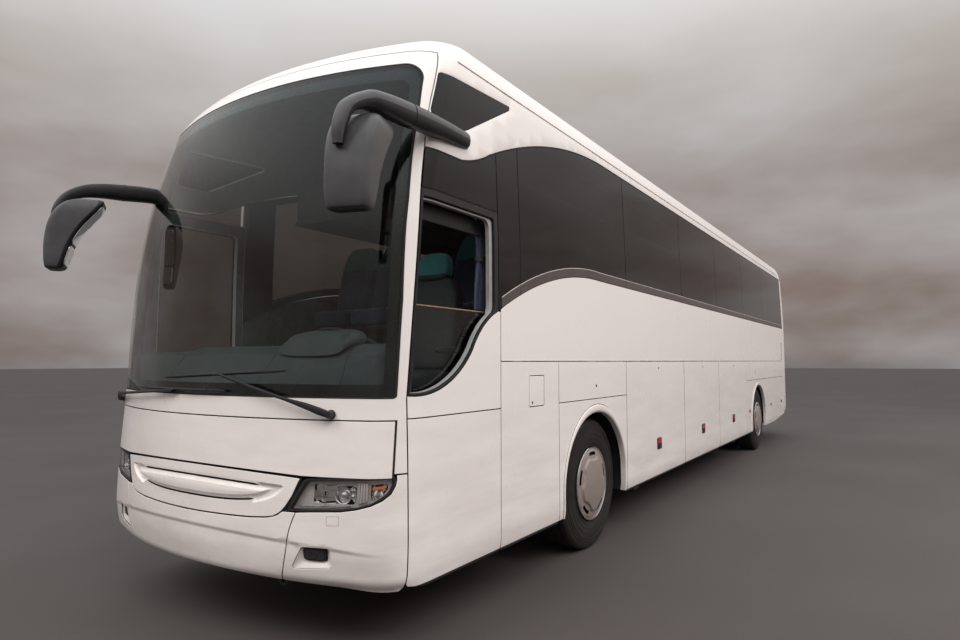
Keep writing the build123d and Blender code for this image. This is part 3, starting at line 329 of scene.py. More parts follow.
def from_front(points, step=30.0, rear=False):
    """Front-view (or rear-view) outline (x, z) to (s, t) on the skin."""
    p = dense(points, step)
    t = t_of_z(p[:, 1])
    q = plan(t)
    x1, a, r2, cx, cy = q["r" if rear else "f"]
    radius = REAR_R if rear else FRONT_R
    x = np.abs(p[:, 0])
    u = np.where(x <= x1, np.arcsin(np.clip(x / radius, -1, 1)) / a,
                 1 + (np.arcsin(np.clip((x - cx) / r2, -1, 1)) - a) / (math.pi / 2 - a))
    if rear:
        s = S_END - np.interp(5 - u, np.arange(6.0), S_AT)
    else:
        s = np.interp(u, np.arange(6.0), S_AT)
    return np.stack([np.sign(p[:, 0]) * s, t], 1)


def on_skin(x, z, depth=0.0, rear=False):
    """Point of the front (or rear) skin at x and z, and the outward normal there."""
    srf = REAR if rear else FRONT
    p = from_front([(x, z), (x + 1e-3, z), (x, z + 1e-3)], step=1e9, rear=rear)[:1]
    return srf.at(p, [depth])[0], srf.normal(p)[0]


# =============================================================== mesh building
def area2(loop):
    x, y = loop[:, 0], loop[:, 1]
    return float(np.sum(x * np.roll(y, -1) - np.roll(x, -1) * y)) / 2


def inside(points, loops):
    """Even-odd test of points against all loops together."""
    res = np.zeros(len(points), bool)
    px, py = points[:, 0], points[:, 1]
    for loop in loops:
        a, b = loop, np.roll(loop, -1, axis=0)
        for (x0, y0), (x1, y1) in zip(a, b):
            if y0 == y1:
                continue
            k = ((y0 > py) != (y1 > py)) & (px < (x1 - x0) * (py - y0) / (y1 - y0) + x0)
            res ^= k
    return res


class Acc:
    """Collects vertices and faces of one object, in millimetres."""

    def __init__(self):
        self.v, self.f, self.m, self.n, self.count = [], [], [], [], 0

    def add(self, verts, faces, mat=0, normals=None):
        """normals: None, or for each face the list of its corner normals."""
        verts = np.asarray(verts, float).reshape(-1, 3)
        base = self.count
        self.v.append(verts)
        self.count += len(verts)
        for k, f in enumerate(faces):
            self.f.append(tuple(base + int(i) for i in f))
            self.m.append(mat if isinstance(mat, int) else mat[k])
            self.n.append(None if normals is None else normals[k])
        return self

    def moved(self, matrix):
        out = Acc()
        r, t = np.array(matrix)[:3, :3], np.array(matrix)[:3, 3]
        out.v = [v @ r.T + t for v in self.v]
        out.count = self.count
        flip = np.linalg.det(r) < 0
        out.f = [tuple(reversed(f)) if flip else f for f in self.f]
        out.m = list(self.m)
        out.n = [None if n is None else [r @ np.array(c) for c in (reversed(n) if flip else n)] for n in self.n]
        return out

    def join(self, other):
        base = self.count
        self.v += other.v
        self.count += other.count
        self.f += [tuple(base + i for i in f) for f in other.f]
        self.m += other.m
        self.n += other.n
        return self


def panel(acc, srf, outer, holes=(), thick=WALL, rnd=3.0, mat=0, lift=0.0, seams=None, back=None, edge=None):
    """A closed sheet on a surface with rounded outer edges. lift is how deep its face lies, back the material of
    its inner face, edge that of its straight rim; seams(p) marks boundary points whose edges get no rim, because the
    sheet joins itself there."""
    loops = []
    for k, loop in enumerate([outer, *holes]):
        loop = np.asarray(loop, float)
        keep = np.linalg.norm(loop - np.roll(loop, 1, axis=0), axis=1) > 0.6
        loop = loop[keep]
        if (area2(loop) > 0) != (k == 0):
            loop = loop[::-1]
        loops.append(loop)
    insets, rims = [], []
    for loop in loops:
        prev, nxt = np.roll(loop, 1, axis=0), np.roll(loop, -1, axis=0)
        e1, e2 = loop - prev, nxt - loop
        e1 /= np.linalg.norm(e1, axis=1, keepdims=True)
        e2 /= np.linalg.norm(e2, axis=1, keepdims=True)
        n1, n2 = np.stack([-e1[:, 1], e1[:, 0]], 1), np.stack([-e2[:, 1], e2[:, 0]], 1)
        m = (n1 + n2) / np.maximum(1 + (n1 * n2).sum(1, keepdims=True), 0.4)
        flag = np.zeros(len(loop), bool) if seams is None else seams(loop)
        edge_seam = flag & np.roll(flag, -1)            # edge i: vertex i to i + 1
        before = np.roll(edge_seam, 1)
        m = np.where((edge_seam & before)[:, None], 0, m)
        m = np.where((edge_seam & ~before)[:, None], e2, m)
        m = np.where((~edge_seam & before)[:, None], -e1, m)
        insets.append(m)
        rims.append(~edge_seam)
    ring1 = [l + rnd * m for l, m in zip(loops, insets)]
    allp = np.concatenate(ring1)
    lo, hi = allp.min(0), allp.max(0)
    gs, gt = srf.lines(lo, hi)
    pts = np.array([(a, b) for a in gs for b in gt]) if len(gs) and len(gt) else np.zeros((0, 2))
    if len(pts):
        pts = pts[inside(pts, ring1)]
    if len(pts):
        segs_a = np.concatenate(ring1)
        segs_b = np.concatenate([np.roll(r, -1, axis=0) for r in ring1])
        d = segs_b - segs_a
        ll = np.maximum((d * d).sum(1), 1e-9)
        far = np.ones(len(pts), bool)
        for i in range(0, len(pts), 400):
            q = pts[i:i + 400]
            w = q[:, None, :] - segs_a[None]
            tt = np.clip((w * d[None]).sum(-1) / ll[None], 0, 1)
            dist = np.linalg.norm(w - tt[..., None] * d[None], axis=-1).min(1)
            far[i:i + 400] = dist > 14
        pts = pts[far]
    coords = np.concatenate([allp, pts])
    edges, start = [], 0
    for r in ring1:
        n = len(r)
        edges += [(start + i, start + (i + 1) % n) for i in range(n)]
        start += n
    vs, _, tris, orig, _, _ = delaunay_2d_cdt([Vector(c) for c in coords], edges, [], 0, 1e-4)
    vs = np.array([(v.x, v.y) for v in vs])
    where = {}
    for k, o in enumerate(orig):
        for i in o:
            where[i] = k
    tri = np.array([t for t in tris if len(t) == 3])
    tri = tri[inside(vs[tri].mean(1), ring1)]
    N = srf.normal(vs)
    P0 = srf.at(vs, np.full(len(vs), lift))
    P1 = srf.at(vs, np.full(len(vs), lift + thick))
    a, b, c = P0[tri[:, 0]], P0[tri[:, 1]], P0[tri[:, 2]]
    if (np.cross(b - a, c - a) * N[tri[:, 0]]).sum() < 0:
        tri = tri[:, ::-1]
    flipped = None
    acc_v, faces, normals, rim_faces = [P0, P1], [], [], []
    nv = len(vs)
    for t in tri:
        faces.append(tuple(t))
        normals.append([N[i] for i in t])
        faces.append((t[0] + nv, t[2] + nv, t[1] + nv))
        normals.append([-N[t[0]], -N[t[2]], -N[t[1]]])
    base = 2 * nv
    start = 0
    r45 = math.sqrt(0.5)
    steps = [(r45, 1 - r45), (1.0, 1.0)] if rnd > 0 else [(1.0, 0.0)]
    for loop, m, r1, rim in zip(loops, insets, ring1, rims):
        n = len(loop)
        idx = np.array([where[start + i] for i in range(n)])
        start += n
        nn = srf.normal(r1)
        e_out = srf.at(loop, np.full(n, lift)) - srf.at(loop + m * max(rnd, 1.0), np.full(n, lift))
        e_out -= (e_out * nn).sum(1, keepdims=True) * nn
        length = np.linalg.norm(e_out, axis=1, keepdims=True)
        e_out = np.where(length > 1e-6, e_out / np.maximum(length, 1e-6), 0)
        rings, ring_n = [idx], [nn]
        for sn, cs in steps:
            p = loop + m * rnd * (1 - sn)
            q = srf.at(p, np.full(n, lift + rnd * cs))
            rings.append(base + np.arange(n))
            base += n
            acc_v.append(q)
            v = math.sqrt(max(0.0, 1 - sn * sn)) * nn + sn * e_out
            v = np.where(length > 1e-6, v, nn)
            ring_n.append(v / np.maximum(np.linalg.norm(v, axis=1, keepdims=True), 1e-9))
        q = srf.at(loop, np.full(n, lift + thick))
        rings.append(base + np.arange(n))
        base += n
        acc_v.append(q)
        ring_n.append(ring_n[-1])
        rings.append(idx + nv)
        ring_n.append(None)
        # the winding that agrees with the outer face
        if flipped is None:
            i = 0
            while not rim[i] or length[i] < 1e-6:
                i += 1
            j = (i + 1) % n
            allv = np.concatenate(acc_v)
            q = [rings[0][i], rings[1][i], rings[1][j], rings[0][j]] if len(rings) > 2 else None
            pa, pb, pc = allv[rings[-3][i]], allv[rings[-2][i]], allv[rings[-2][j]]
            flipped = float(np.cross(pb - pa, pc - pa) @ e_out[i]) < 0
        for k in range(len(rings) - 1):
            ra, rb = rings[k], rings[k + 1]
            na, nb = ring_n[k], ring_n[k + 1]
            for i in range(n):
                if not rim[i]:
                    continue
                j = (i + 1) % n
                quad = [ra[i], rb[i], rb[j], ra[j]]
                if nb is None:
                    back_n = -nn[i]
                    qn = [back_n] * 4
                else:
                    qn = [na[i], nb[i], nb[j], na[j]]
                    if k == len(rings) - 3:         # the straight rim
                        qn = [na[i], na[i], na[j], na[j]]
                if flipped:
                    quad, qn = quad[::-1], qn[::-1]
                if k >= len(rings) - 3:
                    rim_faces.append(len(faces))
                faces.append(tuple(quad))
                normals.append(qn)
    mats = [mat] * len(faces)
    if back is not None:
        for k in range(1, 2 * len(tri), 2):
            mats[k] = back
    if edge is not None:
        for k in rim_faces:
            mats[k] = edge
    return acc.add(np.concatenate(acc_v), faces, mats, normals)


def bm_arrays(bm):
    bm.verts.ensure_lookup_table()
    bm.verts.index_update()
    v = np.array([x.co for x in bm.verts]).reshape(-1, 3)
    f = [tuple(x.index for x in face.verts) for face in bm.faces]
    bm.free()
    return v, f


def rbox(acc, x0, x1, y0, y1, z0, z1, r=4.0, seg=2, mat=0, matrix=None):
    """Box with rounded edges."""
    bm = bmesh.new()
    bmesh.ops.create_cube(bm, size=1.0)
    for v in bm.verts:
        v.co = Vector(((x0 + x1) / 2 + v.co.x * abs(x1 - x0), (y0 + y1) / 2 + v.co.y * abs(y1 - y0), (z0 + z1) / 2 + v.co.z * abs(z1 - z0)))
    r = min(r, abs(x1 - x0) * 0.49, abs(y1 - y0) * 0.49, abs(z1 - z0) * 0.49)
    bmesh.ops.bevel(bm, geom=bm.edges[:], offset=r, segments=seg, profile=0.5, affect="EDGES")
    v, f = bm_arrays(bm)
    if matrix is not None:
        m = np.array(matrix)
        v = v @ m[:3, :3].T + m[:3, 3]
    return acc.add(v, f, mat)


def lathe(acc, profile, centre, axis=(1, 0, 0), n=48, mat=0, closed=False):
    """Profile of (along the axis, radius) turned about an axis."""
    axis = np.array(axis, float) / np.linalg.norm(axis)
    helper = np.array([0, 0, 1.0]) if abs(axis[2]) < 0.9 else np.array([0, 1.0, 0])
    e1 = np.cross(helper, axis)
    e1 /= np.linalg.norm(e1)
    e2 = np.cross(axis, e1)
    centre = np.array(centre, float)
    ang = np.arange(n) * 2 * math.pi / n
    dirs = np.cos(ang)[:, None] * e1 + np.sin(ang)[:, None] * e2
    v, rows = [], []
    count = 0
    for a, r in profile:
        if r < 1e-6:
            v.append((centre + a * axis)[None])
            rows.append([count] * n)
            count += 1
        else:
            v.append(centre + a * axis + r * dirs)
            rows.append(list(range(count, count + n)))
            count += n
    f = []
    pairs = list(zip(rows, rows[1:])) + ([(rows[-1], rows[0])] if closed else [])
    for ra, rb in pairs:
        for i in range(n):
            j = (i + 1) % n
            q = [ra[i], ra[j], rb[j], rb[i]]
            q = [x for k, x in enumerate(q) if x not in q[:k]]
            if len(q) > 2:
                f.append(tuple(q))
    return acc.add(np.concatenate(v), f, mat)


def smooth_path(points, n=8):
    """Catmull-Rom through points."""
    p = [np.array(q, float) for q in points]
    p = [2 * p[0] - p[1]] + p + [2 * p[-1] - p[-2]]
    out = []
    for a, b, c, d in zip(p, p[1:], p[2:], p[3:]):
        for k in range(n):
            t = k / n
            out.append(0.5 * (2 * b + (c - a) * t + (2 * a - 5 * b + 4 * c - d) * t * t + (3 * b - a - 3 * c + d) * t**3))
    out.append(p[-2])
    return np.array(out)


def sweep(acc, path, section, up=(0, 0, 1), scales=None, mat=0, closed=False, cap=True):
    """Section (2-D points: across, up) carried along a path. scales: one (across, up) for each path point."""
    path = np.asarray(path, float)
    section = np.asarray(section, float)
    n, k = len(path), len(section)
    tang = np.roll(path, -1, axis=0) - np.roll(path, 1, axis=0) if closed else np.gradient(path, axis=0)
    tang /= np.linalg.norm(tang, axis=1, keepdims=True)
    up = np.array(up, float)
    ups = np.tile(up, (n, 1)) if up.ndim == 1 else up
    across = np.cross(tang, ups)
    across /= np.maximum(np.linalg.norm(across, axis=1, keepdims=True), 1e-9)
    upv = np.cross(across, tang)
    sc = np.ones((n, 2)) if scales is None else np.asarray(scales, float)
    v = np.concatenate([path[i] + section[:, :1] * sc[i, 0] * across[i] + section[:, 1:2] * sc[i, 1] * upv[i] for i in range(n)])
    f = []
    for i in range(n if closed else n - 1):
        a, b = i * k, ((i + 1) % n) * k
        for j in range(k):
            m = (j + 1) % k
            f.append((a + j, a + m, b + m, b + j))
    if not closed and cap:
        f.append(tuple(reversed(range(k))))
        f.append(tuple((n - 1) * k + j for j in range(k)))
    return acc.add(v, f, mat)


def loft(acc, rings, mat=0, cap=True, closed=True):
    rings = [np.asarray(r, float) for r in rings]
    k = len(rings[0])
    f = []
    for i in range(len(rings) - 1):
        for j in range(k if closed else k - 1):
            m = (j + 1) % k
            f.append((i * k + j, i * k + m, (i + 1) * k + m, (i + 1) * k + j))
    if cap:
        f.append(tuple(reversed(range(k))))
        f.append(tuple((len(rings) - 1) * k + j for j in range(k)))
    return acc.add(np.concatenate(rings), f, mat)


def circle2(r, n=12, ry=None, power=2.0):
    """Ellipse or superellipse section."""
    a = np.arange(n) * 2 * math.pi / n
    c, s = np.cos(a), np.sin(a)
    return np.stack([r * np.sign(c) * np.abs(c) ** (2 / power), (ry or r) * np.sign(s) * np.abs(s) ** (2 / power)], 1)


def flat_prism(acc, points, origin, a, b, depth, rnd=1.5, mat=0, step=1e4, lift=0.0):
    """Plate of an outline in the plane through origin with axes a and b; it goes back by depth."""
    return panel(acc, Flat(origin, a, b, step=step), np.array(points, float), thick=depth, rnd=rnd, mat=mat, lift=lift)


OBJECTS = {}


def make(acc, name, mats, body="root", replaces=(), angle=32.0, merge=0.0, recalc=False, bevel=0.0, smooth=True):
    verts = np.concatenate(acc.v) * 0.001
    mesh = bpy.data.meshes.new(name)
    custom = any(n is not None for n in acc.n)
    if merge or recalc or bevel:
        bm = bmesh.new()
        bv = [bm.verts.new(v) for v in verts]
        seen = {}
        for k, f in enumerate(acc.f):
            try:
                face = bm.faces.new([bv[i] for i in f])
            except ValueError:
                continue
            face.material_index = acc.m[k]
            face.smooth = True
        loose = [v for v in bm.verts if not v.link_faces]
        bmesh.ops.delete(bm, geom=loose, context="VERTS")
        if merge:
            bmesh.ops.remove_doubles(bm, verts=bm.verts[:], dist=merge * 0.001)
            bmesh.ops.dissolve_degenerate(bm, dist=1e-5, edges=bm.edges[:])
        if recalc:
            bmesh.ops.recalc_face_normals(bm, faces=bm.faces[:])
        if bevel:
            es = [e for e in bm.edges if len(e.link_faces) == 2 and e.calc_face_angle() > math.radians(28)]
            bmesh.ops.bevel(bm, geom=es, offset=bevel * 0.001, segments=2, profile=0.5, affect="EDGES", clamp_overlap=True)
            for face in bm.faces:
                face.smooth = True
        bm.to_mesh(mesh)
        bm.free()
        custom = False
    else:
        mesh.from_pydata([tuple(v) for v in verts], [], acc.f)
        mesh.polygons.foreach_set("material_index", acc.m)
        mesh.polygons.foreach_set("use_smooth", [True] * len(acc.f))
    for m in mats:
        mesh.materials.append(m)
    mesh.update()
    if smooth:
        mesh.set_sharp_from_angle(angle=math.radians(angle))
    if custom:
        flat = np.zeros(len(mesh.loops) * 3, np.float32)
        mesh.corner_normals.foreach_get("vector", flat)
        flat = flat.reshape(-1, 3)
        k = 0
        for f, n in zip(acc.f, acc.n):
            if n is not None:
                flat[k:k + len(f)] = n
            k += len(f)
        mesh.normals_split_custom_set([tuple(x) for x in flat])
    obj = bpy.data.objects.new(name, mesh)
    bpy.context.scene.collection.objects.link(obj)
    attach(obj, body)
    if replaces:
        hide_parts(*([replaces] if isinstance(replaces, str) else replaces))
    OBJECTS[name] = obj
    return obj


class Pressed(Shell):
    """The skin pushed in by press(p) millimetres, with a finer grid where it is shaped."""

    def __init__(self, press, fine_s=25.0, fine_t=10.0, rear=False):
        super().__init__(rear)
        self.press, self.fine = press, (fine_s, fine_t)

    def at(self, p, depth):
        q = shell_raw(self._s(p[:, 0]), p[:, 1])
        return q - (np.asarray(depth, float).reshape(-1, 1) + self.press(p)[:, None]) * Shell.normal(self, p)

    def normal(self, p):
        e = 0.8
        a = self.at(p + [e, 0], [0.0]) - self.at(p - [e, 0], [0.0])
        b = self.at(p + [0, e], [0.0]) - self.at(p - [0, e], [0.0])
        n = np.cross(a, b)
        n /= np.maximum(np.linalg.norm(n, axis=1, keepdims=True), 1e-9)
        side = np.sign((n * Shell.normal(self, p)).sum(1, keepdims=True))
        return n * np.where(side == 0, 1, side)

    def lines(self, lo, hi):
        return [_steps(lo[k], hi[k], f) for k, f in enumerate(self.fine)]


def _steps(lo, hi, step):
    v = np.arange(math.floor(lo / step), math.ceil(hi / step) + 1) * step
    return v[(v > lo) & (v < hi)]


def S(x):
    x = np.clip(x, 0, 1)
    return x * x * (3 - 2 * x)


# =============================================================== materials
def nd(nt, kind, props=None, **ins):
    n = nt.nodes.new("ShaderNode" + kind)
    for k, v in (props or {}).items():
        setattr(n, k, v)
    for k, v in ins.items():
        sock = n.inputs[int(k[1:])] if k[0] == "i" and k[1:].isdigit() else n.inputs[k.replace("_", " ")]
        if isinstance(v, bpy.types.NodeSocket):
            nt.links.new(v, sock)
        else:
            sock.default_value = v
    return n


def rgb(c):
    return (c[0], c[1], c[2], 1.0)


def new_mat(name):
    m = bpy.data.materials.new(name)
    m.use_nodes = True
    m.node_tree.nodes.clear()
    return m, m.node_tree


def mix_color(nt, fac, a, b, mode="MIX"):
    n = nt.nodes.new("ShaderNodeMix")
    n.data_type, n.blend_type = "RGBA", mode
    for sock, v in ((n.inputs[0], fac), (n.inputs[6], a), (n.inputs[7], b)):
        if isinstance(v, bpy.types.NodeSocket):
            nt.links.new(v, sock)
        else:
            sock.default_value = v if isinstance(v, float) else rgb(v)
    return n.outputs[2]


def surface(name, color, color2, rough=(0.4, 0.55), scale=6.0, metallic=0.0, coat=0.0, bump=0.0, bump_scale=300.0,
            low_dirt_and_shade=None, stretch=(1, 1, 1), wave=None, weave=None, sheen=0.0, fleck=None, spec=0.5, span=(0.36, 0.64)):
    """Noise-mixed colour and roughness, with optional fine bump, darkening near the road (road dirt, and on the white
    paint painted shade as well), waves, weave and flecks.
    """
    m, nt = new_mat(name)
    tc = nd(nt, "TexCoord").outputs["Object"]
    mp = nd(nt, "Mapping", Vector=tc, Scale=stretch).outputs[0]
    noise = nd(nt, "TexNoise", Vector=mp, Scale=scale, Detail=4.0, Roughness=0.55).outputs[0]
    fac = nd(nt, "MapRange", Value=noise, From_Min=span[0], From_Max=span[1]).outputs[0]
    col = mix_color(nt, fac, color, color2)
    if fleck:
        vor = nd(nt, "TexVoronoi", Vector=tc, Scale=fleck[1]).outputs["Distance"]
        f = nd(nt, "MapRange", Value=vor, From_Min=0.18, From_Max=0.26, To_Min=1.0, To_Max=0.0).outputs[0]
        vcol = nd(nt, "TexVoronoi", Vector=tc, Scale=fleck[1]).outputs["Color"]
        pick = nd(nt, "SeparateColor", Color=vcol).outputs[0]
        on = nd(nt, "Math", {"operation": "GREATER_THAN"}, i0=pick, i1=0.45).outputs[0]
        f = nd(nt, "Math", {"operation": "MULTIPLY"}, i0=f, i1=on).outputs[0]
        col = mix_color(nt, f, col, fleck[0])
    if wave:
        w = nd(nt, "TexWave", {"bands_direction": wave[0]}, Vector=tc, Scale=wave[1], Distortion=wave[2], Detail=2.0).outputs[0]
        col = mix_color(nt, nd(nt, "Math", {"operation": "MULTIPLY"}, i0=w, i1=wave[4]).outputs[0], col, wave[3])
    # darkening towards the bottom: road dirt, and on the white paint also painted shade
    if low_dirt_and_shade:
        z = nd(nt, "SeparateXYZ", Vector=tc).outputs[2]
        low = nd(nt, "MapRange", Value=z, From_Min=low_dirt_and_shade[0], From_Max=low_dirt_and_shade[1], To_Min=1.0, To_Max=0.0).outputs[0]
        dirt_and_shade_noise = nd(nt, "TexNoise", Vector=nd(nt, "Mapping", Vector=tc, Scale=(1.0, 0.6, 3.5)).outputs[0], Scale=2.2,
                   Detail=6.0, Roughness=0.65).outputs[0]
        g = nd(nt, "MapRange", Value=dirt_and_shade_noise, From_Min=0.35, From_Max=0.75).outputs[0]
        f = nd(nt, "Math", {"operation": "MULTIPLY"}, i0=low, i1=g).outputs[0]
        f = nd(nt, "Math", {"operation": "MULTIPLY"}, i0=f, i1=low_dirt_and_shade[3]).outputs[0]
        col = mix_color(nt, f, col, low_dirt_and_shade[2])
    rn = nd(nt, "MapRange", Value=noise, From_Min=min(0.3, span[0]), From_Max=max(0.7, span[1]), To_Min=rough[0], To_Max=rough[1]).outputs[0]
    b = nd(nt, "BsdfPrincipled", Base_Color=col, Roughness=rn, Metallic=metallic)
    b.inputs["Specular IOR Level"].default_value = spec
    b.inputs["Coat Weight"].default_value = coat
    b.inputs["Coat Roughness"].default_value = 0.04
    b.inputs["Sheen Weight"].default_value = sheen
    if bump:
        height = nd(nt, "TexNoise", Vector=tc, Scale=bump_scale, Detail=2.0).outputs[0]
        if weave:
            wa = nd(nt, "TexWave", {"bands_direction": "Z"}, Vector=tc, Scale=weave).outputs[0]
            wb = nd(nt, "TexWave", {"bands_direction": "Y"}, Vector=tc, Scale=weave).outputs[0]
            height = nd(nt, "Math", {"operation": "MULTIPLY_ADD"}, i0=wa, i1=wb, i2=height).outputs[0]
        bn = nd(nt, "Bump", Height=height, Strength=bump, Distance=0.0006)
        nt.links.new(bn.outputs[0], b.inputs["Normal"])
    nt.links.new(b.outputs[0], nd(nt, "OutputMaterial").inputs[0])
    return m


def glazing(name, tint, tint2, ior=1.5, wobble=0.25, haze=0.03, film=0.0, film_color=(0.5, 0.5, 0.5)):
    """Sheet glass: tinted where seen through, with a mirror reflection on its outer face."""
    m, nt = new_mat(name)
    tc = nd(nt, "TexCoord").outputs["Object"]
    noise = nd(nt, "TexNoise", Vector=tc, Scale=1.3, Detail=3.0).outputs[0]
    col = mix_color(nt, noise, tint, tint2)
    bn = nd(nt, "Bump", Height=nd(nt, "TexNoise", Vector=tc, Scale=1.1, Detail=1.0).outputs[0], Strength=wobble, Distance=0.01)
    rn = nd(nt, "MapRange", Value=nd(nt, "TexNoise", Vector=tc, Scale=9.0, Detail=4.0).outputs[0], To_Min=0.0, To_Max=haze).outputs[0]
    glossy = nd(nt, "BsdfAnisotropic", Color=(1, 1, 1, 1), Roughness=rn, Normal=bn.outputs[0])
    clear = nd(nt, "BsdfTransparent", Color=col)
    body = clear.outputs[0]
    if film:
        # a thin film of dust that catches light
        dust = nd(nt, "BsdfDiffuse", Color=rgb(film_color))
        f = nd(nt, "MapRange", Value=noise, To_Min=film * 0.5, To_Max=film).outputs[0]
        mx = nd(nt, "MixShader", Fac=f)
        nt.links.new(body, mx.inputs[1])
        nt.links.new(dust.outputs[0], mx.inputs[2])
        body = mx.outputs[0]
    fr = nd(nt, "Fresnel", IOR=ior, Normal=bn.outputs[0]).outputs[0]
    front = nd(nt, "Math", {"operation": "SUBTRACT"}, i0=1.0, i1=nd(nt, "NewGeometry").outputs["Backfacing"]).outputs[0]
    fac = nd(nt, "Math", {"operation": "MULTIPLY"}, i0=fr, i1=front).outputs[0]
    mx = nd(nt, "MixShader", Fac=fac)
    nt.links.new(body, mx.inputs[1])
    nt.links.new(glossy.outputs[0], mx.inputs[2])
    nt.links.new(mx.outputs[0], nd(nt, "OutputMaterial").inputs[0])
    return m


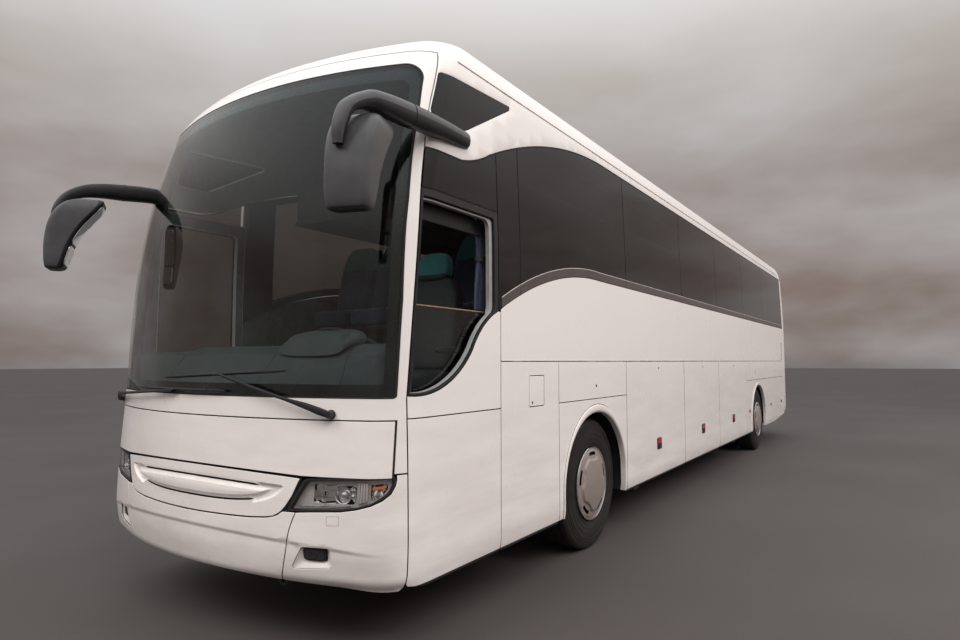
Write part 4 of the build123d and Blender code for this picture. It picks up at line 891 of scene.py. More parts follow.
M = {
    # white paint darkened towards the bottom, up to 1.7 m: partly dust, partly painted shade of the lower side
    "white": surface("paint_white", (0.795, 0.745, 0.718), (0.812, 0.762, 0.735), rough=(0.25, 0.31), scale=0.9, coat=0.45,
                     bump=0.03, bump_scale=900.0, low_dirt_and_shade=(0.25, 1.7, (0.42, 0.35, 0.32), 0.48), span=(0.1, 0.9)),
    "belt": surface("paint_belt_strip", (0.066, 0.052, 0.049), (0.080, 0.064, 0.060), rough=(0.3, 0.42), scale=5.0, coat=0.2,
                    bump=0.05),
    "black": surface("paint_black_satin", (0.011, 0.011, 0.012), (0.020, 0.019, 0.020), rough=(0.32, 0.5), scale=9.0, bump=0.1),
    # black print on the glass, and also the dark sheets of painted shade behind the small upper window and the transom
    "frit_and_shade_sheet": surface("glass_black_border_and_shade_sheet", (0.008, 0.007, 0.007), (0.013, 0.012, 0.012), rough=(0.22, 0.32), scale=9.0),
    "side_glass": glazing("glass_tinted", (0.36, 0.315, 0.295), (0.39, 0.34, 0.32), ior=1.5, wobble=0.12, film=0.010,
                          film_color=(0.42, 0.36, 0.34)),
    "screen_glass": glazing("glass_windscreen", (0.76, 0.82, 0.81), (0.78, 0.83, 0.82), ior=1.5, wobble=0.06),
    "clear": glazing("lens_clear", (0.95, 0.95, 0.95), (0.97, 0.97, 0.97), ior=1.5, wobble=0.02),
    "red": surface("lens_red", (0.42, 0.012, 0.008), (0.50, 0.02, 0.012), rough=(0.08, 0.16), scale=14.0, coat=0.8, bump=0.2,
                   bump_scale=420.0),
    "orange": surface("lens_orange", (0.62, 0.11, 0.015), (0.72, 0.16, 0.02), rough=(0.08, 0.16), scale=14.0, coat=0.8, bump=0.2,
                      bump_scale=420.0),
    "chrome": surface("chrome", (0.80, 0.79, 0.78), (0.88, 0.87, 0.86), rough=(0.04, 0.12), scale=12.0, metallic=1.0),
    "mirror": surface("mirror_silver", (0.84, 0.86, 0.87), (0.88, 0.90, 0.91), rough=(0.01, 0.03), scale=3.0, metallic=1.0),
    "rubber": surface("rubber_seal", (0.012, 0.012, 0.012), (0.022, 0.021, 0.020), rough=(0.6, 0.75), scale=30.0, bump=0.15),
    "plastic": surface("plastic_black", (0.016, 0.016, 0.017), (0.026, 0.025, 0.026), rough=(0.42, 0.56), scale=25.0, bump=0.25,
                       bump_scale=1200.0),
    "grey": surface("plastic_dark_grey", (0.052, 0.052, 0.056), (0.068, 0.067, 0.070), rough=(0.28, 0.40), scale=7.0, coat=0.15,
                    bump=0.12, bump_scale=1400.0),
    "lamp_grey": surface("lamp_inner_grey", (0.46, 0.43, 0.415), (0.55, 0.52, 0.50), rough=(0.25, 0.4), scale=18.0, metallic=0.35),
    "tyre": surface("tyre_rubber", (0.011, 0.010, 0.0095), (0.017, 0.015, 0.014), rough=(0.55, 0.72), scale=20.0, bump=0.25,
                    bump_scale=500.0, low_dirt_and_shade=(0.0, 1.1, (0.075, 0.060, 0.050), 0.35)),
    "cap": surface("wheel_cap_paint", (0.33, 0.275, 0.25), (0.37, 0.31, 0.285), rough=(0.3, 0.4), scale=5.0, metallic=0.35,
                   bump=0.06, low_dirt_and_shade=(0.1, 0.9, (0.16, 0.125, 0.105), 0.5), span=(0.2, 0.8)),
    "rim": surface("wheel_rim_steel", (0.30, 0.28, 0.265), (0.42, 0.40, 0.38), rough=(0.35, 0.5), scale=15.0, metallic=0.6,
                   low_dirt_and_shade=(0.1, 0.9, (0.16, 0.13, 0.11), 0.6)),
    "steel": surface("chassis_steel", (0.030, 0.030, 0.032), (0.055, 0.052, 0.050), rough=(0.5, 0.7), scale=7.0, metallic=0.3,
                     bump=0.3, bump_scale=160.0, low_dirt_and_shade=(0.0, 1.2, (0.15, 0.12, 0.095), 0.7)),
    "iron": surface("cast_iron", (0.045, 0.043, 0.042), (0.080, 0.074, 0.068), rough=(0.55, 0.75), scale=16.0, metallic=0.4,
                    bump=0.6, bump_scale=260.0, low_dirt_and_shade=(0.0, 1.0, (0.20, 0.14, 0.09), 0.6)),
    "liner": surface("wheel_liner", (0.006, 0.006, 0.006), (0.010, 0.0095, 0.009), rough=(0.75, 0.88), scale=9.0, bump=0.5,
                     bump_scale=140.0, low_dirt_and_shade=(0.2, 1.3, (0.04, 0.034, 0.03), 0.5)),
    "floor": surface("floor_vinyl", (0.085, 0.085, 0.09), (0.12, 0.12, 0.125), rough=(0.45, 0.6), scale=30.0, bump=0.2,
                     fleck=((0.25, 0.25, 0.26), 260.0)),
    "bay": surface("bay_lining", (0.17, 0.17, 0.175), (0.23, 0.23, 0.235), rough=(0.5, 0.65), scale=12.0, bump=0.2),
    "ceiling": surface("ceiling_cloth", (0.40, 0.38, 0.36), (0.46, 0.44, 0.42), rough=(0.8, 0.9), scale=14.0, bump=0.3, weave=260.0),
    "rack": surface("rack_trim", (0.26, 0.25, 0.245), (0.32, 0.31, 0.30), rough=(0.45, 0.6), scale=10.0, bump=0.1),
    "seat": surface("seat_moquette", (0.035, 0.045, 0.085), (0.055, 0.068, 0.115), rough=(0.85, 0.95), scale=45.0, bump=0.6,
                    weave=420.0, sheen=0.35, fleck=((0.16, 0.075, 0.055), 85.0)),
    "seat_plain": surface("seat_leather_dark", (0.022, 0.022, 0.025), (0.036, 0.035, 0.038), rough=(0.42, 0.6), scale=40.0, bump=0.5,
                          bump_scale=700.0),
    "teal": surface("headrest_cover_teal", (0.035, 0.145, 0.150), (0.050, 0.180, 0.185), rough=(0.75, 0.9), scale=30.0, bump=0.5,
                    weave=500.0, sheen=0.3),
    "curtain": surface("curtain_navy", (0.020, 0.026, 0.060), (0.034, 0.042, 0.085), rough=(0.8, 0.92), scale=24.0, bump=0.5,
                       weave=600.0, sheen=0.4),
    "dash": surface("dash_plastic", (0.050, 0.050, 0.054), (0.072, 0.071, 0.075), rough=(0.5, 0.65), scale=20.0, bump=0.4,
                    bump_scale=900.0),
    "dash_light": surface("dash_trim_grey", (0.23, 0.225, 0.22), (0.28, 0.275, 0.27), rough=(0.45, 0.6), scale=16.0, bump=0.3,
                          bump_scale=900.0),
    "gauge": surface("gauge_face", (0.010, 0.012, 0.016), (0.02, 0.03, 0.045), rough=(0.1, 0.2), scale=60.0, coat=0.6),
    "handle": surface("handle_metal", (0.33, 0.32, 0.31), (0.42, 0.41, 0.40), rough=(0.25, 0.4), scale=30.0, metallic=0.85),
    "engine": surface("engine_paint", (0.075, 0.078, 0.080), (0.12, 0.118, 0.115), rough=(0.45, 0.65), scale=18.0, metallic=0.5,
                      bump=0.4, bump_scale=180.0),
    "glass_edge": surface("glass_edge_brown", (0.27, 0.15, 0.085), (0.34, 0.19, 0.11), rough=(0.15, 0.3), scale=14.0),
    "frame_grey": surface("window_frame_grey", (0.36, 0.345, 0.34), (0.43, 0.415, 0.41), rough=(0.35, 0.5), scale=12.0, metallic=0.3),
    "line": surface("trim_bright_line", (0.52, 0.46, 0.43), (0.60, 0.54, 0.50), rough=(0.3, 0.45), scale=12.0),
}


# =============================================================== side view lines (behind axle, z)
A_LINE = [(SEAM_FRONT, 1300.0), (-2312.0, 1900.0), (-2258.0, 2400.0), (-2215.0, 2640.0), (-2166.0, 2850.0),
          (-2084.0, 3100.0), (-2030.0, 3246.0)]


def a_line(z):
    return float(np.interp(z, [p[1] for p in A_LINE], [p[0] for p in A_LINE]))


def a_points(z0, z1, off=0.0, n=30):
    """Points of the seam behind the front mask from height z0 to z1."""
    f = smooth_table([p[1] for p in A_LINE], [p[0] for p in A_LINE])
    return [((float(f(z)) if z > 1300 else SEAM_FRONT) + off, z) for z in np.linspace(z0, z1, n)]


def belt_wave(d):
    return arc3((72, 2145 + d), (-800, 2058 + d), (-1521, 1797 + d), 40)


def driver_sill(d):
    return (arc3((-1521, 1797 + d), (-1680, 1703 + d), (-1800, 1560 + d), 12)
            + arc3((-1800, 1560 + d), (-2050, 1366 + d), (SEAM_FRONT + 3, 1315 + d), 16)[1:])


def swoosh(d):
    return ([(a_line(2640) + 3, 2637 + d), (-1900, 2642 + d)]
            + arc3((-1900, 2642 + d), (-1750, 2682 + d), (-1600, 2752 + d), 8)[1:]
            + arc3((-1600, 2752 + d), (-850, 3018 + d), (250, 3158 + d), 24)[1:])


def upper_window(d, r=45.0):
    pts = [(-2070 + d, 3110 - d), (-1320 - 3.2 * d, 3152 - 1.19 * d), (-1330 - 3.2 * d, 3124 - 0.67 * d), (-1858, 2824 + 1.1 * d),
           (-2168 + d, 2820 + d)]
    return rounded(pts, [r * 0.7, 12, 10, 130, 40], 6)


PANE_JOINTS = [-1252.0, 675.0, 2420.0, 4050.0, 5750.0, 7420.0]
LUGGAGE_DOORS = [("left_luggage_door_front", 1, 645.0, 2454.0), ("left_luggage_door_middle", 1, 2454.0, 4079.0),
                 ("left_luggage_door_rear", 1, 4079.0, 5860.0), ("right_luggage_door_front", -1, 645.0, 2454.0),
                 ("right_luggage_door_rear", -1, 2454.0, 4079.0)]
MIDDLE_DOOR = (4125.0, 4960.0)
FUEL_FLAP = (-1136.0, -930.0, 1190.0, 1390.0)


def glazing_outline(d):
    pts = swoosh(-d) + [(SIDE_END - d, 3158 - d), (SIDE_END - d, 2145 + d)]
    pts += belt_wave(d)
    pts += [(-1521, 2412), (a_line(2412) + 4, 2412)]
    return pts


def arch_panel(y0, y1, z0, z1, centre, bottom=None):
    """Panel with a wheel arch cut out of its lower edge."""
    cy, cz = centre
    arc = [(cy - ARCH_RX * math.cos(t), cz + ARCH_R * math.sin(t)) for t in np.linspace(0, math.pi, 49)]
    return [(y0, z0), (cy - ARCH_RX, z0)] + arc + [(cy + ARCH_RX, z0)] + (bottom or [(y1, z0)]) + [(y1, z1), (y0, z1)]


def x_side(side, z):
    return side * float(HW_OF(t_of_z(z)))


def stud(acc, y, z, side, r, out, mat=0, square=None, depth=6.0, rnd=1.5):
    """Small round or square boss on the side skin."""
    if square:
        w, hgt, rc = square
        pts = rounded([(-w / 2, -hgt / 2), (w / 2, -hgt / 2), (w / 2, hgt / 2), (-w / 2, hgt / 2)], rc, 4)
    else:
        pts = circle2(r, 24)
    o = (x_side(side, z) + side * out, ay(y), z)
    panel(acc, Flat(o, (0, side, 0), (0, 0, 1), step=1e4), pts, thick=out + depth, rnd=rnd, mat=mat)


def side_marker(acc, y, z, side, small=False):
    """Side lamp: dark housing with a red upper lens."""
    if small:
        stud(acc, y, z, side, 30, 5, mat=1)
        stud(acc, y, z, side, 24, 11, mat=3, depth=0)
    else:
        stud(acc, y, z, side, 0, 6, mat=1, square=(132, 112, 14))
        stud(acc, y, z + 25, side, 0, 11, mat=3, square=(108, 46, 10), depth=0)
        stud(acc, y, z - 26, side, 0, 8, mat=1, square=(106, 42, 8), depth=0)


def flare(acc, side, centre, mat=0, line=1):
    """Raised lip round a wheel arch, with a thin dark joint outside it."""
    cy, cz = centre
    sec = [(-0.22, -3), (-0.21, 2), (-0.05, 8), (0.15, 10.6), (0.80, 10.2), (0.94, 8), (1.0, 3), (1.02, -3)]
    out = [(1.03, -3), (1.03, 1.4), (1.10, 1.4), (1.12, -3)]
    inner = [(-0.27, -38), (-0.26, -0.5), (-0.10, -0.5), (-0.10, -38)]
    legs = np.linspace(SKIRT_Z + 2, cz, 8)[:-1]
    for shape, m in ((sec, mat), (out, line), (inner, mat)):
        rings = []
        for t in [("a", z) for z in legs] + [("c", math.pi * k / 64) for k in range(65)] + [("b", z) for z in legs[::-1]]:
            ring = []
            for f, o in shape:
                rx, rz = ARCH_RX + 14 * f, ARCH_R + 48 * f
                if t[0] == "c":
                    y, z = cy - rx * math.cos(t[1]), cz + rz * math.sin(t[1])
                else:
                    y, z = cy + (rx if t[0] == "b" else -rx), t[1]
                ring.append((x_side(side, z) + side * o, ay(y), z))
            rings.append(ring)
        loft(acc, rings, m)


# =============================================================== side walls
WALL_MATS = [M["white"], M["plastic"], M["orange"], M["red"], M["bay"]]
for side, name in ((1, "left"), (-1, "right")):
    acc = Acc()
    wave = clip(dense(belt_wave(-2), 40, closed=False), 0, -1493.0, True)
    wave = wave[(wave[:, 0] >= -1493.001)]
    wave = wave[np.argsort(-wave[:, 0])]
    belt = [(-1493, RAIL_Z + h), (SIDE_END - h, RAIL_Z + h), (SIDE_END - h, 2143)] + [tuple(p) for p in wave]
    pieces = [belt]
    if side < 0:
        pieces = [clip(belt, 0, MIDDLE_DOOR[0] - GAP, False), clip(belt, 0, MIDDLE_DOOR[1] + GAP, True)]
    pieces.append(box2(-1493, -703, SKIRT_Z, RAIL_Z - h))
    pieces.append(arch_panel(-697, 642, SKIRT_Z, 1187, ARCH_FRONT))
    pieces.append(box2(-697, 642, 1193, RAIL_Z - h))
    if side > 0:
        sill = driver_sill(-4)
        pieces.append([(-1499, 1203), (-1499, 1790)] + sill + [(SEAM_FRONT + 3, 1203)])
        pieces.append([(SEAM_FRONT + 3, 388), (SEAM_FRONT + 14, 375), (SEAM_FRONT + 60, 367), (-2200, SKIRT_Z), (-1499, SKIRT_Z), (-1499, 1197),
                       (SEAM_FRONT + 3, 1197)])
    else:
        pieces.append(box2(4082, MIDDLE_DOOR[0] - GAP, SKIRT_Z, RAIL_Z - h))
        pieces.append(box2(MIDDLE_DOOR[1] + GAP, 5857, SKIRT_Z, RAIL_Z - h))
    pieces.append(arch_panel(5863, SIDE_END - h, SKIRT_Z, 1177, ARCH_REAR, [(8450, SKIRT_Z), (SIDE_END - h, 442)]))
    pieces.append(box2(5863, 7497, 1183, RAIL_Z - h))
    pieces.append(box2(7503, SIDE_END - h, 1183, RAIL_Z - h))
    for k, pts in enumerate(pieces):
        holes = []
        if side > 0 and tuple(pts[0]) == (-1493, SKIRT_Z):
            holes = [from_side(rounded(box2(FUEL_FLAP[0] - 5, FUEL_FLAP[1] + 5, FUEL_FLAP[2] - 5, FUEL_FLAP[3] + 5), 16), side)]
        # edge=1 makes each panel's straight rim black: painted shade in the joints between the panels
        panel(acc, FRONT, from_side(pts, side), holes, thick=WALL if len(pts) < 45 or pts is belt else 30, rnd=1.4, back=4, edge=1)
    for centre in (ARCH_FRONT, ARCH_REAR):
        flare(acc, side, centre)
    # small lamps, key locks and the rear corner's slats
    for y in (6070, 8000, 9180):
        side_marker(acc, y, 700, side, small=True)
    for y, z in ((-30, 1293), (6600, 1297), (8480, 1297)):
        stud(acc, y, z, side, 11, 2.5, mat=1)
        stud(acc, y, z, side, 5, 4, mat=1, depth=0, rnd=1.2)
    for k in range(9):
        z = 1530 + k * 40
        o = (x_side(side, z) + side * 0.3, ay(9372), z)
        panel(acc, Flat(o, (0, side, 0), (0, 0, 1), step=1e4), rounded([(-66, -11), (66, -11), (66, 11), (-66, 11)], 10, 4),
              thick=3.0, rnd=0.3, mat=1)
        rbox(acc, *sorted((side * 1273, side * 1281)), ay(9304), ay(9440), z + 1, z + 9, r=3)
    # black strip under the fixed skirts
    if side > 0:
        panel(acc, FRONT, from_side([(SEAM_FRONT + 8, 366), (-2200, 344), (-1503, 343), (-1503, SKIRT_Z + 3), (-2200, SKIRT_Z + 3),
                                     (SEAM_FRONT + 60, 370), (SEAM_FRONT + 16, 378), (SEAM_FRONT + 8, 386)], side), thick=10, rnd=1, lift=7, mat=1)
    for y0, y1 in (((-1493, -703), (5863, 6222)) if side > 0 else ((-1493, -703), (4966, 5857), (5863, 6222))):
        rbox(acc, *sorted((side * 1236, side * 1262)), ay(y0 + 4), ay(y1 - 4), 344, 366, r=5, mat=1)
    # drip ledge along the rail
    if side > 0:
        sweep(acc, [(side * 1275, ay(y), RAIL_Z + 4.6) for y in (-1490, 0, 2450, 5000, 9550)],
              [(0, -1.6), (2.2, -1.0), (2.8, 0.6), (1.8, 1.6), (-1, 1.7)], mat=0, up=(0, 0, 1))
    make(acc, f"{name}_side_wall_panels", WALL_MATS, replaces=f"{name}_side_wall")

# =============================================================== luggage doors and filler flap
for name, side, y0, y1 in LUGGAGE_DOORS:
    acc = Acc()
    # edge=1 makes the door's straight rim black: painted shade in the joints round the door
    panel(acc, FRONT, from_side(box2(y0 + h + 3, y1 - h - 3, SKIRT_Z, RAIL_Z - h - 1), side), thick=24, rnd=1.4, back=4, edge=1)
    # inner frame and stiffeners
    xi, xo = side * 1221, side * 1250
    for a, b, c, d in ((y0 + 20, y0 + 90, 376, 1460), (y1 - 90, y1 - 20, 376, 1460), (y0 + 90, y1 - 90, 376, 430),
                       (y0 + 90, y1 - 90, 1390, 1460), (y0 + 90, y1 - 90, 880, 930)):
        rbox(acc, *sorted((xi, xo)), ay(a), ay(b), c, d, r=6, mat=4)
    for y in (y0 + 260, y1 - 260):
        rbox(acc, *sorted((side * 1214, side * 1250)), ay(y - 25), ay(y + 25), 380, 400, r=4, mat=5)
    panel(acc, FRONT, from_side(rounded(box2(y0 + 120, y1 - 120, 450, 1370), 20), side), thick=4, rnd=1, lift=24.2, mat=4)
    # seal, grab recess edge under the skirt, lock
    rbox(acc, *sorted((side * 1236, side * 1262)), ay(y0 + 12), ay(y1 - 12), 344, 366, r=5, mat=1)
    mid = (y0 + y1) / 2
    stud(acc, mid, 1420, side, 10, 2.5, mat=1)
    stud(acc, mid, 1420, side, 5, 4, mat=1, depth=0, rnd=1.2)
    side_marker(acc, {645.0: 1533, 2454.0: 3230, 4079.0: 4902}[y0], 673, side)
    make(acc, f"{name}_panel", WALL_MATS[:5] + [M["handle"]], body=name, replaces=name)

acc = Acc()
panel(acc, FRONT, from_side(rounded(box2(*FUEL_FLAP), 12), 1, step=20), thick=18, rnd=2.5)
stud(acc, (FUEL_FLAP[0] + 40), 1215, 1, 9, 2.0, mat=1)
rbox(acc, 1247, 1257, ay(-1060), ay(-1000), 1230, 1250, r=3, mat=1)
make(acc, "fuel_flap_panel", [M["white"], M["plastic"]], body="fuel_flap", replaces="fuel_flap")
# filler neck behind the flap, fixed to the body
acc = Acc()
rbox(acc, 1196, 1200, ay(-1150), ay(-916), 1176, 1404, r=1.5, mat=0)
lathe(acc, [(0, 0), (0, 52), (14, 54), (16, 50), (17, 36), (30, 34), (33, 28), (33, 0)], (1200, ay(-1033), 1290), n=36, mat=1)
make(acc, "filler_neck", [M["bay"], M["plastic"]], angle=40)

# =============================================================== side glazing
def strip_between(lower, upper):
    return [tuple(p) for p in lower] + [tuple(p) for p in reversed(list(upper))]


for side, name in ((1, "left"), (-1, "right")):
    acc = Acc()
    full = dense(glazing_outline(3), 40)
    joints = [-1522.0] + PANE_JOINTS
    edges = [-3000.0] + joints + [12000.0]
    for a, b in zip(edges, edges[1:]):
        pane = clip(clip(full, 0, a + h, True), 0, b - h, False)
        if side < 0:
            if b <= -1494:
                pane = clip(pane, 1, 2612, True)
            elif a < -1494:
                # the pane over the front door's rear edge starts behind the door
                pane = clip(pane, 0, -1494.0, True)
        if len(pane) < 3 or abs(area2(pane)) < 2500:
            continue
        panel(acc, FRONT, from_side(pane, side), thick=GLASS, rnd=2.0, mat=0)
        # black joint between this pane and the next
    for j in joints[1:]:
        top = 3155 if j > 250 else float(np.interp(j, [p[0] for p in swoosh(0)], [p[1] for p in swoosh(0)])) - 4
        low = 2149 if j > 72 else float(np.interp(j, [p[0] for p in reversed(belt_wave(0))], [p[1] for p in reversed(belt_wave(0))])) + 5
        panel(acc, FRONT, from_side(box2(j - h, j + h, low, top), side), thick=8, rnd=0, lift=3.0, mat=1)
    panel(acc, FRONT, from_side(upper_window(5), side), thick=GLASS, rnd=2.0, mat=0)
    # black border round the small upper window
    panel(acc, FRONT, from_side(upper_window(0.6), side), [from_side(upper_window(7.5), side)], thick=9, rnd=0.8, lift=0.6, mat=1)
    panel(acc, FRONT, from_side(upper_window(6), side), [from_side(upper_window(34, 30), side)], thick=2, rnd=0, lift=GLASS + 0.6, mat=2)
    # dark sheet over the whole window behind the glass: painted shade standing in for the dark inside
    panel(acc, FRONT, from_side(upper_window(12), side), thick=2, rnd=0, lift=GLASS + 3.2, mat=2)
    # dark strip along the belt, with a fine bright line on top of it
    lo = [p for p in reversed(belt_wave(3))]
    hi = [p for p in reversed(belt_wave(66))]
    hi2 = [p for p in reversed(belt_wave(71))]
    lo, hi, hi2 = [p for p in lo if p[0] > -1519], [p for p in hi if p[0] > -1519], [p for p in hi2 if p[0] > -1519]
    end = SIDE_END - 3
    if side < 0:
        lo, hi, hi2 = ([p for p in q if p[0] > -1492] for q in (lo, hi, hi2))
    strip = lo + [(end, 2148), (end, 2211)] + hi[::-1]
    line = hi + [(end, 2211), (end, 2216)] + hi2[::-1]
    for j0, j1 in zip([-3000.0] + PANE_JOINTS, PANE_JOINTS + [12000.0]):
        for pts, lift, m in ((strip, -2.2, 3), (line, -2.6, 4)):
            part = clip(clip(pts, 0, j0 + (1.6 if j0 > -2000 else 0), True), 0, j1 - (1.6 if j1 < 11000 else 0), False)
            if len(part) > 2 and abs(area2(part)) > 100:
                panel(acc, FRONT, from_side(part, side), thick=2.1 if m == 3 else 2.5, rnd=0.6, lift=lift, mat=m)
    # black seal along the white band over the glass
    sw = swoosh(1.2) + [(SIDE_END - 3, 3159.2)]
    sw2 = swoosh(-8) + [(SIDE_END - 3, 3150)]
    if side < 0:
        sw, sw2 = ([p for p in q if p[0] > -2225] for q in (sw, sw2))
    panel(acc, FRONT, from_side(strip_between(sw2, sw), side), thick=3.0, rnd=0.8, lift=-1.2, mat=1)
    if side > 0:
        # the driver's pane, lowered on the inner face of the body side
        panel(acc, Flat((1211, ay(0), 0), (0, 1, 0), (0, 0, 1), step=200),
              rounded(box2(-2275, -1545, 1240, 1783), 25), thick=6, rnd=1.5, mat=5)
        rbox(acc, 1204, 1212, ay(-2268), ay(-1552), 1783.5, 1791, r=2, mat=6)
        # dark sheet behind the transom over the window, painted shade standing in for the dark inside, and the black
        # joint round it
        first = clip(clip(dense(glazing_outline(5), 40), 0, -1526.0, False), 1, 2416.0, True)
        panel(acc, FRONT, from_side(first, 1), thick=2, rnd=0, lift=GLASS + 1.0, mat=2)
        panel(acc, FRONT, from_side([(-1524.5, 2408), (a_line(2408) + 6, 2408), (a_line(2412) + 6, 2414.5), (-1524.5, 2414.5)], 1),
              thick=10, rnd=1, lift=1.5, mat=1)
    else:
        for pts in (box2(-2255, -1575, 640, 1312), box2(-2225, -1575, 1388, 2510),
                    box2(MIDDLE_DOOR[0] + 95, MIDDLE_DOOR[1] - 95, 1240, 2030)):
            panel(acc, FRONT, from_side(rounded(pts, 30), -1), thick=GLASS, rnd=2, lift=2, mat=0)
    make(acc, f"{name}_side_panes", [M["side_glass"], M["rubber"], M["frit_and_shade_sheet"], M["belt"], M["line"], M["screen_glass"], M["glass_edge"]],
         replaces=f"{name}_side_glass")

# driver's window frame: black outer frame, light grey inner frame
acc = Acc()


def driver_frame(front, top, back, sill):
    """Outline of the driver's window, shrunk by so much at each of its edges."""
    f = smooth_table([p[1] for p in A_LINE], [p[0] for p in A_LINE])
    base = np.array(driver_sill(1))
    tang = np.gradient(base, axis=0)
    nrm = np.stack([tang[:, 1], -tang[:, 0]], 1)
    nrm /= np.linalg.norm(nrm, axis=1, keepdims=True)
    shifted = base + nrm * sill * np.where(nrm[:, 1:2] < 0, -1, 1)
    pts = [(-1521 - back, 1798 + sill * 1.5)]
    pts += [tuple(p) for p in shifted if p[0] < -1521 - back and p[0] > SEAM_FRONT + 3 + front]
    pts += [(SEAM_FRONT + 3 + front, 1316 + sill)]
    for z in np.linspace(1400, 2340, 10):
        pts.append((float(f(z)) + 4 + front, z))
    pts += [(float(f(2406 - top)) + 4 + front, 2406 - top), (-1524 - back, 2406 - top)]
    return pts


def driver_ring(front, top, back, sill, r1, r2):
    pts = driver_frame(front, top, back, sill)
    return rounded(pts, [0] * (len(pts) - 2) + [r1, r2], 6)


outer = driver_frame(0, 0, 0, 0)
mid1 = driver_ring(14, 44, 44, 10, 10, 24)
mid2 = driver_ring(17, 47, 47, 12, 10, 28)
inner = driver_ring(20, 59, 80, 16, 12, 50)
panel(acc, FRONT, from_side(outer, 1), [from_side(mid1, 1)], thick=30, rnd=3, lift=0.5, mat=0)
panel(acc, FRONT, from_side(driver_frame(9, 38, 38, 5), 1), [from_side(mid2, 1)], thick=14, rnd=1, lift=30.8, mat=0)
panel(acc, FRONT, from_side(mid2, 1), [from_side(inner, 1)], thick=26, rnd=3, lift=16, mat=1)
# rolled sun blind under the top of the frame
panel(acc, Flat((1186, ay(0), 0), (0, 1, 0), (0, 0, 1), step=200), rounded(box2(-2205, -1600, 2262, 2350), 20), thick=10, rnd=3, mat=0)
sweep(acc, [(1184, ay(-2205), 2262), (1184, ay(-1900), 2262), (1184, ay(-1600), 2262)], circle2(9, 12), mat=0)
make(acc, "driver_window_surround", [M["black"], M["frame_grey"]], replaces="driver_window_frame")

# =============================================================== roof
acc = Acc()
tops = float(t_of_z(3161.0))


def roof_edge(side):
    """Lower edge of the roof from the front seam back to the level line."""
    pts = [(float(y), float(z)) for y, z in a_points(3249, 2640, 0, 16)]
    pts = [(y + h, z) for y, z in pts]
    return pts + swoosh(3)[1:] + [(250, 3161), (9000, 3161)]


left = from_side(dense(roof_edge(1), 60, closed=False), 1, step=1e9)
# the level line goes on round the rear to the middle
rear_run = np.stack([np.linspace(left[-1, 0] + 60, S_END, 130), np.full(130, tops)], 1)
left = np.concatenate([left, rear_run])
right = left * [-1, 1]
front_run = np.stack([np.linspace(right[0, 0], left[0, 0], 60)[1:-1], np.full(58, left[0, 1])], 1)
top_run = np.stack([np.linspace(S_END, -S_END, 520), np.full(520, T_TOP)], 1)
outline = np.concatenate([right[::-1], front_run, left, top_run])
outline = outline[np.linalg.norm(outline - np.roll(outline, 1, axis=0), axis=1) > 0.5]


def roof_seam(loop):
    return (np.abs(np.abs(loop[:, 0]) - S_END) < 0.01) | (np.abs(loop[:, 1] - T_TOP) < 0.01)


ring_acc = Acc()
panel(ring_acc, FRONT, outline, [from_side(upper_window(0), 1), from_side(upper_window(0), -1)], thick=WALL, rnd=3.0,
      seams=roof_seam, back=1)
acc.join(ring_acc)
# the crown inside the ring, with its two hatch openings
edge = shell_raw(top_run[:, 0], top_run[:, 1])[:, :2]
edge = edge[np.linalg.norm(edge - np.roll(edge, 1, axis=0), axis=1) > 0.5]
HATCHES = [("front_roof_hatch", 850.0), ("rear_roof_hatch", 7350.0)]
holes = [rounded([(-285, ay(c) - 285), (285, ay(c) - 285), (285, ay(c) + 285), (-285, ay(c) + 285)], 40, 5) for _, c in HATCHES]
crown = Acc()
panel(crown, Flat((0, 0, 3530), (1, 0, 0), (0, 1, 0), step=200), edge, holes, thick=WALL, rnd=0, back=1)
acc.join(crown)
# raised collars round the hatch openings
for _, c in HATCHES:
    for r0, r1 in ((285, 300),):
        o = rounded([(-r1, ay(c) - r1), (r1, ay(c) - r1), (r1, ay(c) + r1), (-r1, ay(c) + r1)], 48, 5)
        i = rounded([(-r0 + 1, ay(c) - r0 + 1), (r0 - 1, ay(c) - r0 + 1), (r0 - 1, ay(c) + r0 - 1), (-r0 + 1, ay(c) + r0 - 1)], 40, 5)
        panel(acc, Flat((0, 0, 3535), (1, 0, 0), (0, 1, 0), step=1e4), o, [i], thick=9, rnd=1.5, mat=2)
# rain gutter along each side
for side in (1, -1):
    path = []
    for y in list(np.linspace(-1900, 9300, 60)):
        q = from_side([(y, 3232.0), (y + 0.01, 3232.0), (y, 3232.01)], side, step=1e9)[:1]
        path.append(FRONT.at(q, [-1.0])[0])
    sweep(acc, path, circle2(5.5, 8, 4.0), mat=0)
make(acc, "roof_shell", [M["white"], M["ceiling"], M["rubber"]], replaces="roof", merge=0.4, angle=30)

for name, c in HATCHES:
    acc = Acc()
    rings = []
    for half, z, r in ((300, 3546, 55), (304, 3549, 58), (302, 3568, 58), (286, 3577, 50), (240, 3582, 44), (120, 3584, 30)):
        rings.append([(x, y + ay(c), z) for x, y in rounded([(-half, -half), (half, -half), (half, half), (-half, half)], r, 6)])
    loft(acc, rings, 0)
    for k in (-1, 1):
        rbox(acc, k * 90 - 9, k * 90 + 9, ay(c) - 200, ay(c) + 200, 3576, 3583.9, r=3, mat=0)
    rbox(acc, -150, 150, ay(c) + 60, ay(c) + 90, 3538, 3546, r=3, mat=1)
    make(acc, f"{name}_cover", [M["white"], M["plastic"]], body=name, replaces=name, angle=40)

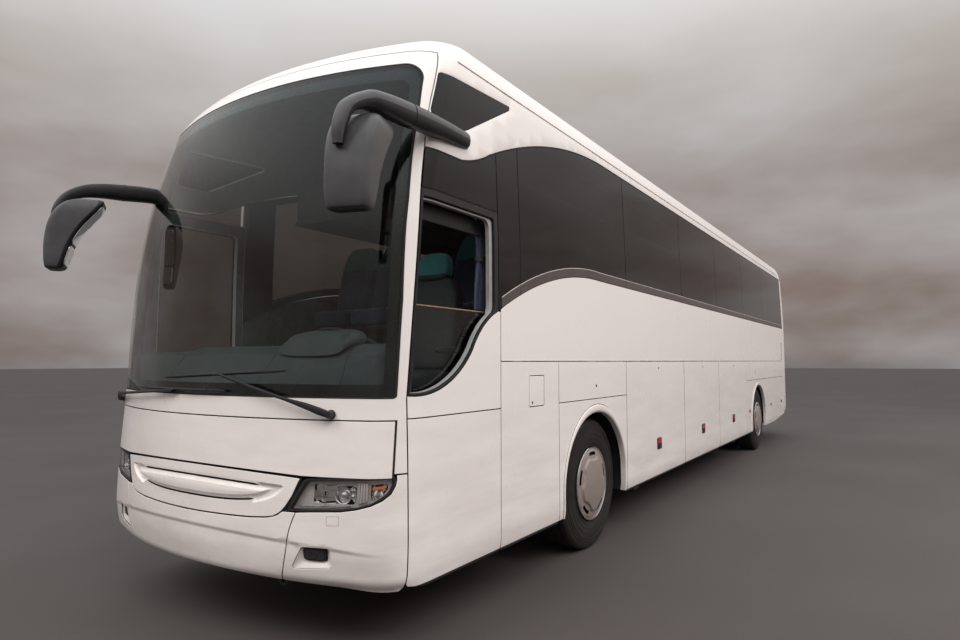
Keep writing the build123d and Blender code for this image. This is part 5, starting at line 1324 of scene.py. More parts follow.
# roof unit: a shallow fairing with grilles
acc = Acc()
rings = []
cy0 = ay(4300)
for hx, hy, z, r in ((806, 1346, 3478, 178), (797, 1337, 3520, 176), (789, 1329, 3560, 174), (780, 1320, 3600, 172), (772, 1312, 3632, 168),
                     (758, 1298, 3658, 160), (738, 1278, 3674, 150), (700, 1240, 3683, 140), (400, 940, 3685, 120)):
    rings.append([(x, y + cy0, z) for x, y in rounded([(-hx, -hy), (hx, -hy), (hx, hy), (-hx, hy)], r, 8)])
loft(acc, rings, 0)
for k in range(-1, 2):
    for r0 in (190,):
        ctr = (0, cy0 + k * 560, 3684)
        lathe(acc, [(-3, 0), (-3, r0), (3, r0 + 2), (6, r0 - 6), (6, r0 - 16), (1, r0 - 18), (1, 60), (5, 56), (7, 0)], ctr, axis=(0, 0, 1), n=48, mat=1)
        for j in range(9):
            a = j * math.pi / 9
            d = np.array([math.cos(a), math.sin(a), 0])
            p = np.array(ctr) + [0, 0, 3]
            sweep(acc, [p - d * (r0 - 14), p + d * (r0 - 14)], [(-3, 0), (3, 0), (3, 3), (-3, 3)], mat=1)
for sgn in (1, -1):
    for k in range(14):
        y = cy0 - 1040 + k * 160
        rbox(acc, *sorted((sgn * 787, sgn * 796)), y - 60, y + 60, 3528, 3536, r=3, mat=1)
        rbox(acc, *sorted((sgn * 783, sgn * 792)), y - 60, y + 60, 3552, 3560, r=3, mat=1)
make(acc, "air_conditioning_fairing", [M["white"], M["plastic"]], replaces="air_conditioning_unit", angle=40)

# =============================================================== front mask, windscreen, service flap
MASK_BOTTOM = 1196.0


def windscreen_outline(d, r=60):
    pts = [(-1223 + d, 1303 + d), (1223 - d, 1303 + d), (1230 - d, 1800), (1222 - d, 2330), (1196 - d, 2880),
           (1176 - d, 3146 - d), (-1176 + d, 3146 - d), (-1196 + d, 2880), (-1222 + d, 2330), (-1230 + d, 1800)]
    return rounded(pts, [16, 16, 400, 900, 300, 110, 110, 300, 900, 400], 8)


acc = Acc()
seam = [(y - h, z) for y, z in a_points(3243, 1300, 0, 26)] + [(SEAM_FRONT - h, 1250), (SEAM_FRONT - h, 934)]
L = from_side(dense(seam, 50, closed=False), 1, step=1e9)
foot = from_front([(1228, 934), (1228, MASK_BOTTOM)], step=1e9)
Lfoot = np.array([foot[0], foot[1]])
run = np.stack([np.linspace(foot[1, 0], -foot[1, 0], 80), np.full(80, float(t_of_z(MASK_BOTTOM)))], 1)
top_front = np.stack([np.linspace(-L[0, 0], L[0, 0], 70), np.full(70, L[0, 1])], 1)
outline = np.concatenate([top_front[:-1], L, Lfoot[:1], run, Lfoot[:1] * [-1, 1], (L * [-1, 1])[::-1][:-1]])
# edge=2 makes the mask's straight rim black rubber: painted shade in the joints round it
panel(acc, FRONT, outline, [from_front(windscreen_outline(0))], thick=WALL, rnd=2.6, back=1, edge=2)
# black rubber round the glass and in the joints of the front
panel(acc, FRONT, from_front(windscreen_outline(-1)), [from_front(windscreen_outline(7))], thick=6, rnd=1.6, lift=-1.6, mat=2)
make(acc, "front_mask_panel", [M["white"], M["bay"], M["rubber"]], replaces="front_mask")

acc = Acc()
panel(acc, FRONT, from_front(windscreen_outline(4)), thick=GLASS, rnd=2, mat=0)
# black border printed on the inside of the glass, deeper along the bottom
wb = windscreen_outline(6)
hole = np.array([(x * (1176.0 / 1217.0), z) for x, z in windscreen_outline(6)])
hole[:, 1] = np.interp(hole[:, 1], [1309, 1420, 2900, 3124], [1372, 1440, 2900, 3046])
panel(acc, FRONT, from_front(wb), [from_front(hole)], thick=1.5, rnd=0, lift=GLASS + 0.5, mat=1)
make(acc, "windscreen_pane", [M["screen_glass"], M["frit_and_shade_sheet"]], replaces="windscreen")

acc = Acc()
flap = [(-1222, 914)] + [(x, 914 + 23 * (1 - (x / 800) ** 2)) for x in np.linspace(-800, 800, 33)] + [(1222, 914), (1222, 1190), (-1222, 1190)]
# edge=2 makes the flap's straight rim black rubber: painted shade in the joints round it
panel(acc, FRONT, from_front(flap), thick=30, rnd=2.4, back=1, edge=2)
make(acc, "front_service_panel", [M["white"], M["bay"], M["rubber"]], replaces="front_service_flap")

# black weather strips in the joints round the flap, a little under the skin
acc = Acc()
for pts in ([(-1300, 1190.5), (1300, 1190.5), (1300, 1195.5), (-1300, 1195.5)],):
    panel(acc, FRONT, from_front([(-1226, 1190.5), (1226, 1190.5), (1226, 1195.5), (-1226, 1195.5)]), thick=10, rnd=0, lift=5)
for s in (1, -1):
    panel(acc, FRONT, from_front([(s * 1222.5, 908), (s * 1227.5, 908), (s * 1227.5, 1195), (s * 1222.5, 1195)]), thick=10, rnd=0, lift=5)
make(acc, "front_joint_strips", [M["rubber"]])

# =============================================================== bumper
def bumper_press(p):
    x, z = np.abs(p[:, 0]), p[:, 1]
    fade = 1 - S((x - 980) / 330)
    step = 9.0 * S((621 - 0.000043 * x * x - z) / 26) * fade
    low = 15.0 * np.clip((412 - z) / 55, 0, 1) ** 2
    return step + low


BUMPER = Pressed(bumper_press, 40.0, 7.0)


def bumper_low(x):
    """Lower edge of the bumper at x."""
    x = abs(x)
    return float(np.interp(x, [0, 350, 660, 934, 1000, 1180, 1275], [390, 384, 372, 361, 356, 346, 346]))


seam_in = [(768, 733), (755, 700), (738, 650), (724, 589), (710, 520), (688, 440), (668, 386), (664, 374.8)]
seam_out = [(x + 5, z) for x, z in seam_in]
acc = Acc()
right_half = [(500, 686.5), (600, 694.5), (642, 703), (670, 714), (692, 730), (700, 733)] + seam_in
centre = (right_half + [(x, bumper_low(x)) for x in np.linspace(650, -650, 40)]
          + [(-x, z) for x, z in reversed(right_half)] + [(x, 679.0 + 7.5 * (x / 500) ** 2) for x in np.linspace(-460, 460, 24)])
# edge=2 makes the bumper's straight rim black rubber: painted shade in the joints round it
panel(acc, BUMPER, from_front(centre), thick=WALL - 12, rnd=2.4, back=1, edge=2)
fog = rounded([(738, 449), (966, 472), (957, 570), (806, 566)], [14, 30, 16, 14], 5)
for s in (1, -1):
    lamp_edge = [(774, 733), (860, 740), (1008, 749), (1085, 762), (1150, 781), (1195, 806), (1223, 838), (1234, 875), (1237, 905), (1236.5, 927)]
    corner_f = from_front([(s * x, z) for x, z in lamp_edge], step=1e9)[:len(lamp_edge)]
    side_part = from_side(dense([(SEAM_FRONT - h, 927), (SEAM_FRONT - h, 430), (SEAM_FRONT - h, 372), (SEAM_FRONT - h - 1.5, 360),
                                 (SEAM_FRONT - h - 5, 353), (SEAM_FRONT - h - 12, 349)], 40, closed=False), s, step=1e9)
    low = from_front([(s * x, bumper_low(x)) for x in np.linspace(1226, 672, 16)], step=1e9)[:16]
    seam = from_front([(s * x, z) for x, z in reversed(seam_out)], step=1e9)[:len(seam_out)]
    outline = dense(np.concatenate([corner_f, side_part, low, seam[:-1]]), 40)
    # edge=2 makes the straight rim black rubber: painted shade in the joints round the bumper corner
    panel(acc, BUMPER, outline, [from_front([(s * x, z) for x, z in fog], step=20)], thick=WALL - 12, rnd=2.4, back=1, edge=2)
    # bevelled recess of the fog lamp
    fo = [(s * x, z) for x, z in rounded([(735, 446), (969, 469), (960, 573), (804, 569)], [15, 31, 17, 15], 5)]
    fi = [(s * x, z) for x, z in rounded([(804, 492), (934, 494), (934, 564), (804, 562)], 14, 5)]
    a = from_front(fo, step=1e9)[:len(fo)]
    b = from_front(fi, step=1e9)[:len(fi)]
    bp = bumper_press(a)
    front_ring = BUMPER.at(a, np.full(len(a), 5.0))
    mid_ring = BUMPER.at(a * 0.55 + b * 0.45, np.full(len(a), 13.0))
    back_ring = FRONT.at(b, np.full(len(b), 36.0))
    deep = FRONT.at(b, np.full(len(b), 46.0))
    outer_back = FRONT.at(a, np.full(len(a), 46.0))
    loft(acc, [front_ring, mid_ring, back_ring, deep, outer_back, front_ring], 0, cap=False)
    panel(acc, FRONT, b * [1, 1], thick=6, rnd=0, lift=40, mat=2)
    # faint outline of the washer cover under the headlight
    cov = [(s * x, z) for x, z in rounded([(939, 682), (1005, 684), (1005, 730), (939, 727)], 7, 4)]
    cin = [(s * x, z) for x, z in rounded([(941.4, 684.4), (1002.6, 686.3), (1002.6, 727.7), (941.4, 724.7)], 6, 4)]
    panel(acc, BUMPER, from_front(cov, step=1e9)[:len(cov)], [from_front(cin, step=1e9)[:len(cin)]], thick=2, rnd=0.2, lift=-0.5, mat=3)
# black strip in the joint between grille panel and bumper
for s in (1, -1):
    pts = [(s * x, z) for x, z in seam_in + seam_out[::-1]]
    panel(acc, BUMPER, from_front(pts, step=20), thick=8, rnd=0, lift=6, mat=2)
make(acc, "front_bumper_shell", [M["white"], M["bay"], M["rubber"], M["lamp_grey"]], replaces="front_bumper")


# =============================================================== grille panel
GRILLE_HALF = 700.0


def z_top(x):
    return 884.0 - 22.0 * (x / GRILLE_HALF) ** 2


def z_low(x):
    q = np.clip(np.abs(x) / GRILLE_HALF, 0, 1)
    return 862.0 - 121.0 * np.sqrt(np.maximum(0, 1 - q ** 3.6))


def grille_press(p):
    x, z = p[:, 0], p[:, 1]
    d = np.minimum(z_top(x) - z, (z - z_low(x)) * np.clip(0.25 + 0.75 * (GRILLE_HALF - np.abs(x)) / 160.0, 0.25, 1))
    d = np.where(np.abs(x) > GRILLE_HALF - 1, -1.0, d)
    return 17.0 * S(d / 11) - 15.0 * S((d - 23) / 24) - 2.5 * S((d - 38) / 30)


def grille_outline(d):
    right = [(788 - d, 904 - d), (748 - d, 812), (716 - d, 764), (692 - d, 736), (668 - d, 718 + d * 0.6), (640, 705 + d), (600, 698.5 + d),
             (500, 691 + d)]
    return right + [(x, 683.5 + 7.5 * (x / 500) ** 2 + d) for x in np.linspace(460, -460, 22)] + [(-x, z) for x, z in reversed(right)] + \
        [(x, 904 - d + 25.5 * (1 - (x / 788) ** 2)) for x in np.linspace(-740, 740, 30)]


def slot_outline(f, half, sign, w=4.6):
    xs = np.linspace(-half, half, 40)
    up = [(x, float(f(np.array(x))) + sign * 19 + w * min(1.0, (half - abs(x)) / 30 + 0.25)) for x in xs]
    dn = [(x, float(f(np.array(x))) + sign * 19 - w * min(1.0, (half - abs(x)) / 30 + 0.25)) for x in xs]
    return [tuple(p) for p in up] + [tuple(p) for p in reversed(dn)]


GRILLE = Pressed(grille_press, 14.0, 4.0)
acc = Acc()
slots = [slot_outline(z_top, 530, -1), slot_outline(z_low, 500, 1)]
# edge=1 makes the grille panel's straight rim black: painted shade in the joints round it
panel(acc, GRILLE, from_front(dense(grille_outline(3), 30)), [from_front(q, step=14) for q in slots], thick=30, rnd=2.2, back=1, edge=1)
for a, b in ((838, 885), (738, 790)):
    panel(acc, FRONT, from_front([(-550, a), (550, a), (550, b), (-550, b)]), thick=3, rnd=0, lift=50, mat=1)
# black joint under the panel
lower = [(788, 904), (748, 812), (716, 764), (692, 736), (668, 718), (640, 705), (600, 698.5), (500, 691)]
arc_low = [(x, 683.5 + 7.5 * (x / 500) ** 2) for x in np.linspace(460, -460, 22)]
edge_in = [(x - 2, z + 2) for x, z in lower] + [(x, z + 2) for x, z in arc_low] + [(-x + 2, z + 2) for x, z in reversed(lower)]
edge_out = [(x + 4, z - 4.5) for x, z in lower] + [(x, z - 4.5) for x, z in arc_low] + [(-x - 4, z - 4.5) for x, z in reversed(lower)]
panel(acc, FRONT, from_front(edge_in + edge_out[::-1], step=30), thick=14, rnd=0, lift=7, mat=1)
make(acc, "grille_shell", [M["white"], M["rubber"]], replaces="grille_panel")

# =============================================================== headlights and fog lamps
acc = Acc()


def lamp_pts(d, s):
    pts = [(808 - d, 903 + d), (1232 + d, 925 + d * 0.4), (1236 + d, 890), (1227 + d * 0.9, 848 - d * 0.4), (1200 + d * 0.8, 815 - d * 0.7),
           (1150 + d * 0.5, 785 - d * 0.9), (1085, 766 - d), (1008, 753 - d), (860, 743 - d), (714 - d, 736 - d)]
    pts = rounded(pts, [42 if d > -20 else 30, 8, 30, 60, 80, 80, 200, 300, 300, 10], 6)
    return [(s * x, z) for x, z in pts]


def lift_panel(pts, lift, thick, mat, rnd=1.0, holes=(), s=1, step=24, srf=FRONT):
    panel(acc, srf, from_front([(s * x, z) for x, z in pts], step=step), [from_front([(s * x, z) for x, z in hh], step=step) for hh in holes],
          thick=thick, rnd=rnd, lift=lift, mat=mat)


def P3(x, z, depth):
    p, n = on_skin(x, z, depth)
    return p, n


LAMP_MATS = [M["clear"], M["rubber"], M["lamp_grey"], M["chrome"], M["orange"], M["plastic"], M["mirror"]]
for s in (1, -1):
    one = [(s * x, z) for x, z in lamp_pts(-1, s)]
    # black surround: wide along the inner and upper edges
    ring_in = [(s * x, z) for x, z in lamp_pts(-1, s)]
    hole = []
    for x, z in ring_in:
        hole.append((x, z))
    cx, cz = 985.0, 835.0
    hole = rounded([(824, 889), (1226, 911), (1229, 888), (1220, 850), (1194, 819), (1146, 790), (1083, 772), (1007, 760), (862, 750), (738, 745)],
                   [34, 8, 30, 60, 80, 80, 200, 300, 300, 10], 6)
    panel(acc, FRONT, from_front(lamp_pts(-1, s), step=24), [from_front([(s * x, z) for x, z in hole], step=24)], thick=52, rnd=2.2, lift=1.0, mat=1)
    # clear cover, closely inside the surround
    cover = rounded([(826, 887), (1224, 909), (1227, 888), (1218, 852), (1192, 821), (1145, 792), (1083, 774), (1007, 762), (862, 752), (742, 747)],
                    [34, 8, 30, 60, 80, 80, 200, 300, 300, 10], 6)
    lift_panel(cover, 3.0, 3.2, 0, rnd=1.4, s=s)
    # grey inner bezel with the opening of the reflectors
    box = rounded([(853, 784), (1076, 784), (1076, 874), (853, 876)], [4, 24, 16, 6], 4)
    outerbox = rounded([(1146, 800), (1196, 826), (1216, 862), (1214, 890), (1146, 884)], [4, 24, 16, 10, 6], 4)
    lift_panel(hole, 30, 4, 2, rnd=1.0, holes=(box, outerbox), s=s)
    lift_panel(hole, 88, 4, 5, rnd=0, s=s)
    # walls of the reflector box
    for pts, m in ((box, 3), (outerbox, 3)):
        q = from_front([(s * x, z) for x, z in pts], step=1e9)[:len(pts)]
        c = q.mean(0)
        inner_q = c + (q - c) * 0.86
        rings = [FRONT.at(q, np.full(len(q), 31.0)), FRONT.at(inner_q, np.full(len(q), 80.0)), FRONT.at(inner_q, np.full(len(q), 84.0)),
                 FRONT.at(c + (q - c) * 1.04, np.full(len(q), 33.0)), FRONT.at(q, np.full(len(q), 31.0))]
        loft(acc, rings, m, cap=False)
        lift_panel([( (x - (sum(a for a, _ in pts) / len(pts))) * 0.9 + sum(a for a, _ in pts) / len(pts),
                      (z - (sum(b for _, b in pts) / len(pts))) * 0.9 + sum(b for _, b in pts) / len(pts)) for x, z in pts], 80, 4, 3, rnd=0, s=s)
    # faceted reflector of the dipped beam
    for (x0, x1, z0, z1, d0, d1) in ((862, 900, 838, 872, 40, 70), (862, 900, 796, 834, 66, 44), (904, 962, 846, 868, 36, 62),
                                     (904, 966, 812, 842, 58, 38), (904, 958, 790, 808, 40, 66)):
        q = from_front([(s * x0, z0), (s * x1, z0 + 4), (s * x1, z1 + 2), (s * x0, z1)], step=1e9)[:4]
        a = FRONT.at(q, np.array([d0, d1, d1, d0], float))
        b = FRONT.at(q, np.array([86.0] * 4))
        loft(acc, [a, b], 3)
    # projector and round reflector of the main beam
    p, n = P3(s * 1004, 826, 62)
    lathe(acc, [(0, 0), (0, 34), (6, 40), (22, 45), (26, 44), (24, 40), (8, 34), (4, 0)], p, axis=n, n=40, mat=3)
    p, n = P3(s * 1004, 826, 52)
    lathe(acc, [(0, 0), (0, 20), (8, 21), (12, 20), (12, 17), (16, 12), (18.5, 6), (19.5, 0)], p, axis=n, n=32, mat=6)
    p, n = P3(s * 1050, 834, 76)
    lathe(acc, [(0, 0), (0, 24), (10, 28), (20, 30), (22, 29), (12, 24), (5, 12), (4, 0)], p, axis=n, n=32, mat=3)
    # ribbed divider and the outer part with its coloured strip
    for k in range(4):
        x = 1090 + k * 13
        pa, na = P3(s * x, 792 + k * 3, 20)
        pb, _ = P3(s * x, 892, 20)
        sweep(acc, [pa, (pa + pb) / 2, pb], circle2(6.2, 10), up=na, mat=2)
    lift_panel(rounded([(1152, 858), (1206, 862), (1207, 874), (1152, 870)], 4, 3), 24, 14, 4, rnd=2, s=s)
    p, n = P3(s * 1180, 838, 56)
    lathe(acc, [(0, 0), (0, 12), (14, 20), (26, 24), (28, 22), (16, 16), (5, 6), (4, 0)], p, axis=n, n=28, mat=3)
    # bright lower edge of the reflector
    path = [P3(s * x, z, 12)[0] for x, z in ((760, 757), (850, 762), (950, 768), (1060, 780))]
    sweep(acc, smooth_path(path, 6), circle2(5, 8, 7), mat=3)
    # fog lamp behind a plain dark lens
    lift_panel(rounded([(808, 496), (930, 496), (930, 562), (808, 562)], 20, 6), 24, 14, 1, rnd=3, s=s, step=20)
    lift_panel(rounded([(816, 503), (922, 503), (922, 555), (816, 555)], 16, 6), 21, 3.5, 5, rnd=1.5, s=s, step=20)
    p, n = P3(s * 868, 529, 21)
    lathe(acc, [(0, 0), (0, 17), (-0.6, 18), (1.5, 19), (2.4, 17), (1.0, 12), (0.6, 0)], p, axis=n, n=28, mat=5)
make(acc, "headlight_units", LAMP_MATS, replaces="headlights", angle=35)

# =============================================================== mirrors
MIRROR_MATS = [M["grey"], M["black"], M["mirror"], M["rubber"]]


def arm_section(a, b, n=24, power=2.6):
    return circle2(a, n, b, power)


def two_tone(count, n, closed_caps=True):
    """Face materials of a sweep: upper half grey, lower half black."""
    out = []
    for _ in range(count):
        out += [0 if j < n // 2 else 1 for j in range(n)]
    return out + [0, 0]


# housing rows: height over the lower edge, half width, front and rear face
HEAD_ROWS = np.array([(0, 84, -48, 22), (10, 100, -60, 40), (75, 110, -68, 62), (150, 112, -70, 84), (230, 113, -64, 118), (300, 114, -52, 160),
                      (360, 114, -30, 205), (410, 111, 2, 243), (450, 98, 46, 262), (470, 80, 92, 256)], float)
HEAD_HALF, HEAD_FRONT, HEAD_BACK = (smooth_table(HEAD_ROWS[:, 0], HEAD_ROWS[:, k]) for k in (1, 2, 3))
HEAD_STEPS = [0, 3, 8, 16, 30, 50] + list(range(75, 441, 15)) + [450, 458, 464, 468, 470]


def head_section(hh, n=7):
    w, f0, b0 = float(HEAD_HALF(hh)), float(HEAD_FRONT(hh)), float(HEAD_BACK(hh))
    return np.array(rounded([(-w, f0), (w, f0), (w, b0), (-w, b0)], min(38.0, 0.47 * (b0 - f0)), n))


for side, name, arm_pts, sizes, collar, centre, low, turn in (
    (1, "left_mirror",
     [(1243, -1862, 2766), (1245, -1876, 2765.5), (1268, -2088, 2755), (1290, -2288, 2739), (1306, -2438, 2722), (1319, -2552, 2710),
      (1330, -2652, 2698), (1340, -2746, 2684), (1347, -2808, 2662), (1352, -2868, 2630), (1352, -2918, 2586), (1346, -2946, 2500),
      (1340, -2948, 2425)],
     [(38, 40), (50, 50), (52, 53), (55, 56), (57, 57), (57, 56), (55, 52), (52, 46), (48, 38), (44, 33), (40, 30), (34, 28), (26, 18)],
     28, (1344, -2868), 2145.0, 19.0),
    (-1, "right_mirror",
     [(-1150, -2262, 2684), (-1154, -2276, 2684), (-1184, -2394, 2682), (-1207, -2517, 2671), (-1232, -2645, 2660), (-1253, -2759, 2635),
      (-1271, -2849, 2582), (-1281, -2900, 2501), (-1286, -2922, 2412)],
     [(40, 42), (50, 52), (54, 55), (55, 55), (53, 50), (49, 42), (44, 34), (38, 28), (28, 20)],
     21, (-1290, -2888), 2090.0, -32.0)):
    acc = Acc()
    pts = smooth_path([(x, ay(y), z) for x, y, z in arm_pts], 7)
    sc = smooth_path([(a, b, 0) for a, b in sizes], 7)[:, :2] / 50.0
    # upright reference that turns with the arm, so that the finger lies flat on the head
    tang = np.gradient(pts, axis=0)
    tang /= np.linalg.norm(tang, axis=1, keepdims=True)
    ref = np.cross(np.array([1.0, 0.04 * side, 0]), tang)
    ref /= np.linalg.norm(ref, axis=1, keepdims=True)
    ref *= np.where(ref[:, 2:3] - ref[:, 1:2] * 0.8 < 0, -1, 1)
    n = 28
    tmp = Acc()
    sweep(tmp, pts, circle2(50, n, 50, 2.7), up=ref, scales=sc)
    # left arm grey above and black below, the grey top a painted highlight; the right arm is all black
    for k in range(len(tmp.f)):
        tmp.m[k] = (0 if side > 0 and k % n < n // 2 else 1) if k < (len(pts) - 1) * n else 1
    acc.join(tmp)
    # collar joint on the arm
    i = collar
    sweep(acc, [pts[i] - tang[i] * 3.5, pts[i] + tang[i] * 3.5], circle2(50 * sc[i, 0] + 1.4, n, 50 * sc[i, 1] + 1.4, 2.7), up=ref[i], mat=3)
    # leaning housing
    t = math.radians(turn)
    a, nrm = np.array([math.cos(t), math.sin(t), 0.0]), np.array([-math.sin(t), math.cos(t), 0.0])
    base = np.array([centre[0], ay(centre[1]), low])
    secs = [head_section(hh) for hh in HEAD_STEPS]
    tmp = Acc()
    loft(tmp, [base + q[:, :1] * a + q[:, 1:2] * nrm + np.array([0, 0, hh]) for q, hh in zip(secs, HEAD_STEPS)])
    nn = len(secs[0])
    for i, (q, hh) in enumerate(zip(secs[:-1], HEAD_STEPS)):
        rear_of = q[:, 1] > q[:, 1].max() - 30
        for j in range(nn):
            tmp.m[i * nn + j] = 1 if (rear_of[j] and rear_of[(j + 1) % nn]) or hh < 8 else 0
    tmp.m[(len(secs) - 1) * nn] = 1
    acc.join(tmp)
    # mirror glasses on the rear face: the main one and a wide-angle one under it
    srf = Flat(base, -a, (0, 0, 1), step=30, bend=lambda p: HEAD_BACK(np.clip(p[:, 1], 0, 470)) + 2.2 - p[:, 0] ** 2 / 5200)
    panel(acc, srf, dense(rounded([(-98, 168), (98, 168), (88, 430), (-88, 430)], 26, 6), 25), thick=6, rnd=2, mat=2)
    panel(acc, srf, dense(rounded([(-94, 26), (94, 26), (97, 152), (-97, 152)], 24, 6), 25), thick=6, rnd=2, mat=2)
    make(acc, f"{name}_assembly", MIRROR_MATS, replaces=name, angle=50)

# =============================================================== wipers
WIPERS = [((935, 1222), (820, 1262), (240, 1418), (663, 1440), (-301, 1396)),
          ((-1150, 1240), (-1040, 1275), (-180, 1322), (-640, 1330), (279, 1330))]
acc = Acc()


def off(x, z, out):
    p, n = on_skin(x, z, -out)
    return p


for pivot, elbow, tip, start, end in WIPERS:
    p, n = on_skin(*pivot, -3.5)
    lathe(acc, [(0, 0), (0, 24), (5, 25), (9, 21), (30, 18), (34, 19), (40, 16), (42, 0)], p, axis=n, n=28, mat=0)
    knots = [off(*pivot, 34), off((pivot[0] + elbow[0]) / 2, (pivot[1] + elbow[1]) / 2, 42), off(*elbow, 46)]
    for t in (0.2, 0.4, 0.6, 0.8, 1.0):
        knots.append(off(elbow[0] + (tip[0] - elbow[0]) * t, elbow[1] + (tip[1] - elbow[1]) * t, 46 - 12 * t))
    path = smooth_path(knots, 5)
    nrm = [on_skin(float(q[0]), float(q[2]), 0)[1] for q in path]
    w = np.interp(np.linspace(0, 1, len(path)), [0, 0.12, 0.3, 0.42, 1], [1.35, 1.5, 1.25, 0.72, 0.5])
    sweep(acc, path, circle2(13, 12, 9, 3.0), up=np.array(nrm), scales=np.stack([w, 0.55 + w * 0.35], 1), mat=0)
    # blade: rubber lip, spine and two spreaders
    m = 26
    line = [(start[0] + (end[0] - start[0]) * k / m, start[1] + (end[1] - start[1]) * k / m) for k in range(m + 1)]
    spine = np.array([off(x, z, 17) for x, z in line])
    lipp = np.array([off(x, z, 7.5) for x, z in line])
    nb = np.array([on_skin(x, z, 0)[1] for x, z in line])
    tap = np.interp(np.linspace(0, 1, m + 1), [0, 0.06, 0.94, 1], [0.5, 1, 1, 0.5])
    sweep(acc, spine, circle2(9, 10, 5.5, 2.6), up=nb, scales=np.stack([tap, tap], 1), mat=0)
    sweep(acc, lipp, [(-2.2, -5), (2.2, -5), (3.2, 4), (-3.2, 4)], up=nb, mat=1)
    mid = ((start[0] + end[0]) / 2, (start[1] + end[1]) / 2)
    for t0, t1 in ((0.16, 0.5), (0.5, 0.84)):
        a = (start[0] + (end[0] - start[0]) * t0, start[1] + (end[1] - start[1]) * t0)
        b = (start[0] + (end[0] - start[0]) * t1, start[1] + (end[1] - start[1]) * t1)
        sweep(acc, [off(*a, 20), off((a[0] + b[0]) / 2, (a[1] + b[1]) / 2, 29), off(*b, 24)], circle2(5.5, 8, 3.5), up=(0, -1, 0), mat=0)
    sweep(acc, [off(*mid, 22), off((mid[0] + tip[0]) / 2, (mid[1] + tip[1]) / 2, 30), off(*tip, 35)], circle2(9, 10, 6), up=(0, -1, 0.2), mat=0)
make(acc, "wiper_pair", [M["black"], M["rubber"]], replaces="wipers", angle=45)

# =============================================================== rear end (stands in for what the photo hides)
ENGINE_DOOR = (-905.0, 905.0, 800.0, 1640.0)
REAR_WINDOW = (-1010.0, 1010.0, 1790.0, 2930.0)
TAIL_LAMP = (985.0, 1135.0, 830.0, 1400.0)


def rect2(x0, x1, z0, z1, r, n=5):
    return rounded([(x0, z0), (x1, z0), (x1, z1), (x0, z1)], r, n)


def rear_outline(z0, z1, n=24):
    """Rear region between two heights, from side seam to side seam."""
    lo = from_side([(SIDE_END + h, z0), (SIDE_END + h + 0.01, z0), (SIDE_END + h, z0 + 0.01)], 1, step=1e9, rear=True)[0]
    hi = from_side([(SIDE_END + h, z1), (SIDE_END + h + 0.01, z1), (SIDE_END + h, z1 + 0.01)], 1, step=1e9, rear=True)[0]
    zs = np.linspace(z0, z1, n)
    edge = np.array([from_side([(SIDE_END + h, z), (SIDE_END + h + 0.01, z), (SIDE_END + h, z + 0.01)], 1, step=1e9, rear=True)[0] for z in zs])
    bottom = np.stack([np.linspace(-lo[0], lo[0], 90), np.full(90, lo[1])], 1)
    top = np.stack([np.linspace(hi[0], -hi[0], 90), np.full(90, hi[1])], 1)
    return np.concatenate([bottom[:-1], edge, top[1:-1], (edge * [-1, 1])[::-1][:-1]])


acc = Acc()
holes = [from_front(rect2(*ENGINE_DOOR, 40), rear=True), from_front(rect2(*REAR_WINDOW, 90), rear=True)]
for s in (1, -1):
    holes.append(from_front([(s * x, z) for x, z in rect2(*TAIL_LAMP, 24)], rear=True))
panel(acc, REAR, rear_outline(763, 3155), holes, thick=WALL, rnd=3.2, back=1)
panel(acc, REAR, from_front(rect2(-1009, 1009, 1791, 2929, 90), rear=True), [from_front(rect2(-1001, 1001, 1799, 2921, 84), rear=True)],
      thick=8, rnd=1.6, lift=-1.5, mat=2)
# high stop lamp
panel(acc, REAR, from_front(rect2(-180, 180, 3030, 3062, 10), rear=True), thick=6, rnd=2, lift=-5, mat=3)
make(acc, "rear_wall_panel", [M["white"], M["bay"], M["rubber"], M["red"]], replaces="rear_wall")

acc = Acc()
panel(acc, REAR, from_front(rect2(REAR_WINDOW[0] + 4, REAR_WINDOW[1] - 4, REAR_WINDOW[2] + 4, REAR_WINDOW[3] - 4, 88), rear=True), thick=GLASS, rnd=2, mat=0)
panel(acc, REAR, from_front(rect2(-1004, 1004, 1796, 2924, 86), rear=True), [from_front(rect2(-940, 940, 1860, 2862, 70), rear=True)],
      thick=2, rnd=0, lift=GLASS + 0.5, mat=1)
make(acc, "rear_window_pane", [M["side_glass"], M["frit_and_shade_sheet"]], replaces="rear_window")

acc = Acc()
vent = [rect2(-780, 780, 905 + k * 42, 925 + k * 42, 9, 4) for k in range(5)]
vent += [rect2(-780, -430, 1330 + k * 42, 1350 + k * 42, 9, 4) for k in range(6)] + [rect2(430, 780, 1330 + k * 42, 1350 + k * 42, 9, 4) for k in range(6)]
panel(acc, REAR, from_front(rect2(ENGINE_DOOR[0] + 6, ENGINE_DOOR[1] - 6, ENGINE_DOOR[2] + 10, ENGINE_DOOR[3] - 6, 34), rear=True),
      [from_front(v, rear=True, step=60) for v in vent], thick=24, rnd=3.2, back=1)
for z0, z1, x0, x1 in ((890, 1110, -800, 800), (1315, 1575, -800, -410), (1315, 1575, 410, 800)):
    panel(acc, REAR, from_front(rect2(x0, x1, z0, z1, 8), rear=True), thick=4, rnd=0, lift=34, mat=2)
# blank recess for the number plate, with its lamps, and the grip
panel(acc, REAR, from_front(rect2(-270, 270, 1150, 1275, 10), rear=True), thick=4, rnd=1.5, lift=-3.4, mat=3)
panel(acc, REAR, from_front(rect2(-120, 120, 1290, 1312, 8), rear=True), thick=12, rnd=3, lift=-11, mat=4)
for s in (1, -1):
    panel(acc, REAR, from_front([(s * x, z) for x, z in rect2(330, 380, 820, 850, 10)], rear=True, step=20), thick=6, rnd=2, lift=-4, mat=4)
make(acc, "engine_door_panel", [M["white"], M["bay"], M["rubber"], M["lamp_grey"], M["plastic"]], body="engine_door", replaces="engine_door")

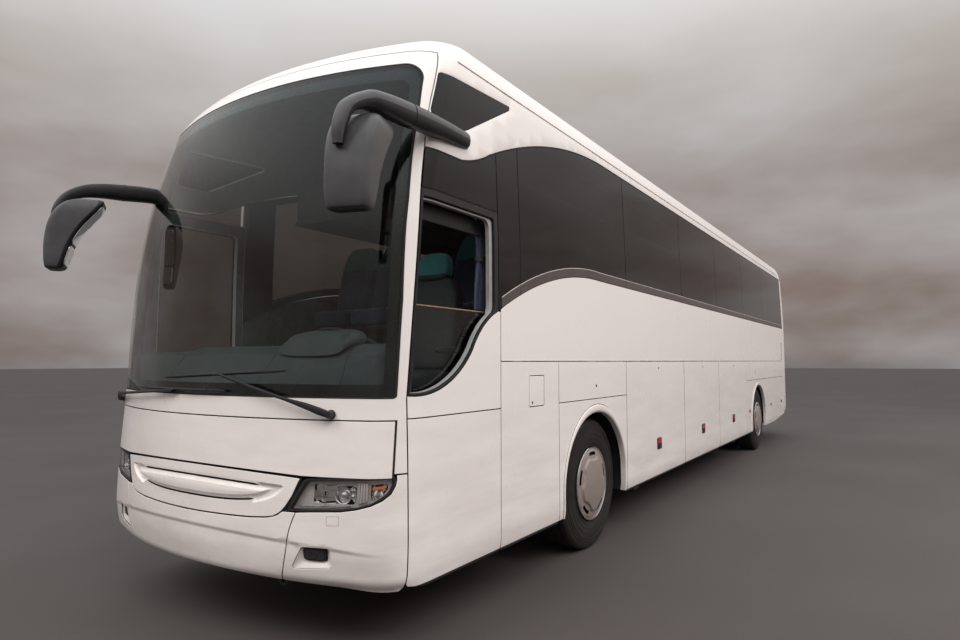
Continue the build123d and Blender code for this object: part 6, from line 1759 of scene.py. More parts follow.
acc = Acc()
for s in (1, -1):
    x0, x1, z0, z1 = TAIL_LAMP
    panel(acc, REAR, from_front([(s * x, z) for x, z in rect2(x0 + 3, x1 - 3, z0 + 3, z1 - 3, 22)], rear=True),
          [from_front([(s * x, z) for x, z in rect2(x0 + 12, x1 - 12, z0 + 12, z1 - 12, 18)], rear=True)], thick=40, rnd=2.5, mat=0)
    panel(acc, REAR, from_front([(s * x, z) for x, z in rect2(x0 + 6, x1 - 6, z0 + 6, z1 - 6, 18)], rear=True), thick=5, rnd=0, lift=42, mat=0)
    zz = z0 + 16
    for hgt, m in ((150, 1), (120, 2), (150, 1), (96, 3)):
        # round lens with rings on a coloured plate
        panel(acc, REAR, from_front([(s * x, z) for x, z in rect2(x0 + 14, x1 - 14, zz, zz + hgt - 6, 14)], rear=True, step=20), thick=10, rnd=3.5, lift=3, mat=m)
        p, n = on_skin(s * (x0 + x1) / 2, zz + hgt / 2 - 3, -0.0, rear=True)
        rr = min(54, hgt / 2 - 12)
        lathe(acc, [(-4, 0), (-4, rr), (1.5, rr), (3.0, rr - 3), (1.5, rr - 8), (2.5, rr - 16), (1.2, rr - 22), (3.4, 6), (3.6, 0)], p, axis=n, n=32, mat=m)
        zz += hgt
make(acc, "tail_light_units", [M["plastic"], M["red"], M["orange"], M["clear"]], replaces="tail_lights", angle=35)

acc = Acc()
rb = Pressed(lambda p: 8.0 * S((560 - p[:, 1]) / 22) + 12.0 * np.clip((505 - p[:, 1]) / 35, 0, 1) ** 2, 110.0, 14.0, rear=True)
panel(acc, rb, rear_outline(470, 757, 16), thick=WALL - 12, rnd=3.2, back=1)
for s in (1, -1):
    panel(acc, REAR, from_front([(s * x, z) for x, z in rect2(820, 960, 640, 676, 12)], rear=True, step=20), thick=8, rnd=3, lift=-3, mat=2)
    panel(acc, REAR, from_front([(s * x, z) for x, z in rect2(700, 790, 640, 676, 12)], rear=True, step=20), thick=8, rnd=3, lift=-3, mat=3)
panel(acc, REAR, from_front(rect2(-640, 640, 742, 757, 4), rear=True), thick=5, rnd=1, lift=-4, mat=4)
make(acc, "rear_bumper_shell", [M["white"], M["bay"], M["red"], M["orange"], M["plastic"]], replaces="rear_bumper")

# =============================================================== passenger doors (right side)
DOOR_MATS = [M["white"], M["rubber"], M["black"], M["handle"], M["bay"]]
acc = Acc()
door = [(max(y + 3, -2377), z) for y, z in a_points(2606, 1300, 0, 22)]
door = door + [(SEAM_FRONT + 3, 378), (-1500, 378), (-1500, 2606)]
panel(acc, FRONT, from_side(door, -1), [from_side(rounded(box2(-2259, -1571, 636, 1316), 34), -1),
                                        from_side(rounded(box2(-2229, -1571, 1384, 2514), 34), -1)], thick=48, rnd=3.2, back=4)
for y0, y1, z0, z1 in ((-2259, -1571, 636, 1316), (-2229, -1571, 1384, 2514)):
    panel(acc, FRONT, from_side(rounded(box2(y0, y1, z0, z1), 34), -1), [from_side(rounded(box2(y0 + 9, y1 - 9, z0 + 9, z1 - 9), 28), -1)],
          thick=10, rnd=1.5, lift=-1.0, mat=1)
stud(acc, -1640, 1350, -1, 0, 3, mat=3, square=(110, 34, 12))
rbox(acc, -1236, -1228, ay(-1548), ay(-1518), 700, 1500, r=3, mat=3)
rbox(acc, -1226, -1180, ay(-1548), ay(-1530), 700, 712, r=3, mat=3)
make(acc, "front_door_leaf", DOOR_MATS, replaces="front_door")

acc = Acc()
y0, y1 = MIDDLE_DOOR
panel(acc, FRONT, from_side(box2(y0, y1, 363, 2140), -1), [from_side(rounded(box2(y0 + 91, y1 - 91, 1236, 2034), 34), -1)], thick=48, rnd=3.2, back=4)
panel(acc, FRONT, from_side(rounded(box2(y0 + 91, y1 - 91, 1236, 2034), 34), -1), [from_side(rounded(box2(y0 + 101, y1 - 101, 1246, 2024), 28), -1)],
      thick=10, rnd=1.5, lift=-1.0, mat=1)
stud(acc, y0 + 60, 1180, -1, 0, 3, mat=3, square=(34, 110, 12))
make(acc, "middle_door_leaf", DOOR_MATS, replaces="middle_door")

# =============================================================== wheels
ARM = [0, 90, 180, 270]


def tyre(acc, x, side, y):
    """Tyre with ribs on the wall and a blocked tread. x is the centre plane; side is not used."""
    w = 145.0
    prof = [(-w + 22, 287.2), (-w + 14, 292), (-w + 10, 305), (-w + 3, 340), (-w, 387), (-w + 3, 430), (-w + 8, 462), (-w + 14, 484), (-w + 19, 495),
            (-w + 30, 505), (-w + 40, 511)]
    ribs = [(-105, 511.5, 1), (-66, 512.3, 1), (-64, 500, 0), (-54, 500, 0), (-52, 512.6, 1), (-20, 513, 1), (-18, 500, 0), (-7, 500, 0),
            (-5, 513, 1), (5, 513, 1), (7, 500, 0), (18, 500, 0), (20, 513, 1), (52, 512.6, 1), (54, 500, 0), (64, 500, 0), (66, 512.3, 1), (105, 511.5, 1)]
    pts = [(a, r, 0) for a, r in prof] + ribs + [(-a, r, 0) for a, r in reversed(prof)]
    # the profile points, taken over as they are
    out = []
    for k, (a, r, t) in enumerate(pts):
        out.append((a, r, t))
    n = 160
    ang = np.arange(n) * 2 * math.pi / n
    v = []
    for a, r, t in out:
        rr = np.full(n, r)
        if t:
            shift = 1 if abs(a) > 60 else 0
            cut = (np.arange(n) + shift * 2) % 4 == 0
            if abs(a) < 21 and abs(a) > 4:
                cut = (np.arange(n) + 1) % 4 == 0
            rr = np.where(cut, r - (9 if abs(a) > 60 else 5), r)
        v.append(np.stack([np.full(n, x + a), ay(y) + rr * np.cos(ang), HUB_Z + rr * np.sin(ang)], 1))
    rows = len(out)
    f = []
    for i in range(rows):
        a, b = i * n, ((i + 1) % rows) * n
        for j in range(n):
            k = (j + 1) % n
            f.append((a + j, a + k, b + k, b + j))
    # keep the tread's lowest point on the ground plane
    acc.add(np.concatenate(v), f, 0)
    # raised rings and a line on the outer wall
    for sgn in (1, -1):
        for r, rise, wdt in ((306, 3.0, 5), (322, 3.4, 4), (352, 2.4, 3), (392, 2.4, 2.5), (428, 3.0, 4), (446, 3.4, 4), (466, 2.6, 3)):
            base = x + sgn * float(np.interp(r, [p[1] for p in prof], [-p[0] for p in prof]))
            lathe(acc, [(-2, r - wdt), (rise * 0.8, r - wdt * 0.6), (rise, r), (rise * 0.8, r + wdt * 0.6), (-2, r + wdt), (-6, r)],
                  (base, ay(y), HUB_Z), axis=(sgn, 0, 0), n=72, mat=0, closed=True)


CAP_SLOTS = [math.radians(90 + 72 * k) for k in range(5)]


def cap_lift(p):
    """Large dome with scalloped shoulder over a flange that holds five slots."""
    r = np.hypot(p[:, 0], p[:, 1])
    th = np.arctan2(p[:, 1], p[:, 0])
    near = np.min([np.abs((th - a + math.pi) % (2 * math.pi) - math.pi) for a in CAP_SLOTS], axis=0)
    shoulder = 212.0 - 26.0 * np.exp(-(near / 0.30) ** 4)
    dome = 184.0 - 15.0 * (r / 212.0) ** 2.2
    flange = np.interp(r, [150, 200, 262, 287], [163, 158, 147.5, 142])
    w = S((r - shoulder + 9) / 18)
    rim = -3.0 * (S((r - 262) / 4) - S((r - 270) / 5))
    return dome * (1 - w) + flange * w + rim


class Dome(Flat):
    def lines(self, lo, hi):
        return [_steps(lo[k], hi[k], 8.0) for k in (0, 1)]


WHEELS = [("front_left", 1, 0.0, (1070.0,)), ("front_right", -1, 0.0, (1070.0,)),
          ("rear_left", 1, WHEELBASE, (760.0, 1090.0)), ("rear_right", -1, WHEELBASE, (760.0, 1090.0))]
for stem, s, y, planes in WHEELS:
    twin = len(planes) == 2
    body = f"{stem}_wheel"
    acc = Acc()
    for x in planes:
        tyre(acc, s * x, s, y)
    make(acc, f"{stem}_tyre_tread", [M["tyre"]], body=body, replaces=f"{stem}_tyres" if twin else f"{stem}_tyre", angle=34)
    acc = Acc()
    centre = (0, ay(y), HUB_Z)
    for x in planes:
        lathe(acc, [(-131, 268), (-131, 286.4), (-124, 286.8), (-118, 280), (-70, 274), (70, 274), (118, 280), (124, 286.8), (131, 286.4), (131, 268),
                    (110, 264), (-110, 264)], (s * x, ay(y), HUB_Z), axis=(s, 0, 0), n=72, mat=1, closed=True)
    cap = planes[-1]
    if twin:
        lathe(acc, [(-45, 82), (-45, 274), (-8, 276), (8, 276), (45, 274), (45, 82)], (s * 925, ay(y), HUB_Z), axis=(s, 0, 0), n=72, mat=1, closed=True)
        lathe(acc, [(-120, 78), (-120, 140), (100, 142), (118, 128), (120, 80)], (s * 1000, ay(y), HUB_Z), axis=(s, 0, 0), n=48, mat=1, closed=True)
    else:
        lathe(acc, [(-8, 54), (-8, 268), (8, 270), (8, 54)], (s * 1110, ay(y), HUB_Z), axis=(s, 0, 0), n=72, mat=1, closed=True)
        lathe(acc, [(-35, 54), (-35, 104), (20, 106), (35, 96), (35, 54)], (s * 1088, ay(y), HUB_Z), axis=(s, 0, 0), n=48, mat=1, closed=True)
        for k in range(10):
            a = k * math.pi / 5
            lathe(acc, [(0, 0), (0, 15), (14, 15), (16, 11), (26, 10), (27, 0)], (s * 1117, ay(y) + 165 * math.cos(a), HUB_Z + 165 * math.sin(a)),
                  axis=(s, 0, 0), n=6, mat=1)
    srf = Dome((s * cap, ay(y), HUB_Z), (0, s, 0), (0, 0, 1), bend=cap_lift)
    holes = []
    for a in CAP_SLOTS:
        base = rounded([(-13, -60), (13, -60), (13, 60), (-13, 60)], 11, 5)
        base = dense(base, 20)
        bent = []
        for q in base:
            ang = q[1] / 236.0
            d = np.array([math.cos(a + ang), math.sin(a + ang)])
            bent.append(d * (236 + q[0]))
        holes.append(np.array(bent))
    panel(acc, srf, circle2(285.5, 96), holes, thick=7, rnd=1.6, mat=0, edge=3)
    # bright ring and the skirt of the cap
    lathe(acc, [(118, 262), (118, 286.2), (140, 287), (146, 288.5), (149.5, 286), (149.5, 281), (145, 278.5), (136, 279), (136, 262)], (s * cap, ay(y), HUB_Z),
          axis=(s, 0, 0), n=96, mat=2, closed=True)
    # dark plate behind the slots
    lathe(acc, [(118, 0), (118, 270), (124, 272), (130, 268), (130, 0)], (s * cap, ay(y), HUB_Z), axis=(s, 0, 0), n=64, mat=3)
    make(acc, f"{stem}_wheel_cap", [M["cap"], M["rim"], M["chrome"], M["plastic"]], body=body, replaces=f"{stem}_rims" if twin else f"{stem}_rim",
         angle=36)

# wheel housings: curved liners round each arch, with the inner side plate
acc = Acc()
for cy_, half in ((-20.0, 622.0), (WHEELBASE - 60.0, 622.0)):
    for s in (1, -1):
        a0 = math.radians(-11)
        arc = [a0 + (math.pi - 2 * a0) * k / 40 for k in range(41)]
        rings = []
        for t in arc:
            rings.append([(s * x, ay(cy_) - r * math.cos(t), 516 + r * math.sin(t)) for x, r in
                          ((492, 622), (1243, 622), (1243, 628), (1040, 628), (1036, 633), (1016, 633), (1012, 628), (700, 628), (696, 633), (676, 633),
                           (672, 628), (492, 628))])
        loft(acc, rings)
        seg = [(-half * math.cos(t) * -1, half * math.sin(t)) for t in arc]
        seg = [(half * math.cos(t), max(half * math.sin(t), -112)) for t in arc]
        pts = [p for p in seg] 
        low = [p for p in pts if p[1] > 300]
        srf = Flat((s * 500, ay(cy_), 516), (0, s, 0), (0, 0, 1), step=200)
        panel(acc, srf, clip(np.array(pts), 1, 318.0, True), thick=8, rnd=0)
make(acc, "wheel_arch_liners", [M["liner"]], replaces="wheel_housings", angle=40)

# =============================================================== CAD pieces that keep their own shape
CAD_LOOK = {
    "chassis_frame": ("steel", 4.0), "front_axle": ("iron", 6.0), "rear_axle": ("iron", 6.0), "left_knuckle": ("iron", 3.0),
    "right_knuckle": ("iron", 3.0), "passenger_floor": ("floor", 3.0), "luggage_bay": ("bay", 2.0), "window_pillars": ("black", 2.0),
    "luggage_racks": ("rack", 4.0),
}
for node, (look, width) in CAD_LOOK.items():
    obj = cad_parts[node]
    obj.data.materials.clear()
    obj.data.materials.append(M[look])
    bev = obj.modifiers.new("edge", "BEVEL")
    bev.width, bev.segments, bev.limit_method, bev.angle_limit = width * 0.001, 2, "ANGLE", math.radians(40)
    bev.use_clamp_overlap = True
    bev.harden_normals = False

# =============================================================== cab
acc = Acc()


def dash_ring(x, pts):
    yf = float(on_skin(x, 1320.0, 0)[0][1]) - AXLE_Y + 84
    return [(x, ay(max(y, yf)), z) for y, z in pts]


FULL = rounded([(-2640, 957), (-2640, 1290), (-2600, 1330), (-2420, 1530), (-2310, 1588), (-2244, 1570), (-2226, 1480), (-2237, 1380),
                (-2272, 1180), (-2350, 957)], [0, 30, 60, 80, 70, 26, 30, 60, 60, 0], 4)
UPPER = rounded([(-2640, 1290), (-2600, 1330), (-2420, 1530), (-2310, 1588), (-2244, 1570), (-2226, 1480), (-2232, 1400), (-2240, 1333), (-2422, 1333),
                 (-2422, 957), (-2640, 957)], [0, 60, 80, 70, 26, 30, 30, 12, 0, 0, 0], 4)
DOORWAY = rounded([(-2640, 957), (-2640, 1290), (-2600, 1330), (-2420, 1530), (-2370, 1556), (-2332, 1540), (-2332, 957)],
                  [0, 30, 60, 60, 20, 20, 0], 4)
for x0, x1, pts in ((-1185, -562, DOORWAY), (-558, 328, FULL), (332, 898, UPPER), (902, 1180, FULL)):
    n = max(3, int(abs(x1 - x0) / 60))
    rings = [dash_ring(x, pts) for x in np.linspace(x0, x1, n)]
    loft(acc, rings, 0)
# instrument hood with gauges, centre screen, vents and switches
hood = Acc()
srf = Flat((615, ay(-2300), 1640), (1, 0, 0), (0, 0.5, 0.8660254), step=40)
rings = []
for k, (w_, hgt, dy, dz) in enumerate(((250, 46, -2430, 1560), (262, 60, -2360, 1602), (262, 66, -2290, 1612), (256, 62, -2262, 1604))):
    rings.append([(615 + a, ay(dy) + b * 0.42, dz + b * 0.9) for a, b in circle2(w_, 32, hgt, 3.2)])
loft(hood, rings, 0)
acc.join(hood)
for gx, gr in ((505, 46), (725, 46), (615, 34), (420, 22), (810, 22)):
    c = np.array([gx, ay(-2247), 1604 if gr > 30 else 1596])
    ax_ = np.array([0, 0.9, 0.42])
    ax_ /= np.linalg.norm(ax_)
    lathe(acc, [(-8, 0), (-8, gr), (2, gr), (4, gr - 2), (3, gr - 5), (-1, gr - 6), (-1, 6), (3, 5), (4, 0)], c, axis=ax_, n=36, mat=1)
for x in (-430, -250, -70, 110):
    for k in range(5):
        rbox(acc, x - 60, x + 60, ay(-2247), ay(-2238), 1500 + k * 9, 1504 + k * 9, r=1.5, mat=2)
rbox(acc, -150, 120, ay(-2262), ay(-2252), 1260, 1420, r=8, mat=1)
for r_ in range(2):
    for c_ in range(7):
        rbox(acc, 140 + c_ * 26, 160 + c_ * 26, ay(-2254), ay(-2240), 1430 + r_ * 26, 1450 + r_ * 26, r=3, mat=2)
# steering column with its boot, stalks
p0, p1 = np.array([615, ay(-2250), 1300.0]), np.array([615, ay(-2123), 1520.0])
path = [p0 + (p1 - p0) * t for t in np.linspace(0, 1, 9)]
sweep(acc, path, circle2(36, 20, 42), up=(1, 0, 0), scales=[(1.3, 1.3), (1.15, 1.15), (1.25, 1.25), (1.05, 1.05), (1.1, 1.1), (0.98, 0.98), (1.0, 1.0), (1.1, 1.15), (1.0, 1.0)])
for s in (1, -1):
    sweep(acc, smooth_path([p1 - (p1 - p0) * 0.1, p1 - (p1 - p0) * 0.1 + [s * 90, 10, 12], p1 - (p1 - p0) * 0.1 + [s * 150, 26, 30]], 5), circle2(7, 8), mat=2)
make(acc, "dashboard_assembly", [M["dash"], M["gauge"], M["plastic"]], replaces="dashboard", angle=42)

acc = Acc()
C = np.array([615, ay(-2100), 1560.0])
N0 = np.array([0, 0.5, 0.8660254])
sec = [(13 * math.sin(a), 221 + 13 * math.cos(a)) for a in np.arange(16) * math.pi / 8]
lathe(acc, sec, C, axis=N0, n=72, mat=0, closed=True)
lathe(acc, [(-9, 0), (-9, 62), (-4, 74), (4, 74), (9, 66), (11, 40), (9, 34), (10, 0)], C, axis=N0, n=40, mat=0)
b1, b2 = np.array([1.0, 0, 0]), np.cross(N0, [1.0, 0, 0])
for ang in (0, 180, 270):
    a = math.radians(ang)
    d = b1 * math.cos(a) + b2 * math.sin(a)
    path = [C + d * r + N0 * lift for r, lift in ((60, 0), (100, -3), (150, -4), (190, -2), (216, 0))]
    sweep(acc, smooth_path(path, 4), circle2(21, 14, 8, 3), up=N0, scales=[(1.25 - 0.35 * k / 16, 1) for k in range(17)], mat=0)
make(acc, "steering_wheel_rim", [M["plastic"]], body="steering_wheel", replaces="steering_wheel", angle=45)


# =============================================================== seats
def pad(acc, centre, half, power=5.0, seg=9, axes=None, shape=None, mat=0, grooves=None):
    """Stuffed block: a cube grid rounded to a superellipsoid, with an optional shape(u, v, w) -> offset."""
    verts, faces, index = [], [], {}

    def vid(p):
        key = tuple(round(c, 5) for c in p)
        if key not in index:
            index[key] = len(verts)
            verts.append(p)
        return index[key]
    g = np.sin(np.linspace(-1, 1, seg + 1) * math.pi / 2)
    for ax in range(3):
        for sg in (-1, 1):
            for i in range(seg):
                for j in range(seg):
                    quad = []
                    for a, b in ((g[i], g[j]), (g[i + 1], g[j]), (g[i + 1], g[j + 1]), (g[i], g[j + 1])):
                        p = [0, 0, 0]
                        p[ax], p[(ax + 1) % 3], p[(ax + 2) % 3] = sg, a, b
                        quad.append(vid(tuple(float(c) for c in p)))
                    faces.append(quad if sg > 0 else quad[::-1])
    v = np.array(verts)
    if not isinstance(mat, int):
        mat = [mat(v[q].mean(0)) for q in faces]
    v = v / (np.abs(v) ** power).sum(1, keepdims=True) ** (1 / power)
    off3 = np.zeros_like(v) if shape is None else shape(v)
    q = v * np.array(half) + off3
    ax3 = np.eye(3) if axes is None else np.array(axes)
    return acc.add(np.array(centre) + q @ ax3, faces, mat)


def tilt(angle):
    """Axes leaned back about X by angle (degrees)."""
    a = math.radians(angle)
    return [(1, 0, 0), (0, math.cos(a), -math.sin(a)), (0, math.sin(a), math.cos(a))]


def cushion_shape(v):
    out = np.zeros_like(v)
    u, w = v[:, 0], v[:, 1]
    top = np.clip(v[:, 2], 0, 1)
    out[:, 2] = top * (10 * (1 - u * u) * (1 - w * w) + 12 * np.exp(-((np.abs(u) - 0.78) / 0.16) ** 2) - 7 * np.exp(-(w / 0.06) ** 2)
                       - 6 * np.exp(-((np.abs(u) - 0.56) / 0.05) ** 2))
    return out


def back_shape(v):
    out = np.zeros_like(v)
    u, z = v[:, 0], v[:, 2]
    face = np.clip(-v[:, 1], 0, 1)
    out[:, 1] = (-face * (9 * (1 - u * u) * (1 - z * z) + 14 * np.exp(-((np.abs(u) - 0.8) / 0.15) ** 2) * (1 - S((z - 0.5) / 0.4))
                 - 6 * np.exp(-((np.abs(u) - 0.58) / 0.05) ** 2) - 8 * np.exp(-((z - 0.42) / 0.05) ** 2) - 5 * np.exp(-((z + 0.25) / 0.04) ** 2)))
    out[:, 0] = -u * 26 * S((z - 0.35) / 0.65)
    return out


pads, frames = Acc(), Acc()
for row in range(12):
    y = -560.0 + 800.0 * row
    for s in (1, -1):
        if s < 0 and MIDDLE_DOOR[0] - 420 < y < MIDDLE_DOOR[1] + 480:
            continue
        for xc in (432, 883):
            x = s * xc
            pad(pads, (x, ay(y - 132), 1862), (216, 198, 70), seg=12, shape=cushion_shape)
            pad(pads, (x, ay(y + 72), 2200), (210, 56, 352), seg=13, axes=tilt(12.5), shape=back_shape, mat=lambda c: int(c[2] > 0.44))
            ax3 = np.array(tilt(12.5))
            # back shell
            shell_ring = []
            for zz, wd in ((-330, 196), (-200, 200), (0, 202), (200, 196), (330, 176), (352, 150)):
                pts3 = np.array([(-wd, 50, zz), (-wd + 20, 66, zz), (0, 70, zz), (wd - 20, 66, zz), (wd, 50, zz)])
                shell_ring.append(np.array((x, ay(y + 72), 2200)) + pts3 @ ax3)
            loft(frames, shell_ring, 1)
        # frame under the pair, leg, armrests
        xa, xb = sorted((s * 222, s * 1093))
        rbox(frames, xa, xb, ay(y - 300), ay(y - 262), 1758, 1790, r=6)
        rbox(frames, xa, xb, ay(y - 20), ay(y + 20), 1758, 1790, r=6)
        for lx in (300, 560):
            rbox(frames, *sorted((s * lx, s * (lx + 46))), ay(y - 205), ay(y - 45), 1474, 1762, r=8)
        rbox(frames, *sorted((s * 280, s * 630)), ay(y - 230), ay(y - 20), 1461, 1476, r=4)
        rbox(frames, *sorted((s * 1040, s * 1190)), ay(y - 180), ay(y - 60), 1700, 1740, r=8)
        for axx in (208, 1094):
            rbox(frames, *sorted((s * axx, s * (axx + 22))), ay(y - 250), ay(y + 30), 2020, 2052, r=10, seg=3, mat=1)
            rbox(frames, *sorted((s * (axx + 3), s * (axx + 19))), ay(y + 0), ay(y + 26), 1770, 2030, r=5, mat=1)
o = make(pads, "passenger_seat_cushions", [M["seat"], M["teal"]], replaces="passenger_seats", angle=60)
make(frames, "passenger_seat_frames", [M["steel"], M["plastic"]], replaces="passenger_seats", angle=45)

# driver's seat: sprung base, shaped cushion and back, headrest with a cover
acc, hard = Acc(), Acc()
pad(acc, (615, ay(-1598), 1362), (248, 212, 62), seg=14, shape=cushion_shape)
pad(acc, (615, ay(-1352), 1742), (242, 58, 330), seg=15, axes=tilt(10.0), shape=back_shape)
pad(acc, (615, ay(-1296), 2136), (138, 50, 106), power=4.0, seg=10, axes=tilt(10.0),
    shape=lambda v: np.stack([-v[:, 0] * 16 * np.clip(v[:, 2], 0, 1), -8 * (1 - v[:, 0] ** 2) * np.clip(-v[:, 1], 0, 1), 0 * v[:, 2]], 1),
    mat=lambda c: int(c[2] > -0.55))
for s in (1, -1):
    pad(acc, (615 + s * 262, ay(-1480), 1560), (26, 150, 24), power=3.5, seg=8)
    rbox(hard, 615 + s * 262 - 12, 615 + s * 262 + 12, ay(-1360), ay(-1330), 1420, 1560, r=5)
    rbox(hard, 615 + s * 60 - 8, 615 + s * 60 + 8, ay(-1318), ay(-1300), 2030, 2080, r=4)
# bellows and base
for k in range(6):
    z = 1000 + k * 42
    w_ = 96 if k % 2 == 0 else 84
    rbox(hard, 615 - w_, 615 + w_, ay(-1605) - w_ - 50, ay(-1605) + w_ + 50, z, z + 42.5, r=12, seg=3)
rbox(hard, 500, 730, ay(-1780), ay(-1430), 951, 1002, r=8)
rbox(hard, 400, 830, ay(-1790), ay(-1400), 1250, 1302, r=14, seg=3)
o = make(acc, "driver_seat_cushions", [M["seat_plain"], M["teal"]], replaces="driver_seat", angle=60)
make(hard, "driver_seat_base", [M["plastic"]], replaces="driver_seat", angle=45)


# =============================================================== curtains
def curtain(name, x, y, z0, z1, half, pleats, side, tied=None, amp=15.0, shade="curtain"):
    """Gathered cloth hanging from a rail: pleats across y, nearly straight down."""
    acc = Acc()
    nu, nv = pleats * 10 + 1, 15
    u = np.linspace(0, 1, nu)
    zz = np.linspace(z1, z0, nv)
    grid = np.zeros((nv, nu, 3))
    for k, z in enumerate(zz):
        t = k / (nv - 1)
        squeeze = 1.0
        if tied:
            squeeze = 1 - 0.42 * math.exp(-((z - tied) / 150.0) ** 2)
        phase = 2 * math.pi * pleats * u + 0.5 * np.sin(3.1 * u + 2.2 * t)
        a = amp * (0.75 + 0.25 * np.sin(5 * u + t * 1.7)) * (0.85 + 0.15 * t)
        grid[k, :, 0] = x + side * (a * np.sin(phase))
        grid[k, :, 1] = ay(y) + (u - 0.5) * 2 * half * squeeze + 3 * np.sin(2 * phase) + 3.0 * np.sin(4 * t + u * 2)
        grid[k, :, 2] = z + 2.5 * np.sin(phase) * t
    # mid-surface area gives the cut size
    a = grid[:-1, :-1]
    area = (np.linalg.norm(np.cross(grid[:-1, 1:] - a, grid[1:, :-1] - a), axis=-1)).sum() / 1e6
    height = (z1 - z0) / 1000.0
    nrm = np.cross(np.gradient(grid, axis=1), np.gradient(grid, axis=0))
    nrm /= np.linalg.norm(nrm, axis=-1, keepdims=True)
    v = np.concatenate([(grid + nrm * 0.7).reshape(-1, 3), (grid - nrm * 0.7).reshape(-1, 3)])
    n = nu * nv
    f = []
    for k in range(nv - 1):
        for i in range(nu - 1):
            q = (k * nu + i, k * nu + i + 1, (k + 1) * nu + i + 1, (k + 1) * nu + i)
            f.append(q)
            f.append(tuple(c + n for c in reversed(q)))
    rim = ([(0, i) for i in range(nu)] + [(k, nu - 1) for k in range(1, nv)] + [(nv - 1, i) for i in range(nu - 2, -1, -1)]
           + [(k, 0) for k in range(nv - 2, 0, -1)])
    ids = [k * nu + i for k, i in rim]
    for a_, b_ in zip(ids, ids[1:] + ids[:1]):
        f.append((b_, a_, a_ + n, b_ + n))
    acc.add(v, f, 0)
    o = make(acc, name, [M[shade]], replaces="curtains", angle=70, recalc=True)
    return area / height, height


FLAT_SIZES = []
rails = Acc()
for s, word in ((1, "left"), (-1, "right")):
    for k, j in enumerate(PANE_JOINTS[1:] + [SIDE_END - 130]):
        FLAT_SIZES.append(curtain(f"curtain_{word}_{k + 1}", s * 1145, j, 2182, 2688, 70, 6, s, amp=14))
    rbox(rails, *sorted((s * 1139, s * 1151)), ay(600), ay(9520), 2689, 2697, r=3)
FLAT_SIZES.append(curtain("curtain_driver", 1172, -1570, 1802, 2556, 62, 6, 1, tied=2120, amp=15))
# rail and strap of the driver's curtain
rbox(rails, 1168, 1176, ay(-2180), ay(-1505), 2560, 2568, r=3)
ring = [(1172 + 27 * math.cos(a), ay(-1570) + 44 * math.sin(a), 2120 + 3 * math.sin(2 * a)) for a in np.arange(28) * math.pi / 14]
sweep(rails, ring, [(-1.2, -15), (1.2, -15), (1.2, 15), (-1.2, 15)], closed=True, mat=1)
make(rails, "curtain_rails", [M["rack"], M["seat_plain"]], angle=45)

# =============================================================== engine
acc = Acc()
rbox(acc, -250, 250, ay(8350), ay(9250), 560, 1180, r=30, seg=3)
rbox(acc, -190, 190, ay(8420), ay(9180), 425, 565, r=40, seg=3)
rbox(acc, -150, 150, ay(7810), ay(8360), 600, 980, r=60, seg=4)
for k in range(6):
    rbox(acc, -110, 110, ay(8400 + k * 140), ay(8520 + k * 140), 1178, 1262, r=22, seg=3, mat=1)
    path = smooth_path([(250, ay(8460 + k * 140), 1080), (300, ay(8460 + k * 140), 1090), (325, ay(8460 + k * 140), 1040)], 5)
    sweep(acc, path, circle2(26, 14), mat=1)
sweep(acc, [(325, ay(8400), 1010), (325, ay(9230), 1010)], circle2(42, 18), mat=1)
lathe(acc, [(0, 0), (0, 150), (16, 154), (22, 146), (30, 150), (42, 150), (46, 140), (48, 0)], (0, ay(9250), 640), axis=(0, 1, 0), n=40, mat=2)
lathe(acc, [(0, 0), (0, 86), (14, 90), (20, 84), (30, 88), (38, 84), (40, 0)], (-190, ay(9250), 980), axis=(0, 1, 0), n=32, mat=2)
lathe(acc, [(0, 0), (0, 70), (14, 74), (20, 68), (30, 72), (38, 68), (40, 0)], (200, ay(9250), 900), axis=(0, 1, 0), n=32, mat=2)
lathe(acc, [(0, 0), (0, 90), (120, 96), (240, 92), (260, 60), (262, 0)], (-300, ay(8500), 760), axis=(0, 1, 0), n=32, mat=1)
sweep(acc, smooth_path([(-300, ay(8760), 760), (-320, ay(8900), 800), (-330, ay(9060), 1000), (-280, ay(9160), 1120), (-180, ay(9160), 1200)], 6),
      circle2(40, 16), mat=2)
rbox(acc, -360, 360, ay(9300), ay(9372), 700, 1320, r=10, mat=2)
make(acc, "engine_assembly", [M["engine"], M["handle"], M["rubber"]], replaces="engine", angle=42)

# ceiling lamps seen through the glass
acc = Acc()
for k in range(11):
    rbox(acc, -60, 60, ay(-700 + k * 900), ay(-300 + k * 900), 3418, 3440, r=8, seg=3)
make(acc, "ceiling_lamps", [M["lamp_grey"]], angle=45)

# =============================================================== stage, light and camera
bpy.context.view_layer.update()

ground, nt = new_mat("stage_ground")
tc = nd(nt, "TexCoord").outputs["Object"]
g1 = nd(nt, "TexNoise", Vector=tc, Scale=0.35, Detail=5.0).outputs[0]
g2 = nd(nt, "TexNoise", Vector=tc, Scale=160.0, Detail=2.0).outputs[0]
gc = mix_color(nt, nd(nt, "MapRange", Value=g1, From_Min=0.35, From_Max=0.65).outputs[0], (0.052, 0.044, 0.042), (0.068, 0.059, 0.056))
gc = mix_color(nt, nd(nt, "MapRange", Value=g2, From_Min=0.4, From_Max=0.75, To_Max=0.5).outputs[0], gc, (0.108, 0.095, 0.090))
gb = nd(nt, "Bump", Height=g2, Strength=0.25, Distance=0.003)
bs = nd(nt, "BsdfPrincipled", Base_Color=gc, Roughness=0.75, Normal=gb.outputs[0])
nt.links.new(bs.outputs[0], nd(nt, "OutputMaterial").inputs[0])
mesh = bpy.data.meshes.new("stage_floor")
R_ = 140.0
mesh.from_pydata([(-R_, -R_, 0), (R_, -R_, 0), (R_, R_, 0), (-R_, R_, 0)], [], [(0, 1, 2, 3)])
mesh.materials.append(ground)
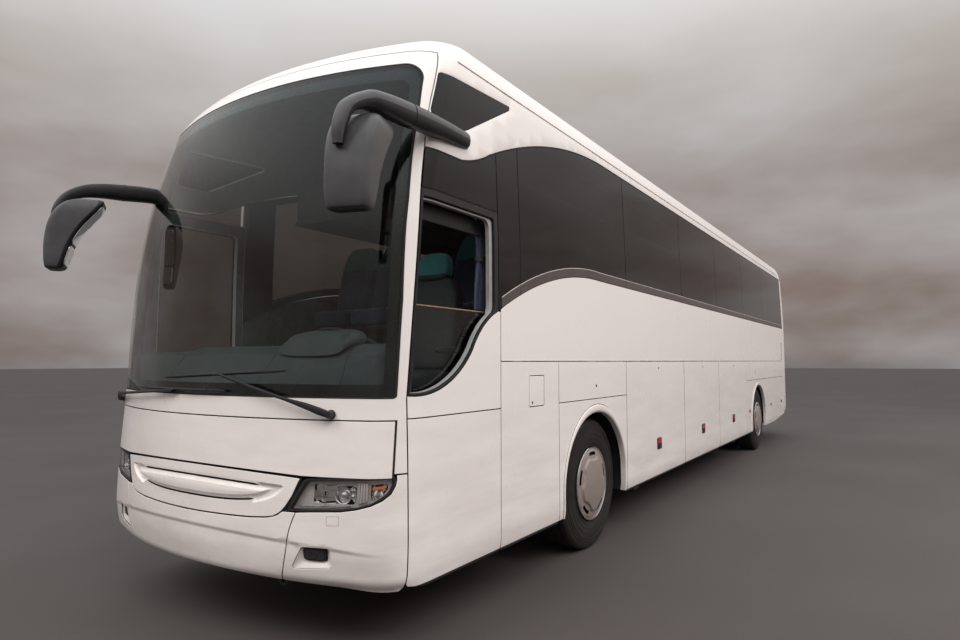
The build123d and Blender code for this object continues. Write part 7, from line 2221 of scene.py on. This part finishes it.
floor = bpy.data.objects.new("stage_floor", mesh)
bpy.context.scene.collection.objects.link(floor)

scene = bpy.context.scene
world = bpy.data.worlds.new("studio")
scene.world = world
world.use_nodes = True
nt = world.node_tree
nt.nodes.clear()
tcw = nd(nt, "TexCoord").outputs["Generated"]
zc = nd(nt, "SeparateXYZ", Vector=tcw).outputs[2]
ramp = nt.nodes.new("ShaderNodeValToRGB")
nt.links.new(nd(nt, "MapRange", Value=zc, From_Min=-1.0, From_Max=1.0).outputs[0], ramp.inputs[0])
els = ramp.color_ramp.elements
els[0].position, els[0].color = 0.0, (0.20, 0.19, 0.185, 1)
els[1].position, els[1].color = 1.0, (0.92, 0.95, 1.0, 1)
for pos, c in ((0.495, (0.16, 0.14, 0.13)), (0.505, (0.20, 0.155, 0.135)), (0.57, (0.24, 0.185, 0.16)), (0.63, (0.30, 0.25, 0.225)),
               (0.70, (0.52, 0.48, 0.45)), (0.77, (0.92, 0.91, 0.90)), (0.85, (1.0, 1.0, 1.0))):
    e = els.new(pos)
    e.color = (*c, 1)
cloud = nd(nt, "TexNoise", Vector=nd(nt, "Mapping", Vector=tcw, Scale=(1.5, 1.5, 4.0)).outputs[0], Scale=2.0, Detail=4.0).outputs[0]
cl = mix_color(nt, nd(nt, "MapRange", Value=cloud, From_Min=0.35, From_Max=0.7, To_Max=0.35).outputs[0], ramp.outputs[0], (0.80, 0.82, 0.86))
bg = nd(nt, "Background", Color=cl, Strength=0.95)
nt.links.new(bg.outputs[0], nd(nt, "OutputWorld").inputs[0])


def area_light(name, loc, target, size, power, color=(1, 1, 1)):
    data = bpy.data.lights.new(name, "AREA")
    data.shape, data.size, data.size_y, data.energy, data.color = "RECTANGLE", size[0], size[1], power, color
    obj = bpy.data.objects.new(name, data)
    obj.location = loc
    obj.rotation_euler = (Vector(target) - Vector(loc)).to_track_quat("-Z", "Y").to_euler()
    obj.visible_glossy = False
    scene.collection.objects.link(obj)
    return obj


area_light("key", (10, -12, 15), (0.5, -3, 1.2), (10, 10), 1810, (1.0, 0.96, 0.93))
area_light("side", (14, 4, 11), (1.2, 1.0, 1.2), (14, 6), 1750, (1.0, 0.96, 0.94))
area_light("front", (-4, -15, 11), (0, -6, 1.6), (8, 6), 960, (1.0, 0.97, 0.95))

cam_data = bpy.data.cameras.new("camera")
cam_data.sensor_width, cam_data.lens = 36.0, 24.247
cam_data.clip_end = 500
cam = bpy.data.objects.new("camera", cam_data)
cam.location = (3.347, -8.496, 1.490)
cam.rotation_euler = (math.radians(90 + 3.634), math.radians(0.031), math.radians(33.213))
scene.collection.objects.link(cam)
scene.camera = cam
scene.view_settings.view_transform = "Standard"
scene.view_settings.look = "None"
scene.view_settings.exposure = 0.0
